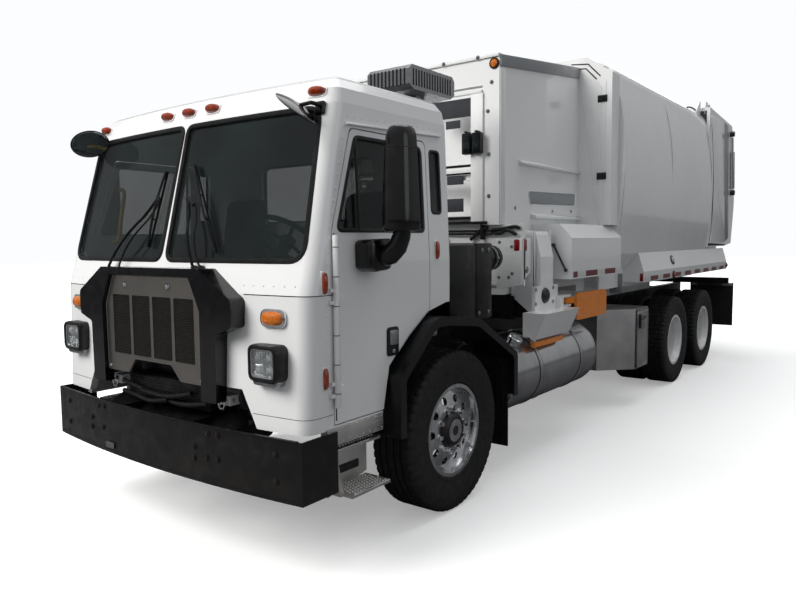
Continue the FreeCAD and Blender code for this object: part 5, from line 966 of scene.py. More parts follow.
class TRUCK_OT_lamps(Builder, bpy.types.Operator):
    """Roof markers, turn signals, side markers and headlamps"""
    bl_idname = "truck.lamps"
    bl_label = "Lamps"
    TURN = (0.945, 1.373)   # the turn signal's x and z
    HEAD_X, HEAD_Z = 0.930, 1.148

    def execute(self, context):
        x = np.array([-1.004, -0.218, 0.0, 0.218, 1.004])
        z = np.full(5, 2.532)
        spots, out = nose(x, z), nose_out(x, z)
        piece("roof_marker_lenses", set_on(bulge(0.112, 0.050, 0.040), spots + 0.004 * out, out), "marker",
              "cab")
        piece("roof_marker_bases", set_on(pad(0.125, 0.062, 0.024, 0.005, 0.003), spots, out), "white", "cab")
        self.turn_signals()
        self.side_markers()
        self.headlamp_pair()
        return {"FINISHED"}

    def turn_signals(self):
        spot, out = nose(*self.TURN), nose_out(*self.TURN)
        piece("turn_signal_bezels", both(set_on(pad(0.170, 0.098, 0.046, 0.016, 0.008), spot, out)), "chrome",
              "cab")
        piece("turn_signal_lenses", both(set_on(bulge(0.142, 0.074, 0.030, 2.8), spot + 0.014 * out, out)),
              "amber", "cab")

    def side_markers(self):
        spots = np.array([flank(-1.213, 1.549), flank(-1.213, 1.063), flank(-0.205, 1.700)])
        out = np.tile(LEFT, (3, 1))
        piece("side_marker_lenses", both(set_on(bulge(0.036, 0.112, 0.020, 4.0), spots + (0.003, 0, 0), out)),
              "marker", "cab")
        piece("side_marker_bases", both(set_on(pad(0.044, 0.122, 0.008, 0.005, 0.003), spots, out)), "white",
              "cab")

    def headlamp_pair(self):
        """Square bezel lofted through rounded squares to a dish, four light modules, a rim and a cover."""
        centre = np.array(at(self.HEAD_X, 0.0, self.HEAD_Z))

        def ring(half_w, half_h, radius, y):
            o = rounded(rect(-half_w, half_w, -half_h, half_h, radius), 6)
            return np.stack([o[:, 0], np.full(len(o), y), o[:, 1]], -1) + centre

        rings = [ring(0.106, 0.094, 0.040, -1.340), ring(0.108, 0.096, 0.042, -1.405),
                 ring(0.104, 0.092, 0.040, -1.424), ring(0.096, 0.084, 0.036, -1.431),
                 ring(0.086, 0.074, 0.028, -1.428), ring(0.083, 0.071, 0.026, -1.412),
                 ring(0.080, 0.068, 0.024, -1.385), ring(0.0, 0.0, 0.0, -1.385)]
        rings[-1] = np.broadcast_to(rings[-1][:1] * 0 + centre + (0, -1.385, 0), rings[0].shape)
        housing = grid(np.array(rings), False, True)
        chin = slab(rounded([(0.845, 1.030, 0.03), (1.015, 1.030, 0.03), (1.022, 1.062, 0.01),
                             (0.838, 1.062, 0.01)], 5), -1.412 + AXLE_Y, -1.335 + AXLE_Y, "xz", 0.012)
        lamp = piece("headlamp_housings", [both(housing)], "matt_black", "cab")
        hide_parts("headlamps")
        piece("headlamp_chins", both(chin), "zinc", "cab")
        rim = dense(rounded(rect(0.846, 1.014, 1.076, 1.220, 0.026), 5), 0.04)
        path = np.stack([rim[:, 0], np.full(len(rim), -1.418 + AXLE_Y), rim[:, 1]], -1)
        piece("headlamp_rims", both(tube(path, 0.0042, 8, True)), "chrome", "cab")
        cups, eyes = [], []
        r = 0.029
        for dx, dz in ((-0.038, 0.033), (0.038, 0.033), (-0.038, -0.033), (0.038, -0.033)):
            spot = (self.HEAD_X + dx, -1.386 + AXLE_Y, self.HEAD_Z + dz)
            cups.append(set_on(pad(2 * r + 0.006, 2 * r, 0.012, 0.018, 0.008), spot, FRONT))
            eyes.append(set_on(bulge(1.5 * r, 1.35 * r, 0.012, 3.2), np.array(spot) - (0, 0.018, 0), FRONT))
        piece("headlamp_modules", both(cups), "chrome", "cab")
        piece("headlamp_eyes", both(eyes), "diode", "cab")
        cover = pad(0.166, 0.142, 0.026, 0.002, 0.001)
        piece("headlamp_covers", both(set_on(cover, (self.HEAD_X, -1.4155 + AXLE_Y, self.HEAD_Z), FRONT)),
              "clear", "cab")


class TRUCK_OT_grille_trim(Builder, bpy.types.Operator):
    """Louvres, backing, studs, the folded edge and black parts that fill the dark cavity below as painted
    shade
    """
    bl_idname = "truck.grille_trim"
    bl_label = "Grille trim"
    WIDTH, BARS, BAR = 0.800, 4, 0.026   # the louvred field, its panels and the bars between them
    FACE = -1.4325
    STUDS = (-0.262, 0.168)

    def execute(self, context):
        pitch = (self.WIDTH + self.BAR) / self.BARS
        slats, nets = [], []
        z = np.arange(1.094, 1.450, 0.0095)
        for i in range(self.BARS):
            x0 = -self.WIDTH / 2 + i * pitch
            x1 = x0 + pitch - self.BAR
            slat = slab([(-1.431 + AXLE_Y, -0.0024), (-1.422 + AXLE_Y, 0.0012), (-1.422 + AXLE_Y, 0.0028),
                         (-1.431 + AXLE_Y, -0.0008)], x0, x1, "yz", 0.0003)
            slats.append(copies(slat, [(0, 0, a) for a in z]))
            nets.append(block(x0 - 0.01, x1 + 0.01, -1.4205, -1.4195, 1.08, 1.46, 0.0003))
        piece("grille_louvres", slats, "louvre", "cab")
        piece("grille_backing", nets, "net", "cab")
        studs = [set_on(dome(0.017, 0.012, 16), at(x, self.FACE, 1.512), FRONT) for x in self.STUDS]
        washers = [lathe([(0, 0), (0, 0.024), (-0.003, 0.024), (-0.003, 0)], at(x, -1.4320, 1.512), "Y", 20)
                   for x in self.STUDS]
        screws = [set_on(dome(0.012, 0.008, 14), at(x, self.FACE, 1.005), FRONT) for x in (-0.452, 0.452)]
        piece("grille_studs", studs + washers + screws, "chrome", "cab")
        edge = dense(inset(rounded([(-0.478, 0.980, 0.012), (-0.250, 0.980, 0.030), (-0.176, 1.066, 0.020),
                                    (0.176, 1.066, 0.020), (0.262, 0.980, 0.030), (0.478, 0.980, 0.012),
                                    (0.482, 1.392, 0.020), (0.392, 1.572, 0.008), (-0.392, 1.572, 0.008),
                                    (-0.482, 1.392, 0.020)], 5), 0.006), 0.05)
        rim = tube(np.stack([edge[:, 0], np.full(len(edge), self.FACE + AXLE_Y), edge[:, 1]], -1), 0.0032, 8,
                   True)
        piece("grille_folded_edge", rim, "grille_alloy", "cab")
        self.below(context.scene.truck_sizes.hose)
        return {"FINISHED"}

    def below(self, hose):
        """The cooler's lower tank, a skid plate and the lines that cross under the grille; the black tank and
        skid also stand as painted shade in the void under the grille.
        """
        # the black tank and skid fill the dark void under the grille as painted shade
        tank = block(-0.405, 0.405, -1.345, -1.262, 0.800, 0.960, 0.02)
        fins = [block(-0.36, 0.36, -1.352, -1.343, z, z + 0.006, 0.001) for z in np.arange(0.83, 0.95, 0.016)]
        skid = slab([(-1.36 + AXLE_Y, 0.735), (-1.33 + AXLE_Y, 0.735), (-1.22 + AXLE_Y, 0.79),
                     (-1.25 + AXLE_Y, 0.79)], -0.62, 0.62, "yz", 0.004)
        piece("lower_cooler", [tank, skid] + fins, "matt_black")
        lines = []
        for x0, x1, z, sag in ((-0.42, 0.28, 0.905, 0.05), (-0.22, 0.42, 0.865, 0.035),
                               (-0.42, 0.05, 0.840, 0.03)):
            t = np.linspace(0, 1, 14)
            lines.append(tube(np.stack([x0 + (x1 - x0) * t, -1.372 + 0.016 * np.sin(6 * t) + AXLE_Y,
                                        z - sag * np.sin(np.pi * t)], -1), hose, 10))
        piece("cooler_hoses", lines, "hose")


class TRUCK_OT_wipers(Builder, bpy.types.Operator):
    """Two parallel-arm wipers resting on the windscreen"""
    bl_idname = "truck.wipers"
    bl_label = "Wipers"

    def execute(self, context):
        sets = (((-0.568, 1.581), (-0.107, 2.026), (-0.434, 1.595), (-0.087, 1.992),
                 (-0.156, 1.731), (-0.107, 2.184)),
                ((0.324, 1.609), (0.188, 2.002), (0.381, 1.610), (0.263, 1.960),
                 (0.158, 2.206), (0.475, 1.701)))
        arms, blades = [], []
        for a0, a1, b0, b1, c0, c1 in sets:
            for start, end, r in ((a0, a1, 0.0085), (b0, b1, 0.0055)):
                arms.append(self.arm(start, end, r))
                arms.append(set_on(lathe([(-0.02, 0), (-0.02, 0.022), (0.026, 0.020), (0.034, 0.010),
                                          (0.034, 0)], sides=16), nose(*start), nose_out(*start)))
            blades += self.blade(c0, c1)
            blades.append(bar(self.over(a1), self.over(b1), 0.024, 0.012, nose_out(*a1)))
        piece("wiper_arms", arms, "matt_black", "cab")
        piece("wiper_blades", blades, "gasket", "cab")
        return {"FINISHED"}

    def over(self, spot):
        """The place 40 mm off the glass."""
        return nose(*spot) + 0.040 * nose_out(*spot)

    def arm(self, start, end, radius):
        """A rod that springs off its spindle and leans in to the glass at its tip."""
        t = np.linspace(0, 1, 9)
        spots = np.array(start) + (np.array(end) - start) * t[:, None]
        lift = 0.022 + 0.030 * np.sin(np.pi * np.minimum(t * 1.3, 1.0)) + 0.012 * t
        path = nose(spots[:, 0], spots[:, 1]) + lift[:, None] * nose_out(spots[:, 0], spots[:, 1])
        return tube(path, radius, 8)

    def blade(self, start, end):
        """Rubber strip on the glass, its backbone above it, and four claws between them."""
        t = np.linspace(0, 1, 12)
        spots = np.array(start) + (np.array(end) - start) * t[:, None]
        out = nose_out(spots[:, 0], spots[:, 1])
        base = nose(spots[:, 0], spots[:, 1])
        back = base + (0.016 + 0.016 * np.sin(np.pi * t))[:, None] * out
        claws = [tube([base[k] + 0.008 * out[k], back[k]], 0.005, 6) for k in (1, 4, 7, 10)]
        return [ribbon(base - 0.002 * out, out, 0.009, 0.012), tube(back, 0.0075, 8)] + claws


class TRUCK_OT_mirrors(Builder, bpy.types.Operator):
    """Door mirrors with their glasses, and the round mirrors over the windscreen"""
    bl_idname = "truck.mirrors"
    bl_label = "Mirrors"
    HEAD_X, SEAM_Z = 1.388, 2.232

    def execute(self, context):
        for name, side in SIDES:
            flip = (lambda s: s) if side > 0 else mirrored
            shell = piece(f"mirror_shell_{name}", [flip(self.head()), flip(self.arm()), flip(self.pod())],
                          "gloss_black", f"door_{name}", smooth=40)
            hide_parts(f"mirror_{name}")
            seam = dense(self.section(1.004 * self.taper(self.SEAM_Z)), 0.05)
            ring = tube(np.hstack([seam, np.full((len(seam), 1), self.SEAM_Z)]), 0.0022, 6, True)
            piece(f"mirror_seam_{name}", flip(ring), "gasket", f"door_{name}")
            back = (0, 1, 0)
            panes = [set_on(pad(0.118, 0.280, 0.022, 0.003, 0.001), at(self.HEAD_X, -0.8005, 2.118), back),
                     set_on(bulge(0.134, 0.120, 0.006, 4.0), at(self.HEAD_X, -0.800, 1.898), back)]
            piece(f"mirror_panes_{name}", flip(merged(panes)), "mirror", f"door_{name}")
        self.round_mirrors()
        return {"FINISHED"}

    def section(self, scale):
        """Plan outline of the head: a flat back, and a front drawn as the ellipse cos, -sin raised to 0.8."""
        t = np.linspace(0, np.pi, 21)
        x = self.HEAD_X - 0.088 * scale * np.sign(np.cos(t)) * np.abs(np.cos(t)) ** 0.72
        y = -0.850 - 0.112 * scale * np.sin(t) ** 0.80
        back = [(self.HEAD_X + 0.088 * scale, -0.812), (self.HEAD_X + 0.076 * scale, -0.802),
                (self.HEAD_X - 0.076 * scale, -0.802), (self.HEAD_X - 0.088 * scale, -0.812)]
        return np.vstack([np.stack([x, y], 1), back]) + (0, AXLE_Y)

    def taper(self, z):
        """The head is a quarter narrower at its top, by the 1.5 power of the height above its foot."""
        return 1.0 - 0.26 * (max(z - 1.808, 0.0) / 0.537) ** 1.5

    def head(self):
        """Sections stacked up Z: the scale falls off as a quarter circle over the last 60 mm at both ends."""
        t = np.linspace(0, np.pi / 2, 6)
        low = [(1.870 - 0.062 * math.cos(a), 0.80 + 0.20 * math.sin(a)) for a in t]
        high = [(2.275 + 0.070 * math.sin(a), 0.62 + 0.38 * math.cos(a)) for a in t]
        middle = [(z, 1.0) for z in np.linspace(1.930, 2.230, 6)]
        rings = []
        for z, scale in low + middle + high:
            s = self.section(scale * self.taper(z))
            rings.append(np.hstack([s, np.full((len(s), 1), z)]))
        first, last = rings[0].mean(0), rings[-1].mean(0)
        rings = [np.broadcast_to(first, rings[0].shape)] + rings + [np.broadcast_to(last, rings[0].shape)]
        return grid(np.array(rings), False, True)

    def arm(self):
        p = np.array([at(1.205, -0.865, 1.675), at(1.262, -0.862, 1.672), at(1.318, -0.856, 1.690),
                      at(1.358, -0.850, 1.728), at(1.380, -0.846, 1.780), at(1.390, -0.844, 1.840),
                      at(1.392, -0.843, 1.880)])
        return tube(p, [0.056, 0.058, 0.056, 0.052, 0.048, 0.046, 0.044], 18)

    def pod(self):
        outline = [(-0.974, 1.618, 0.025), (-0.926, 1.596, 0.02), (-0.820, 1.604, 0.05),
                   (-0.752, 1.690, 0.05), (-0.800, 1.772, 0.03), (-0.974, 1.766, 0.035)]
        moved = [(y + AXLE_Y, z, r) for y, z, r in outline]
        return slab(rounded(moved, 6), 1.160, 1.288, "yz", 0.018)

    def round_mirrors(self):
        """A dished disc whose rim falls away as the square of the radius, with a bright face below."""
        r = np.linspace(0, 0.122, 8)
        shell = lathe(np.vstack([np.stack([0.030 - 1.6 * r ** 2, r], 1),
                                 [(0.004, 0.124), (0.0, 0.120), (0.0, 0.0)]]), sides=40)
        glass = lathe([(-0.001, 0.0), (-0.001, 0.114), (0.002, 0.116), (0.002, 0.0)], sides=40)
        spot, out = np.array(at(0.990, -1.205, 2.428)), (0.61, 0.18, 0.77)
        stem = tube([spot + 0.02 * np.array(out), at(1.040, -1.150, 2.462), at(1.055, -1.095, 2.455)], 0.011,
                    10)
        foot = set_on(pad(0.060, 0.070, 0.012, 0.016, 0.004), nose(1.050, 2.440), nose_out(1.050, 2.440))
        piece("round_mirror_shells", both([set_on(shell, spot, out), stem, foot]), "gloss_black", "cab")
        piece("round_mirror_panes", both(set_on(glass, spot, out)), "mirror", "cab")
        puck = lathe([(0.0, 0.0), (0.0, 0.052), (0.070, 0.050), (0.092, 0.040), (0.100, 0.020), (0.100, 0.0)],
                     at(1.000, -0.350, 2.530), "Z", 28)
        wedge = slab(rounded([(-0.53 + AXLE_Y, 2.488, 0.008), (-0.29 + AXLE_Y, 2.488, 0.008),
                              (-0.30 + AXLE_Y, 2.545, 0.015), (-0.42 + AXLE_Y, 2.545, 0.02)]), 0.955, 1.060,
                     "yz", 0.006)
        piece("roof_antenna", [puck, wedge], "matt_black", "cab")


# ------------------------------------------------------------------ running gear, tank and steps
def plate_yz(corners, x, thick, bevel=0.002):
    """A plate across X from x to x + thick; its corners are (y from the front axle, z, radius)."""
    return slab(rounded([(c[0] + AXLE_Y,) + tuple(c[1:]) for c in corners]), x, x + thick, "yz", bevel)


def plate_xz(corners, y, thick, bevel=0.002):
    """A plate across Y from y to y + thick; its corners are (x, z, radius)."""
    return slab(rounded(corners), y + AXLE_Y, y + AXLE_Y + thick, "xz", bevel)


def line_at(points):
    """Points counted from the front axle, in the frame."""
    return np.asarray(points, float) + (0, AXLE_Y, 0)


def smooth_line(points, steps=10):
    """A soft line through points, by Catmull and Rom's rule:
    p = ½(2b + (c−a)t + (2a−5b+4c−d)t² + (3b−a−3c+d)t³)."""
    p = np.asarray(points, float)
    p = np.vstack([2 * p[:1] - p[1:2], p, 2 * p[-1:] - p[-2:-1]])
    t = np.linspace(0, 1, steps, endpoint=False)[:, None]
    out = []
    for a, b, c, d in zip(p, p[1:], p[2:], p[3:]):
        out.append(0.5 * (2 * b + (c - a) * t + (2 * a - 5 * b + 4 * c - d) * t ** 2
                          + (3 * b - a - 3 * c + d) * t ** 3))
    return np.vstack(out + [p[-2:-1]])


def hoses(lines, radius):
    """Hoses along soft lines, their points counted from the front axle."""
    return merged([tube(smooth_line(line_at(line)), radius, 10) for line in lines])


def bolts(places, normal, radius=0.012, height=0.008):
    """Hexagon heads on washers, all facing one way, their places counted from the front axle."""
    spots = line_at(places)
    n = np.broadcast_to(np.asarray(normal, float), spots.shape)
    washer = lathe([(0, 0), (0, radius * 1.5), (0.0022, radius * 1.5), (0.0022, 0)], sides=16)
    return merged([set_on(washer, spots, n), set_on(hexagon(radius, height), spots, n)])


TREAD_R = 0.525
GROOVES = (0.078, 0.028, -0.028, -0.078)
TYRE_HALF = [(0.118, TREAD_R), (0.125, 0.5235), (0.134, 0.518), (0.1405, 0.508), (0.144, 0.495),
             (0.1465, 0.480), (0.148, 0.474), (0.1475, 0.470), (0.1495, 0.458), (0.150, 0.440),
             (0.1485, 0.415), (0.1445, 0.380), (0.1385, 0.345), (0.1355, 0.325), (0.1365, 0.318),
             (0.132, 0.3075), (0.1205, 0.3045), (0.119, 0.2925)]


def tyre(x, y, depth, drive):
    """A tyre turned about its axle. Four grooves of the depth waver as a triangle wave, 24 times round; the
    shoulder blocks, and on a driven wheel the inner ribs too, are notched 60 times round."""
    sides = 240
    turn = np.arange(sides)
    wave = np.abs((turn % 10) / 5.0 - 1.0) - 0.5
    notch = (turn % 4 == 0).astype(float)
    rows = [(h, r, 0.0, 1.0 if r > 0.500 else 0.0) for h, r in reversed(TYRE_HALF)]
    lug = 1.0 if drive else 0.0
    for g in GROOVES:
        rows += [(g + 0.0065, TREAD_R, 1.0, lug), (g + 0.0045, TREAD_R - depth, 1.0, 0.0),
                 (g - 0.0045, TREAD_R - depth, 1.0, 0.0), (g - 0.0065, TREAD_R, 1.0, lug)]
    rows += [(-h, r, 0.0, 1.0 if r > 0.500 else 0.0) for h, r in TYRE_HALF]
    p = np.array(rows)
    h = p[:, :1] + 0.006 * p[:, 2:3] * wave[None]
    r = p[:, 1:2] - depth * 0.75 * p[:, 3:] * notch[None]
    a = turn * 2 * np.pi / sides
    return grid(np.stack([x + h, y + r * np.cos(a)[None], WHEEL_Z + r * np.sin(a)[None]], -1), True, True)


class TRUCK_OT_tyres(Builder, bpy.types.Operator):
    """Ten tyres with ribbed grooves, shoulder blocks and moulded sidewall rings"""
    bl_idname = "truck.tyres"
    bl_label = "Tyres"

    def execute(self, context):
        depth = context.scene.truck_sizes.tread_depth
        for side, s in SIDES:
            made = piece("tyre_tread_front_" + side, tyre(s * 1.035, AXLE_Y, depth, False), "tyre",
                         "wheel_front_" + side, smooth=30)
            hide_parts("tyre_front_" + side)
            for axle, y in zip("ab", REAR_YS):
                pair = [tyre(s * x, y, depth, True) for x in (0.705, 1.045)]
                made = piece("tyre_treads_rear_%s_%s" % (axle, side), pair, "tyre",
                             "wheel_rear_%s_%s" % (axle, side), smooth=30)
                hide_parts("tyres_rear_%s_%s" % (axle, side))
        return {"FINISHED"}


class TRUCK_OT_wheel_trim(Builder, bpy.types.Operator):
    """Wheel nuts, hub covers, axle caps and valve stems"""
    bl_idname = "truck.wheel_trim"
    bl_label = "Wheel trim"
    NUT_CIRCLE = 0.1425

    def execute(self, context):
        a = np.arange(10) * np.pi / 5 + 0.16
        for side, s in SIDES:
            self.front(side, s, a)
            for axle, y in zip("ab", REAR_YS):
                self.rear("rear_%s_%s" % (axle, side), s, y, a)
        return {"FINISHED"}

    def ring(self, shape, s, x, y, radius, angles):
        spots = np.stack([np.full(len(angles), s * x), y + radius * np.cos(angles),
                          WHEEL_Z + radius * np.sin(angles)], 1)
        return set_on(shape, spots, np.broadcast_to((float(s), 0.0, 0.0), spots.shape))

    def nut(self, height):
        """A hexagon on its flange."""
        flange = lathe([(0, 0), (0, 0.0215), (0.004, 0.0215), (0.006, 0.017), (0.006, 0)], sides=18)
        return [flange, hexagon(0.0165, height)]

    def front(self, side, s, a):
        cover = [(1.1375, 0.0), (1.1375, 0.118), (1.150, 0.116), (1.168, 0.100), (1.1725, 0.092),
                 (1.1735, 0.075), (1.170, 0.070), (1.170, 0.034), (1.1745, 0.030), (1.1745, 0.0)]
        shape = lathe([(s * h, r) for h, r in cover], (0, AXLE_Y, WHEEL_Z), "X", 64)
        small = self.ring(hexagon(0.007, 0.005), s, 1.1715, AXLE_Y, 0.084, np.arange(6) * np.pi / 3)
        piece("hub_cover_front_" + side, [shape, small], "hub", "wheel_front_" + side)
        nuts = self.ring(merged(self.nut(0.026)), s, 1.137, AXLE_Y, self.NUT_CIRCLE, a)
        piece("wheel_nuts_front_" + side, nuts, "chrome", "wheel_front_" + side)
        valve = tube([(s * 1.138, AXLE_Y + 0.245, WHEEL_Z), (s * 1.152, AXLE_Y + 0.262, WHEEL_Z),
                      (s * 1.156, AXLE_Y + 0.284, WHEEL_Z)], [0.005, 0.0045, 0.004], 8)
        piece("valve_front_" + side, valve, "zinc", "wheel_front_" + side)

    def rear(self, name, s, y, a):
        body = "wheel_" + name
        stud = set_on(dome(0.0105, 0.018, 10), (0, 0, 0.028), (0, 0, 1.0))
        nuts = self.ring(merged(self.nut(0.030) + [stud]), s, 0.903, y, self.NUT_CIRCLE, a)
        piece("wheel_nuts_" + name, nuts, "zinc", body)
        small = self.ring(hexagon(0.0085, 0.007), s, 1.0245, y, 0.066, np.arange(8) * np.pi / 4)
        cap = lathe([(s * 1.0245, 0.0), (s * 1.0245, 0.046), (s * 1.030, 0.044), (s * 1.032, 0.0)],
                    (0, y, WHEEL_Z), "X", 32)
        piece("axle_flange_" + name, [small, cap], "wheel_white", body)
        valve = tube([(s * 0.915, y + 0.225, WHEEL_Z), (s * 0.985, y + 0.262, WHEEL_Z),
                      (s * 1.045, y + 0.268, WHEEL_Z)], [0.005, 0.0045, 0.004], 8)
        piece("valve_" + name, valve, "zinc", body)


class TRUCK_OT_tank_trim(Builder, bpy.types.Operator):
    """Straps with rubber under them, filler cap, end welds and the tank's brackets"""
    bl_idname = "truck.tank_trim"
    bl_label = "Tank trim"
    STRAPS = (1.217, 2.010)
    CAP_TURN = 1.02   # the filler's lean from level, about the tank's axis

    def execute(self, context):
        t = np.radians(np.linspace(-100, 215, 72))
        out = np.stack([np.cos(t), np.zeros(72), np.sin(t)], 1)
        centre = np.array(at(0.905, 0.0, 0.720))
        straps, rubbers = [], []
        for y in self.STRAPS:
            straps.append(ribbon(centre + (0, y, 0) + out * 0.2975, out, 0.044, 0.0035))
            rubbers.append(ribbon(centre + (0, y, 0) + out * 0.2945, out, 0.062, 0.0035))
        piece("tank_straps", straps, "stainless")
        piece("tank_strap_rubbers", rubbers, "gasket")
        full = np.radians(np.arange(0, 360, 4))
        rim = np.stack([np.cos(full), np.zeros(90), np.sin(full)], 1)
        welds = [tube(centre + (0, y, 0) + rim * r, 0.0035, 8, True)
                 for y, r in ((0.752, 0.288), (1.405, 0.2955), (2.353, 0.288))]
        piece("tank_welds", welds, "tank")
        way = (math.cos(self.CAP_TURN), 0, math.sin(self.CAP_TURN))
        spot = centre + (way[0] * 0.290, 1.000, way[2] * 0.290)
        neck = lathe([(-0.01, 0), (-0.01, 0.052), (0.022, 0.052), (0.022, 0.058), (0.050, 0.060),
                      (0.056, 0.054), (0.056, 0)], sides=40)
        ears = slab(rounded(rect(-0.046, 0.046, -0.009, 0.009, 0.006), 3), 0.054, 0.072, "xy", 0.003)
        piece("filler_cap", set_on(merged([neck, ears]), spot, way), "chrome")
        seat = [block(0.56, 0.80, y - 0.03, y + 0.03, 0.46, 0.50, 0.004) for y in self.STRAPS]
        piece("tank_brackets", seat, "black")
        return {"FINISHED"}


class TRUCK_OT_step_trim(Builder, bpy.types.Operator):
    """Raised grip teeth on both treads, rivets down the side plates and the riser's opening, a near-black
    plate of painted shade
    """
    bl_idname = "truck.step_trim"
    bl_label = "Step trim"

    def execute(self, context):
        tooth = lathe([(0, 0), (0, 0.0085), (0.005, 0.0065), (0.0055, 0.0052), (0.0015, 0.0045), (0.0015, 0)],
                      sides=10)
        spots = []
        for z, x0, x1, y0, y1 in ((0.413, 1.036, 1.176, -1.025, -0.740),
                                  (0.658, 1.030, 1.110, -1.100, -0.745)):
            xs, ys = np.arange(x0, x1 + 0.001, 0.028), np.arange(y0, y1 + 0.001, 0.024)
            gx, gy = np.meshgrid(xs, ys)
            gy = gy + 0.012 * (np.arange(len(xs)) % 2)[None]
            spots.append(np.stack([gx.ravel(), np.minimum(gy.ravel(), y1), np.full(gx.size, z)], 1))
        teeth = copies(tooth, line_at(np.vstack(spots)))
        piece("step_grips", both(teeth), "step_metal")
        places = [(1.0185, y, z) for y, z in ((-1.160, 0.585), (-1.122, 0.540), (-1.061, 0.470),
                                              (-1.048, 0.405), (-0.960, 0.395), (-0.860, 0.412),
                                              (-0.760, 0.428), (-1.150, 0.625), (-1.050, 0.640),
                                              (-0.950, 0.640), (-0.850, 0.640), (-0.760, 0.640))]
        heads = rivets(line_at(places), np.broadcast_to(LEFT, (len(places), 3)), 0.9)
        piece("step_rivets", both(heads), "rod")
        # the riser's opening is a near-black plate: painted shade standing for the hole
        slot = plate_yz(rect(-1.030, -0.790, 0.470, 0.520, 0.012), 1.0115, 0.006)
        nose_bar = [tube(line_at([(1.190, -1.040, 0.408), (1.190, -0.735, 0.408)]), 0.0075, 10),
                    tube(line_at([(1.121, -1.110, 0.653), (1.121, -0.735, 0.653)]), 0.0065, 10)]
        piece("step_riser_openings", both(slot), "net")
        piece("step_nosings", both(nose_bar), "rod")
        return {"FINISHED"}


class TRUCK_OT_toolbox_trim(Builder, bpy.types.Operator):
    """The drop door's T-handle lock, hinge and folded rim"""
    bl_idname = "truck.toolbox_trim"
    bl_label = "Toolbox trim"

    def execute(self, context):
        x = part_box("toolbox_door")[1][0]
        body = "toolbox_door"
        dish = plate_yz(rect(3.462, 3.690, 0.805, 0.985, 0.02), x - 0.002, 0.004, 0.001)
        piece("toolbox_lock_dish", dish, "zinc", body)
        grip = [tube(line_at([(x + 0.010, 3.499, 0.825), (x + 0.012, 3.499, 0.900),
                              (x + 0.010, 3.499, 0.970)]), [0.011, 0.013, 0.011], 14),
                tube(line_at([(x + 0.010, 3.505, 0.905), (x + 0.012, 3.590, 0.918),
                              (x + 0.006, 3.680, 0.930)]), [0.010, 0.009, 0.012], 12)]
        piece("toolbox_handle", grip, "matt_black", body)
        edge = dense(rounded(rect(3.455 + AXLE_Y, 3.791 + AXLE_Y, 0.425, 0.988, 0.02), 5), 0.05)
        rim = ribbon(np.hstack([np.full((len(edge), 1), x - 0.001), edge]), LEFT, 0.012, 0.0025, True)
        piece("toolbox_door_fold", rim, "stainless", body)
        knuckles = [lathe([(y + AXLE_Y, 0), (y + AXLE_Y, 0.008), (y + 0.05 + AXLE_Y, 0.008),
                           (y + 0.05 + AXLE_Y, 0)], (1.204, 0, 0.410), "Y", 16)
                    for y in (3.480, 3.600, 3.716)]
        piece("toolbox_hinge", knuckles, "rod")
        return {"FINISHED"}


def bumper_y(x):
    """The bumper's front face: a shallow bow, 80 mm further back at its ends than in the middle."""
    return -1.480 + 0.080 * (np.asarray(x, float) / 1.178) ** 2


class TRUCK_OT_bumper_trim(Builder, bpy.types.Operator):
    """Bolt heads, rings in the cab pivots' noses, a small bracket and rubber lips"""
    bl_idname = "truck.bumper_trim"
    bl_label = "Bumper trim"

    def execute(self, context):
        heads = [(-0.498, 0.740), (-0.571, 0.738), (-0.667, 0.586), (-0.516, 0.606), (-0.661, 0.648),
                 (0.526, 0.735), (0.605, 0.737), (0.419, 0.649), (0.415, 0.584), (0.519, 0.600),
                 (0.604, 0.606), (1.010, 0.700), (1.010, 0.560), (-1.010, 0.700), (-1.010, 0.560)]
        places = [(x, float(bumper_y(x)) - 0.0005, z) for x, z in heads]
        piece("bumper_bolts", bolts(places, FRONT, 0.013, 0.009), "iron")
        rings = []
        for x in (-0.529, 0.529):
            c, r = ring_of(24)
            spot = np.array(at(x, -1.3635, 0.876))
            rings.append(tube(spot + np.stack([0.024 * c, np.zeros(24), 0.026 * r], 1), 0.0065, 10, True))
            rings.append(lathe([(-1.366, 0), (-1.366, 0.014), (-1.352, 0.017), (-1.352, 0)], at(x, 0, 0.901),
                               "Y", 20))
        piece("tow_rings", rings, "chrome")
        xs = np.linspace(-1.150, 1.150, 41)
        lip = ribbon(np.stack([xs, bumper_y(xs) + AXLE_Y, np.full(41, 0.7785)], 1), (0, 0, 1.0), 0.020, 0.006)
        low = ribbon(np.stack([xs, bumper_y(xs) + 0.0015 + AXLE_Y, np.full(41, 0.478)], 1), FRONT,
                     0.016, 0.004)
        piece("bumper_lips", [lip, low], "gasket")
        plate = plate_xz(rect(-0.470, -0.380, 0.492, 0.530, 0.006), -1.4815, 0.006, 0.001)
        piece("bumper_bracket", plate, "zinc")
        return {"FINISHED"}


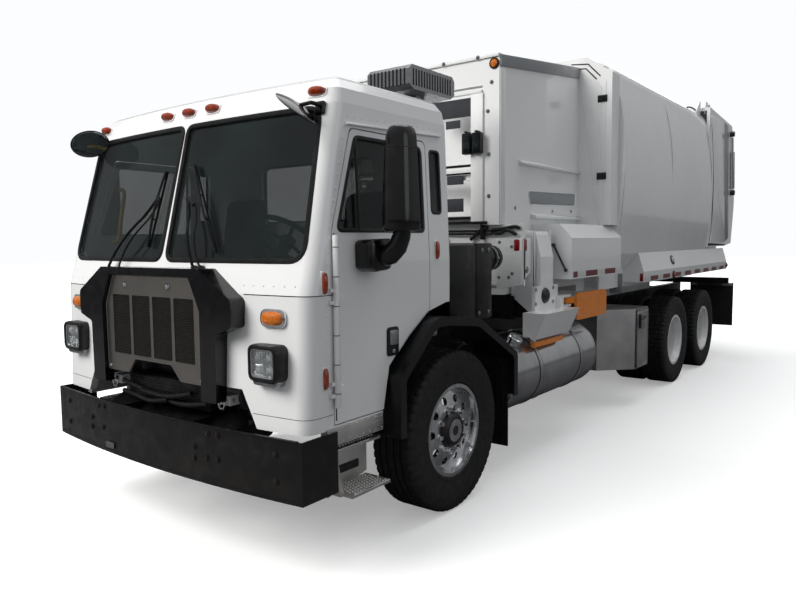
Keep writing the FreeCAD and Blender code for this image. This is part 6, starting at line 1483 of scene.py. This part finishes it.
class TRUCK_OT_intake_trim(Builder, bpy.types.Operator):
    """Air cleaner with its drum, ribs and band clamps, and the stack's clamps and hood slots drawn as
    near-black strips of painted shade
    """
    bl_idname = "truck.intake_trim"
    bl_label = "Intake and stack trim"
    BANDS = (0.650, 0.770)

    def execute(self, context):
        centre = at(0.960, 0, 1.626)
        case = merged([block(0.700, 1.090, 0.060, 0.400, 1.205, 1.730, 0.014),
                       block(0.712, 1.094, 0.396, 0.612, 1.205, 1.738, 0.012)])
        drum = lathe([(0.600, 0), (0.600, 0.092), (0.842, 0.092), (0.858, 0.085), (0.864, 0.066),
                      (0.856, 0.050), (0.856, 0)], centre, "Y", 48)
        cleaner = piece("air_cleaner_case", [case, drum], "black")
        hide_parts("air_cleaner")
        ribs = [lathe([(y - 0.006, 0.0915), (y - 0.004, 0.0965), (y + 0.004, 0.0965), (y + 0.006, 0.0915)],
                      centre, "Y", 48) for y in (0.680, 0.740, 0.800)]
        bolts_on = bolts([(1.094, y, z) for y, z in ((0.470, 1.690), (0.560, 1.690), (0.430, 1.250),
                                                     (0.560, 1.250))], LEFT, 0.010, 0.007)
        piece("air_cleaner_ribs", ribs, "black")
        bands = [lathe([(y - 0.008, 0.0920), (y - 0.008, 0.0950), (y + 0.008, 0.0950), (y + 0.008, 0.0920)],
                       centre, "Y", 48) for y in self.BANDS]
        studs = [block(1.040, 1.060, y - 0.016, y + 0.016, 1.618, 1.634, 0.002) for y in self.BANDS]
        piece("air_cleaner_bands", bands + studs + [bolts_on], "zinc")
        stack = at(0.600, 0.470, 0)
        clamps = [lathe([(z - 0.010, 0.0745), (z - 0.010, 0.0785), (z + 0.010, 0.0785), (z + 0.010, 0.0745)],
                        stack, "Z", 40) for z in (1.10, 1.55, 2.05, 2.60)]
        piece("stack_clamps", clamps, "zinc")
        # the hood's slots are thin near-black blocks: painted shade standing for the openings
        slots = [block(0.788, 0.7925, y, y + 0.012, 2.795, 2.905, 0.001)
                 for y in np.arange(0.080, 0.560, 0.032)]
        slots += [block(x, x + 0.012, 0.0375, 0.042, 2.795, 2.905, 0.001)
                  for x in np.arange(0.455, 0.770, 0.032)]
        piece("stack_hood_slots", slots, "net")
        return {"FINISHED"}


class TRUCK_OT_flap_trim(Builder, bpy.types.Operator):
    """Upright ribs on the mud flaps, their clamp bars and bolts"""
    bl_idname = "truck.flap_trim"
    bl_label = "Mud flap trim"

    def execute(self, context):
        ribs = []
        for x0, x1, y, z0, z1 in ((0.880, 1.180, 0.688, 0.270, 0.860), (0.580, 1.180, 8.048, 0.400, 0.990)):
            for x in np.arange(x0 + 0.030, x1 - 0.010, 0.045):
                ribs.append(block(x, x + 0.010, y - 0.0045, y + 0.001, z0, z1, 0.002))
        clamp = block(0.570, 1.190, 8.036, 8.049, 1.002, 1.046, 0.003)
        heads = [(x, 8.0355, 1.024) for x in (0.62, 0.80, 0.98, 1.14)]
        piece("mud_flap_ribs", both(ribs), "flap")
        piece("mud_flap_bars", both(clamp), "zinc")
        piece("mud_flap_bolts", both(bolts(heads, FRONT, 0.009, 0.006)), "zinc")
        return {"FINISHED"}


# ------------------------------------------------------------------ seats
CLOTH_FRAMES = 20


def swollen(name, shape, cap):
    """A stuffed cover: the shape is remeshed and blown out as cloth, and no point moves past the cap."""
    mesh = bpy.data.meshes.new(name)
    mesh.from_pydata(np.asarray(shape[0], float).tolist(), [], [tuple(f) for f in shape[1]])
    work = bmesh.new()
    work.from_mesh(mesh)
    bmesh.ops.remove_doubles(work, verts=work.verts, dist=1e-5)
    bmesh.ops.recalc_face_normals(work, faces=work.faces)
    work.to_mesh(mesh)
    work.free()
    made = bpy.data.objects.new(name, mesh)
    scene = bpy.context.scene
    scene.collection.objects.link(made)
    remesh = made.modifiers.new("remesh", "REMESH")
    remesh.mode, remesh.voxel_size = "VOXEL", 0.008
    made.data = bpy.data.meshes.new_from_object(made.evaluated_get(bpy.context.evaluated_depsgraph_get()))
    made.modifiers.clear()
    n = len(made.data.vertices)
    start = np.empty(n * 3)
    made.data.vertices.foreach_get("co", start)
    start = start.reshape(-1, 3)
    cloth = made.modifiers.new("cloth", "CLOTH")
    cloth.settings.quality = 5
    cloth.settings.use_pressure = True
    cloth.settings.uniform_pressure_force = 4.0
    cloth.settings.effector_weights.gravity = 0.0
    for number in range(1, CLOTH_FRAMES + 1):
        scene.frame_set(number)
    posed = made.evaluated_get(bpy.context.evaluated_depsgraph_get())
    end = np.empty(n * 3)
    posed.data.vertices.foreach_get("co", end)
    made.modifiers.clear()
    moved = end.reshape(-1, 3) - start
    far = np.linalg.norm(moved, axis=1, keepdims=True)
    start = start + moved * np.minimum(1.0, cap / np.maximum(far, 1e-9))
    scene.frame_set(1)
    made.data.vertices.foreach_set("co", start.ravel())
    finer = made.modifiers.new("finer", "SUBSURF")
    finer.levels = finer.render_levels = 1
    fine = bpy.data.meshes.new_from_object(made.evaluated_get(bpy.context.evaluated_depsgraph_get()))
    n = len(fine.vertices)
    points = np.empty(n * 3)
    fine.vertices.foreach_get("co", points)
    faces = [tuple(p.vertices) for p in fine.polygons]
    bpy.data.objects.remove(made)
    return points.reshape(-1, 3), faces


class TRUCK_OT_seats(Builder, bpy.types.Operator):
    """Stuffed seats: cushions and backs blown out as cloth, then sewn channels and piping"""
    bl_idname = "truck.seats"
    bl_label = "Seats"

    def execute(self, context):
        pad_line = rounded(rect(0.402, 0.838, -0.786 + AXLE_Y, -0.338 + AXLE_Y, 0.06), 6)
        cushion = swollen("cushion_start", slab(pad_line, 1.474, 1.572, "xy", 0.022), 0.012)
        p = cushion[0]
        for x in (0.500, 0.740):
            dip = np.exp(-((p[:, 0] - x) / 0.007) ** 2) * (p[:, 2] > 1.54)
            p[:, 2] -= 0.008 * dip
        back = slab(rounded([(0.400, 1.486, 0.05), (0.840, 1.486, 0.05), (0.826, 2.090, 0.09),
                             (0.414, 2.090, 0.09)], 8), -0.042, 0.042, "xz", 0.022)
        back = swollen("back_start", (self.leant(back[0]), back[1]), 0.010)
        q = back[0]
        for z in (1.640, 1.780, 1.920):
            dip = np.exp(-((q[:, 2] - z) / 0.007) ** 2) * (q[:, 1] < self.middle(q[:, 2]))
            q[:, 1] += 0.008 * dip
        for name, shape, node, fill in (("seat_pads", cushion, "seat_cushions", 0.8),
                                        ("seat_back_pads", back, "seat_backs", 0.8)):
            made = piece(name, both(shape), "cloth", "cab", smooth=60)
            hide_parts(node)
        edge = rounded(rect(0.394, 0.846, -0.794 + AXLE_Y, -0.330 + AXLE_Y, 0.06), 8)
        welt = tube(np.hstack([edge, np.full((len(edge), 1), 1.560)]), 0.004, 8, True)
        piece("seat_piping", both(welt), "gasket", "cab")
        return {"FINISHED"}

    def middle(self, z):
        """The back cushion's middle plane leans from y = -0.256 at its foot to -0.155 at its head."""
        return -0.256 + AXLE_Y + 0.101 * (z - 1.460) / 0.660

    def leant(self, points):
        p = np.array(points, float)
        p[:, 1] += self.middle(p[:, 2])
        return p


# ------------------------------------------------------------------ hopper and body
HOPPER_SIDE, TAILGATE_SIDE, FENDER_SIDE = 0.850, 1.180, 1.220


def boxes(rows, bevel=0.003):
    """Bevelled boxes from rows of x0, x1, y0, y1, z0, z1."""
    return merged([block(*row, bevel=bevel) for row in rows])


def lamp_set(name, centre, normal, radius, finish):
    """A round lamp: black rubber ring and domed lens, facing along the normal."""
    ring = lathe([(-0.004, 0), (-0.004, radius * 1.22), (0.008, radius * 1.18), (0.012, radius),
                  (0.004, radius * 0.96), (0.004, 0)], sides=36)
    spots, n = line_at([centre]), np.array([normal], float)
    piece(name + "_ring", set_on(ring, spots, n), "gasket")
    lens_shape = dome(radius * 0.95, 0.020, 32)
    piece(name + "_lens", set_on(lens_shape, spots + n * 0.004, n), finish)


def taped(name, runs):
    """Reflective tape: 0.8 mm strips between two points each, on the face whose outward vector is given."""
    width = bpy.context.scene.truck_sizes.tape
    strips = [ribbon(dense(line_at(run[:2]), 0.3, False), run[2], width, 0.0008) for run in runs]
    piece(name, strips, "tape")


class TRUCK_OT_header_trim(Builder, bpy.types.Operator):
    """Hopper header: cross rails, lattice openings drawn as dark grey plates of painted shade, bolts, work
    lamps and amber markers
    """
    bl_idname = "truck.header_trim"
    bl_label = "Hopper header trim"
    WORK_LAMPS = (0.545, 0.640)

    def execute(self, context):
        rails = boxes([(-0.700, 0.700, 1.128, 1.152, 2.925, 2.952),
                       (-0.850, 0.850, 1.132, 1.152, 3.188, 3.215),
                       (0.600, 0.710, 1.130, 1.160, 1.905, 2.925),
                       (-0.710, -0.600, 1.130, 1.160, 1.905, 2.925)])
        piece("header_rails", rails, "white")
        bars = boxes([(-0.600, 0.600, 1.126, 1.150, 1.927, 1.951),
                      (-0.745, 0.745, 1.128, 1.150, 1.888, 1.910),
                      (-0.600, 0.600, 1.134, 1.152, 2.352, 2.372),
                      (-0.600, 0.600, 1.134, 1.152, 2.294, 2.308)], 0.003)
        piece("header_bars", bars, "matt_black")
        # the lattice openings are thin dark grey plates: painted shade standing for the shadow inside each
        # opening
        openings = boxes([(0.210, 0.596, 1.147, 1.1512, 2.757, 2.904),
                          (0.350, 0.490, 1.147, 1.1512, 2.673, 2.738),
                          (0.360, 0.520, 1.147, 1.1512, 2.216, 2.290),
                          (0.360, 0.520, 1.147, 1.1512, 1.992, 2.101)], 0.001)
        piece("header_openings", both(openings), "floor_grey")
        heads = [(x, 1.1492, z) for x, z in ((0.782, 3.146), (0.782, 2.999), (0.748, 2.778), (0.757, 2.109),
                                             (0.757, 2.440))]
        heads += [(-x, y, z) for x, y, z in heads]
        heads += [(x, 1.1312, 3.202) for x in (-0.665, -0.341, 0.016, 0.341, 0.665)]
        piece("header_bolts", bolts(heads, FRONT, 0.011, 0.008), "zinc")
        cases = [block(x, x + 0.082, 1.075, 1.132, 2.445, 2.615, 0.012) for x in self.WORK_LAMPS]
        brackets = [block(x + 0.030, x + 0.052, 1.070, 1.150, 2.615, 2.628, 0.003) for x in self.WORK_LAMPS]
        piece("work_lamp_cases", both(cases + brackets), "matt_black")
        glass = [set_on(pad(0.066, 0.150, 0.014, 0.004, 0.0015), at(x + 0.041, 1.0745, 2.530), FRONT)
                 for x in self.WORK_LAMPS]
        piece("work_lamp_lenses", both(glass), "glass")
        for name, s in SIDES:
            lamp_set("header_marker_" + name, (s * 0.806, 1.148, 3.140), FRONT, 0.036, "amber")
        return {"FINISHED"}


class TRUCK_OT_hopper_trim(Builder, bpy.types.Operator):
    """Hopper walls: corner posts, ledges, pockets and bolts; the top bands and pocket floors are painted grey
    as painted shade
    """
    bl_idname = "truck.hopper_trim"
    bl_label = "Hopper trim"

    def execute(self, context):
        x = HOPPER_SIDE
        # the top band is painted grey: painted shade standing for the wall's shaded face under the top rail
        band = plate_yz([(1.160, 3.115, 0.004), (2.690, 3.288, 0.004), (2.690, 3.385, 0.004),
                         (1.160, 3.205, 0.004)], x - 0.001, 0.014)
        post = plate_yz([(1.160, 1.900, 0.004), (1.235, 1.900, 0.004), (1.235, 3.112, 0.004),
                         (1.160, 3.104, 0.004)], x - 0.001, 0.010)
        ledge = slab(rounded([(x - 0.002, 2.376, 0.002), (x + 0.040, 2.384, 0.006), (x + 0.040, 2.399, 0.006),
                              (x - 0.002, 2.420, 0.002)]), 1.477 + AXLE_Y, 2.690 + AXLE_Y, "xz", 0.003)
        lower = slab(rounded([(x - 0.002, 1.985, 0.002), (x + 0.052, 1.965, 0.006), (x + 0.052, 1.945, 0.006),
                              (x - 0.002, 1.935, 0.002)]), 1.700 + AXLE_Y, 2.690 + AXLE_Y, "xz", 0.003)
        piece("hopper_side_frames", [both([post, ledge, lower])], "white")
        piece("hopper_top_bands", both(band), "grey")
        rim = dense(rounded([(1.690 + AXLE_Y, 2.056, 0.03), (2.640 + AXLE_Y, 2.074, 0.03),
                             (2.650 + AXLE_Y, 2.196, 0.03), (1.645 + AXLE_Y, 2.172, 0.03)], 6), 0.08)
        fold = tube(np.hstack([np.full((len(rim), 1), x + 0.001), rim]), 0.006, 8, True)
        # the pocket's floor is a grey sheet: painted shade that makes the pocket look dark and recessed
        fill = slab(inset(rim, 0.004), x - 0.001, x + 0.0012, "yz", 0.0004)
        piece("hopper_pockets", both(fold), "white")
        piece("hopper_pocket_floors", both(fill), "grey")
        heads = [(x + 0.001, y, z) for y, z in ((1.420, 2.020), (2.138, 2.012), (2.552, 2.022))]
        heads += [(x + 0.001, 1.198, z) for z in (2.250, 2.650, 3.020, 1.960)]
        piece("hopper_bolts", both(bolts(heads, LEFT, 0.010, 0.007)), "zinc")
        return {"FINISHED"}


class TRUCK_OT_front_plates(Builder, bpy.types.Operator):
    """Lamp plates at the hopper's foot with their reflectors, and the hose bundle that crosses its apron"""
    bl_idname = "truck.front_plates"
    bl_label = "Front plates and hoses"
    FACE = 1.158

    def execute(self, context):
        face = plate_xz([(0.825, 1.360, 0.012), (1.050, 1.405, 0.012), (1.050, 1.772, 0.012),
                         (0.825, 1.772, 0.012)], self.FACE, 0.010)
        cheek = plate_yz([(1.160, 1.420, 0.006), (1.310, 1.500, 0.030), (1.310, 1.772, 0.006),
                          (1.160, 1.772, 0.006)], 1.040, 0.010)
        piece("lamp_plates", [both(face), cheek], "white")
        red = set_on(bulge(0.050, 0.092, 0.008, 6.0, 6, 32), at(1.004, self.FACE, 1.716), FRONT)
        second = set_on(bulge(0.050, 0.092, 0.008, 6.0, 6, 32), at(1.050, 1.215, 1.716), (1, 0, 0))
        piece("plate_reflectors", [both(red), second], "red")
        heads = [(x, self.FACE, z) for x, z in ((0.959, 1.704), (0.964, 1.492), (0.934, 1.461),
                                                (0.845, 1.459), (0.850, 1.740))]
        piece("plate_bolts", both(bolts(heads, FRONT, 0.009, 0.007)), "zinc")
        eye = lathe([(1.050, 0), (1.050, 0.028), (1.058, 0.026), (1.058, 0.013), (1.062, 0.012), (1.062, 0)],
                    at(0, 1.232, 1.520), "X", 28)
        piece("plate_eye", eye, "zinc")
        r = context.scene.truck_sizes.hose
        runs = []
        for dz, dy, sag in ((0.0, 0.0, 0.015), (-0.026, 0.004, 0.030)):
            y = 1.172 - dy
            runs.append([(-0.760, y, 1.842 + dz), (-0.300, y - 0.006, 1.838 + dz - sag),
                         (0.100, y, 1.842 + dz), (0.340, y, 1.836 + dz), (0.557, y - 0.004, 1.834 + dz),
                         (0.773, y, 1.838 + dz - 0.3 * sag)])
        bundle = hoses(runs, r * 0.65)
        tails = hoses([
            [(0.773, 1.172, 1.838), (0.870, 1.168, 1.846), (0.980, 1.168, 1.862), (1.020, 1.180, 1.850)],
            [(0.773, 1.168, 1.812), (0.857, 1.160, 1.812), (0.925, 1.150, 1.835), (1.000, 1.160, 1.800)],
            [(0.579, 1.166, 1.764), (0.620, 1.160, 1.790), (0.652, 1.164, 1.826), (0.740, 1.164, 1.862)],
            [(0.340, 1.172, 1.770), (0.330, 1.160, 1.640), (0.345, 1.165, 1.480)],
            [(-0.420, 1.172, 1.780), (-0.405, 1.160, 1.640), (-0.425, 1.165, 1.470)]], r)
        piece("apron_hoses", [bundle, tails], "hose")
        clips = boxes([(x - 0.014, x + 0.014, 1.150, 1.191, 1.762, 1.886)
                       for x in (-0.640, -0.100, 0.230, 0.690)], 0.004)
        piece("apron_hose_clips", clips, "matt_black")
        fits = [lathe([(z, 0), (z, r * 1.35), (z + 0.045, r * 1.35), (z + 0.045, 0)], at(x, 1.165, 0), "Z", 6)
                for x, z in ((0.345, 1.430), (-0.425, 1.420))]
        piece("apron_hose_fittings", fits, "zinc")
        return {"FINISHED"}


class TRUCK_OT_bulkhead_trim(Builder, bpy.types.Operator):
    """Bulkhead front: folded edges, grooves drawn as black strips of painted shade, and black corner brackets
    """
    bl_idname = "truck.bulkhead_trim"
    bl_label = "Bulkhead trim"
    FACE = 2.6995

    def execute(self, context):
        y = self.FACE
        # the grooves are raised black strips: painted shade standing for the shadow in each groove
        grooves = self.strips((((0.776, 3.430), (0.944, 3.411), (1.066, 3.283)),
                               ((0.769, 3.385), (0.922, 3.372), (1.029, 3.260))), 0.012, 0.0015)
        folds = self.strips((((0.870, 3.284), (1.073, 1.897)), ((1.117, 3.230), (1.117, 1.897)),
                             ((1.029, 3.240), (1.073, 3.180), (1.073, 1.897))), 0.014, 0.005)
        piece("bulkhead_grooves", both(grooves), "hub")
        piece("bulkhead_folds", both(folds), "white")
        rows = [(1.045, 1.135, y - 0.012, y, z, z + 0.065) for z in (3.040, 2.320)]
        piece("bulkhead_brackets", both(boxes(rows, 0.004)), "matt_black")
        return {"FINISHED"}

    def strips(self, lines, width, thick):
        """Strips lying on the bulkhead's front, along lines of (x, z)."""
        return merged([ribbon(line_at([(x, self.FACE, z) for x, z in line]), FRONT, width, thick)
                       for line in lines])


SECTION = [(1.000, 1.440), (1.160, 1.610), (1.206, 1.900), (1.232, 2.200), (1.240, 2.480), (1.230, 2.760),
           (1.200, 3.020), (1.135, 3.290), (0.950, 3.460), (0.600, 3.500), (0.000, 3.520)]


def barrel_line(y, grow, first=0):
    """A line round the barrel at one y, from sill to crown: its section drawn soft and moved out by grow."""
    p = smooth_line([(x, z) for x, z in SECTION[1:8]], 8)
    p = np.vstack([SECTION[:1], p, SECTION[8:]])
    t = np.gradient(p, axis=0)
    n = np.stack([-t[:, 1], t[:, 0]], 1) * -1
    n /= np.linalg.norm(n, axis=1)[:, None]
    q = p + n * grow
    path = np.stack([q[:, 0], np.full(len(q), y + AXLE_Y), q[:, 1]], 1)
    return path[first:], np.stack([n[:, 0], np.zeros(len(n)), n[:, 1]], 1)[first:]


class TRUCK_OT_barrel_trim(Builder, bpy.types.Operator):
    """Load body: a collar at each end, the folded end plate and the weld seams"""
    bl_idname = "truck.barrel_trim"
    bl_label = "Barrel trim"

    def execute(self, context):
        collars = [ribbon(*barrel_line(y, 0.0, 1), 0.050, 0.006) for y in (2.925, 6.335)]
        piece("barrel_collars", both(collars), "white")
        rings = [barrel_line(y, grow)[0]
                 for y, grow in ((2.901, -0.001), (2.901, -0.080), (2.907, -0.080), (2.907, -0.001))]
        piece("barrel_end_plate", both(grid(np.array(rings), True, False)), "white")
        seam = ribbon(*barrel_line(4.500, 0.0, 1), 0.030, 0.0045)
        ridge = ribbon(line_at([(0.948, 2.95, 3.459), (0.948, 6.31, 3.459)]), (0.2, 0, 1.0), 0.03, 0.004)
        piece("barrel_welds", both([seam, ridge]), "white")
        return {"FINISHED"}


class TRUCK_OT_tailgate_trim(Builder, bpy.types.Operator):
    """Tailgate: flat side panels, grey strips of painted shade, lock cylinders, seals, lift brackets and
    hoses
    """
    bl_idname = "truck.tailgate_trim"
    bl_label = "Tailgate trim"

    def execute(self, context):
        x = TAILGATE_SIDE
        panel = plate_yz([(6.625, 1.700, 0.02), (7.400, 1.700, 0.02), (7.180, 3.420, 0.02),
                          (6.425, 3.420, 0.05), (6.420, 2.960, 0.05), (6.625, 2.585, 0.10)], x - 0.001, 0.012)
        piece("tailgate_panels", both(panel), "white", "tailgate")
        # the grey strip is painted shade, standing for the shaded recessed band behind the side panel
        strip = plate_yz([(7.425, 1.700, 0.01), (7.660, 1.760, 0.02), (7.455, 3.400, 0.02),
                          (7.205, 3.420, 0.01)], x - 0.001, 0.008)
        piece("tailgate_strips", both(strip), "grey", "tailgate")
        rod = [tube(line_at([(x + 0.030, 7.728, 2.500), (x + 0.030, 7.660, 3.040)]), 0.030, 24),
               tube(line_at([(x + 0.030, 7.662, 3.020), (x + 0.030, 7.634, 3.250)]), 0.016, 20)]
        piece("tailgate_cylinders", both(rod), "rod", "tailgate")
        ends = [lathe([(x - 0.002, 0), (x - 0.002, 0.040), (x + 0.055, 0.040), (x + 0.058, 0.036),
                       (x + 0.058, 0)], at(0, y, z), "X", 28) for y, z in ((7.623, 3.300), (7.742, 2.440))]
        piece("tailgate_cylinder_pins", both(ends), "hub", "tailgate")
        curve = smooth_line([(x + 0.010, 6.425, 3.300), (x + 0.010, 6.545, 2.950), (x + 0.010, 6.612, 2.585),
                             (x + 0.010, 6.606, 2.101), (x + 0.010, 6.470, 1.700)]) + (0, AXLE_Y, 0)
        piece("tailgate_front_seals", both(ribbon(curve, LEFT, 0.014, 0.004)), "gasket", "tailgate")
        wedge = plate_yz([(6.470, 1.652, 0.004), (7.443, 1.652, 0.004), (7.443, 1.668, 0.004),
                          (6.470, 1.690, 0.004)], x - 0.001, 0.010)
        piece("tailgate_seals", both(wedge), "gasket", "tailgate")
        ear = plate_yz([(6.400, 3.440, 0.015), (6.880, 3.500, 0.02), (6.660, 3.590, 0.03),
                        (6.440, 3.618, 0.02)], 1.096, 0.012)
        pins = [lathe([(1.088, 0), (1.088, 0.022), (1.118, 0.022), (1.120, 0.019), (1.120, 0)], at(0, y, z),
                      "X", 20) for y, z in ((6.560, 3.572), (6.470, 3.470))]
        piece("tailgate_ears", both(ear), "white", "tailgate")
        piece("tailgate_ear_pins", both(pins), "rod", "tailgate")
        loop = hoses([[(1.060, 5.640, 3.395), (1.040, 5.800, 3.452), (1.030, 6.110, 3.480),
                       (1.045, 6.300, 3.440)]], 0.010)
        fixed = plate_yz([(6.090, 3.405, 0.015), (6.350, 3.405, 0.01), (6.350, 3.600, 0.02),
                          (6.310, 3.600, 0.02)], 1.050, 0.012)
        piece("lift_brackets", both(fixed), "white")
        piece("lift_hoses", both(loop), "hose")
        return {"FINISHED"}


class TRUCK_OT_rear_trim(Builder, bpy.types.Operator):
    """Stop, turn and reversing lamps in the tail bar, and the tailgate's stiffeners and markers"""
    bl_idname = "truck.rear_trim"
    bl_label = "Rear trim"

    def execute(self, context):
        for name, s in SIDES:
            for k, (x, finish) in enumerate(((0.760, "red"), (0.900, "clear"), (1.040, "amber"))):
                lamp_set("tail_lamp_%s_%d" % (name, k), (s * x, 7.960, 1.096), (0, 1, 0), 0.034, finish)
        back = rounded([(7.866, 1.705), (8.010, 2.300, 0.5), (7.860, 3.150, 0.3), (7.770, 3.360)], 8)
        ribs = [ribbon(np.hstack([np.full((len(back), 1), x), back + (AXLE_Y, 0)]), (0, 1.0, 0.1), 0.070,
                       0.012) for x in (-0.720, 0.0, 0.720)]
        piece("tailgate_stiffeners", ribs, "white", "tailgate")
        spots = line_at([(x, 7.862, 3.100) for x in (-0.30, -0.15, 0.15, 0.30)])
        piece("tailgate_markers", set_on(bulge(0.060, 0.030, 0.012, 4.0, 6, 24), spots,
                                         np.broadcast_to((0, 0.9, 0.3), spots.shape)), "red", "tailgate")
        return {"FINISHED"}


class TRUCK_OT_fender_trim(Builder, bpy.types.Operator):
    """Body fenders: reflective tape, side lamps, reflectors and the front hanger bracket"""
    bl_idname = "truck.fender_trim"
    bl_label = "Fender trim"

    def execute(self, context):
        x = FENDER_SIDE
        runs = [((s * x, 3.640, 1.332), (s * x, 7.390, 1.332), (float(s), 0, 0)) for _, s in SIDES]
        taped("fender_tape", runs)
        for name, s in SIDES:
            lamp_set("side_lamp_" + name, (s * 1.221, 4.690, 1.384 - 0.052), (s, 0, 0), 0.040, "red")
            lamp_set("side_lamp_rear_" + name, (s * 1.221, 7.405, 1.355), (s, 0, 0), 0.030, "red")
            lamp_set("slope_lamp_" + name, (s * 1.192, 4.720, 1.505), (s * 0.958, 0, 0.287), 0.046, "diode")
        bracket = plate_xz(rect(0.914, 1.050, 1.185, 1.395, 0.01), 3.440, 0.008)
        # the hanger's slot is a near-black plate: painted shade standing for the hole
        hole = plate_xz(rect(0.955, 0.979, 1.232, 1.305, 0.012), 3.4390, 0.004, 0.001)
        piece("fender_hangers", both(bracket), "grey")
        piece("fender_hanger_slots", both(hole), "net")
        red = plate_xz(rect(1.180, 1.214, 1.310, 1.392, 0.004), 3.5955, 0.006, 0.001)
        piece("fender_reflectors", both(red), "red")
        return {"FINISHED"}


class TRUCK_OT_side_box_trim(Builder, bpy.types.Operator):
    """Side boxes: reflective tape, the stay rod with its ball ends and two black fittings"""
    bl_idname = "truck.side_box_trim"
    bl_label = "Side box trim"

    def execute(self, context):
        x = FENDER_SIDE
        taped("side_box_tape", [((x, 1.760, 1.462), (x, 2.885, 1.462), LEFT),
                                ((-x, 1.260, 1.462), (-x, 2.885, 1.462), (-1.0, 0, 0))])
        stay = tube(line_at([(1.063, 1.706, 1.712), (1.174, 1.706, 1.501)]), 0.008, 12)
        link = tube(line_at([(0.921, 1.708, 1.726), (1.060, 1.708, 1.713)]), 0.006, 10)
        half = [(0.016 * math.sin(a), 0.016 * math.cos(a)) for a in np.linspace(-1.5708, 1.5708, 9)]
        balls = [lathe(half, at(px, 1.706, pz), "Y", 20)
                 for px, pz in ((1.063, 1.712), (1.174, 1.501), (0.921, 1.726))]
        piece("side_box_stay", [stay, link] + balls, "hub")
        rows = [(0.877, 0.963, 1.700, 1.7215, 1.752, 1.788), (0.944, 1.001, 1.704, 1.7215, 1.512, 1.534)]
        piece("side_box_fittings", boxes(rows, 0.005), "matt_black")
        return {"FINISHED"}


class TRUCK_OT_arm_trim(Builder, bpy.types.Operator):
    """Lifting arm: the mast's round cap and bolts, and the fingers' rivets and pin head"""
    bl_idname = "truck.arm_trim"
    bl_label = "Arm trim"

    def execute(self, context):
        cap = lathe([(0, 0), (0, 0.064), (0.008, 0.062), (0.020, 0.054), (0.030, 0.036), (0.034, 0.0)],
                    sides=40)
        piece("mast_cap", set_on(cap, at(1.107, 1.453, 1.304), (1, 0, 0)), "hub", "arm_boom")
        heads = [(1.1072, y, z) for y in (1.290, 1.610) for z in (1.245, 1.360)]
        piece("mast_bolts", bolts(heads, LEFT, 0.011, 0.008), "zinc", "arm_boom")
        rows = [(y, z) for y in (1.940, 2.080, 2.230, 2.380, 2.520) for z in (1.105, 1.250)]
        spots = line_at([(1.1942, y, z) for y, z in rows])
        piece("finger_rivets_rear", rivets(spots, np.broadcast_to(LEFT, spots.shape), 1.1), "zinc",
              "finger_rear")
        pin = lathe([(0.9605, 0), (0.9605, 0.026), (0.966, 0.026), (0.969, 0.022), (0.969, 0)],
                    at(1.160, 1.155, 0), "Z", 24)
        piece("finger_pin_front", pin, "rod", "finger_front")
        return {"FINISHED"}


class TRUCK_OT_frame_trim(Builder, bpy.types.Operator):
    """Bands on the air tanks, straps on the battery cover and the pillar's grab handle"""
    bl_idname = "truck.frame_trim"
    bl_label = "Frame trim"

    def execute(self, context):
        bands = [lathe([(y - 0.014, 0.1245), (y - 0.014, 0.1275), (y + 0.014, 0.1275), (y + 0.014, 0.1245)],
                       at(-0.760, 0, z), "Y", 36) for y in (2.050, 2.740) for z in (0.600, 0.880)]
        piece("air_tank_bands", bands, "stainless")
        ys = (0.880, 1.380)
        straps = boxes([(-1.135, -1.126, y - 0.016, y + 0.016, 0.500, 0.985) for y in ys]
                       + [(-1.132, -0.520, y - 0.016, y + 0.016, 0.978, 0.985) for y in ys], 0.002)
        piece("battery_straps", straps, "zinc")
        grip = smooth_line([(-1.010, -1.068, 1.760), (-0.985, -1.030, 1.790), (-0.980, -1.005, 1.950),
                            (-0.990, -0.970, 2.110), (-1.018, -0.985, 2.140)], 8) + (0, AXLE_Y, 0)
        piece("pillar_grab_handle", tube(grip, 0.014, 14), "yellow", "cab")
        return {"FINISHED"}


class TRUCK_PT_panel(bpy.types.Panel):
    """Colours, sizes and building steps in the sidebar"""
    bl_idname = "TRUCK_PT_panel"
    bl_label = "Garbage truck"
    bl_space_type = "VIEW_3D"
    bl_region_type = "UI"
    bl_category = "Truck"

    def draw(self, context):
        for group in (context.scene.truck_colours, context.scene.truck_sizes):
            box = self.layout.box()
            for name in group.bl_rna.properties.keys():
                if name not in ("rna_type", "name"):
                    box.prop(group, name)
        for step in STEPS:
            self.layout.operator(step.bl_idname)


STEPS = tuple(Builder.__subclasses__())


def register():
    for group in (TruckColours, TruckSizes):
        bpy.utils.register_class(group)
    bpy.types.Scene.truck_colours = bpy.props.PointerProperty(type=TruckColours)
    bpy.types.Scene.truck_sizes = bpy.props.PointerProperty(type=TruckSizes)
    for step in STEPS:
        bpy.utils.register_class(step)
    bpy.utils.register_class(TRUCK_PT_panel)


def unregister():
    bpy.utils.unregister_class(TRUCK_PT_panel)
    for step in reversed(STEPS):
        bpy.utils.unregister_class(step)
    del bpy.types.Scene.truck_sizes
    del bpy.types.Scene.truck_colours
    for group in (TruckSizes, TruckColours):
        bpy.utils.unregister_class(group)


def main():
    register()
    for step in STEPS:
        family, name = step.bl_idname.split(".")
        getattr(getattr(bpy.ops, family), name)()


if __name__ == "__main__":
    main()
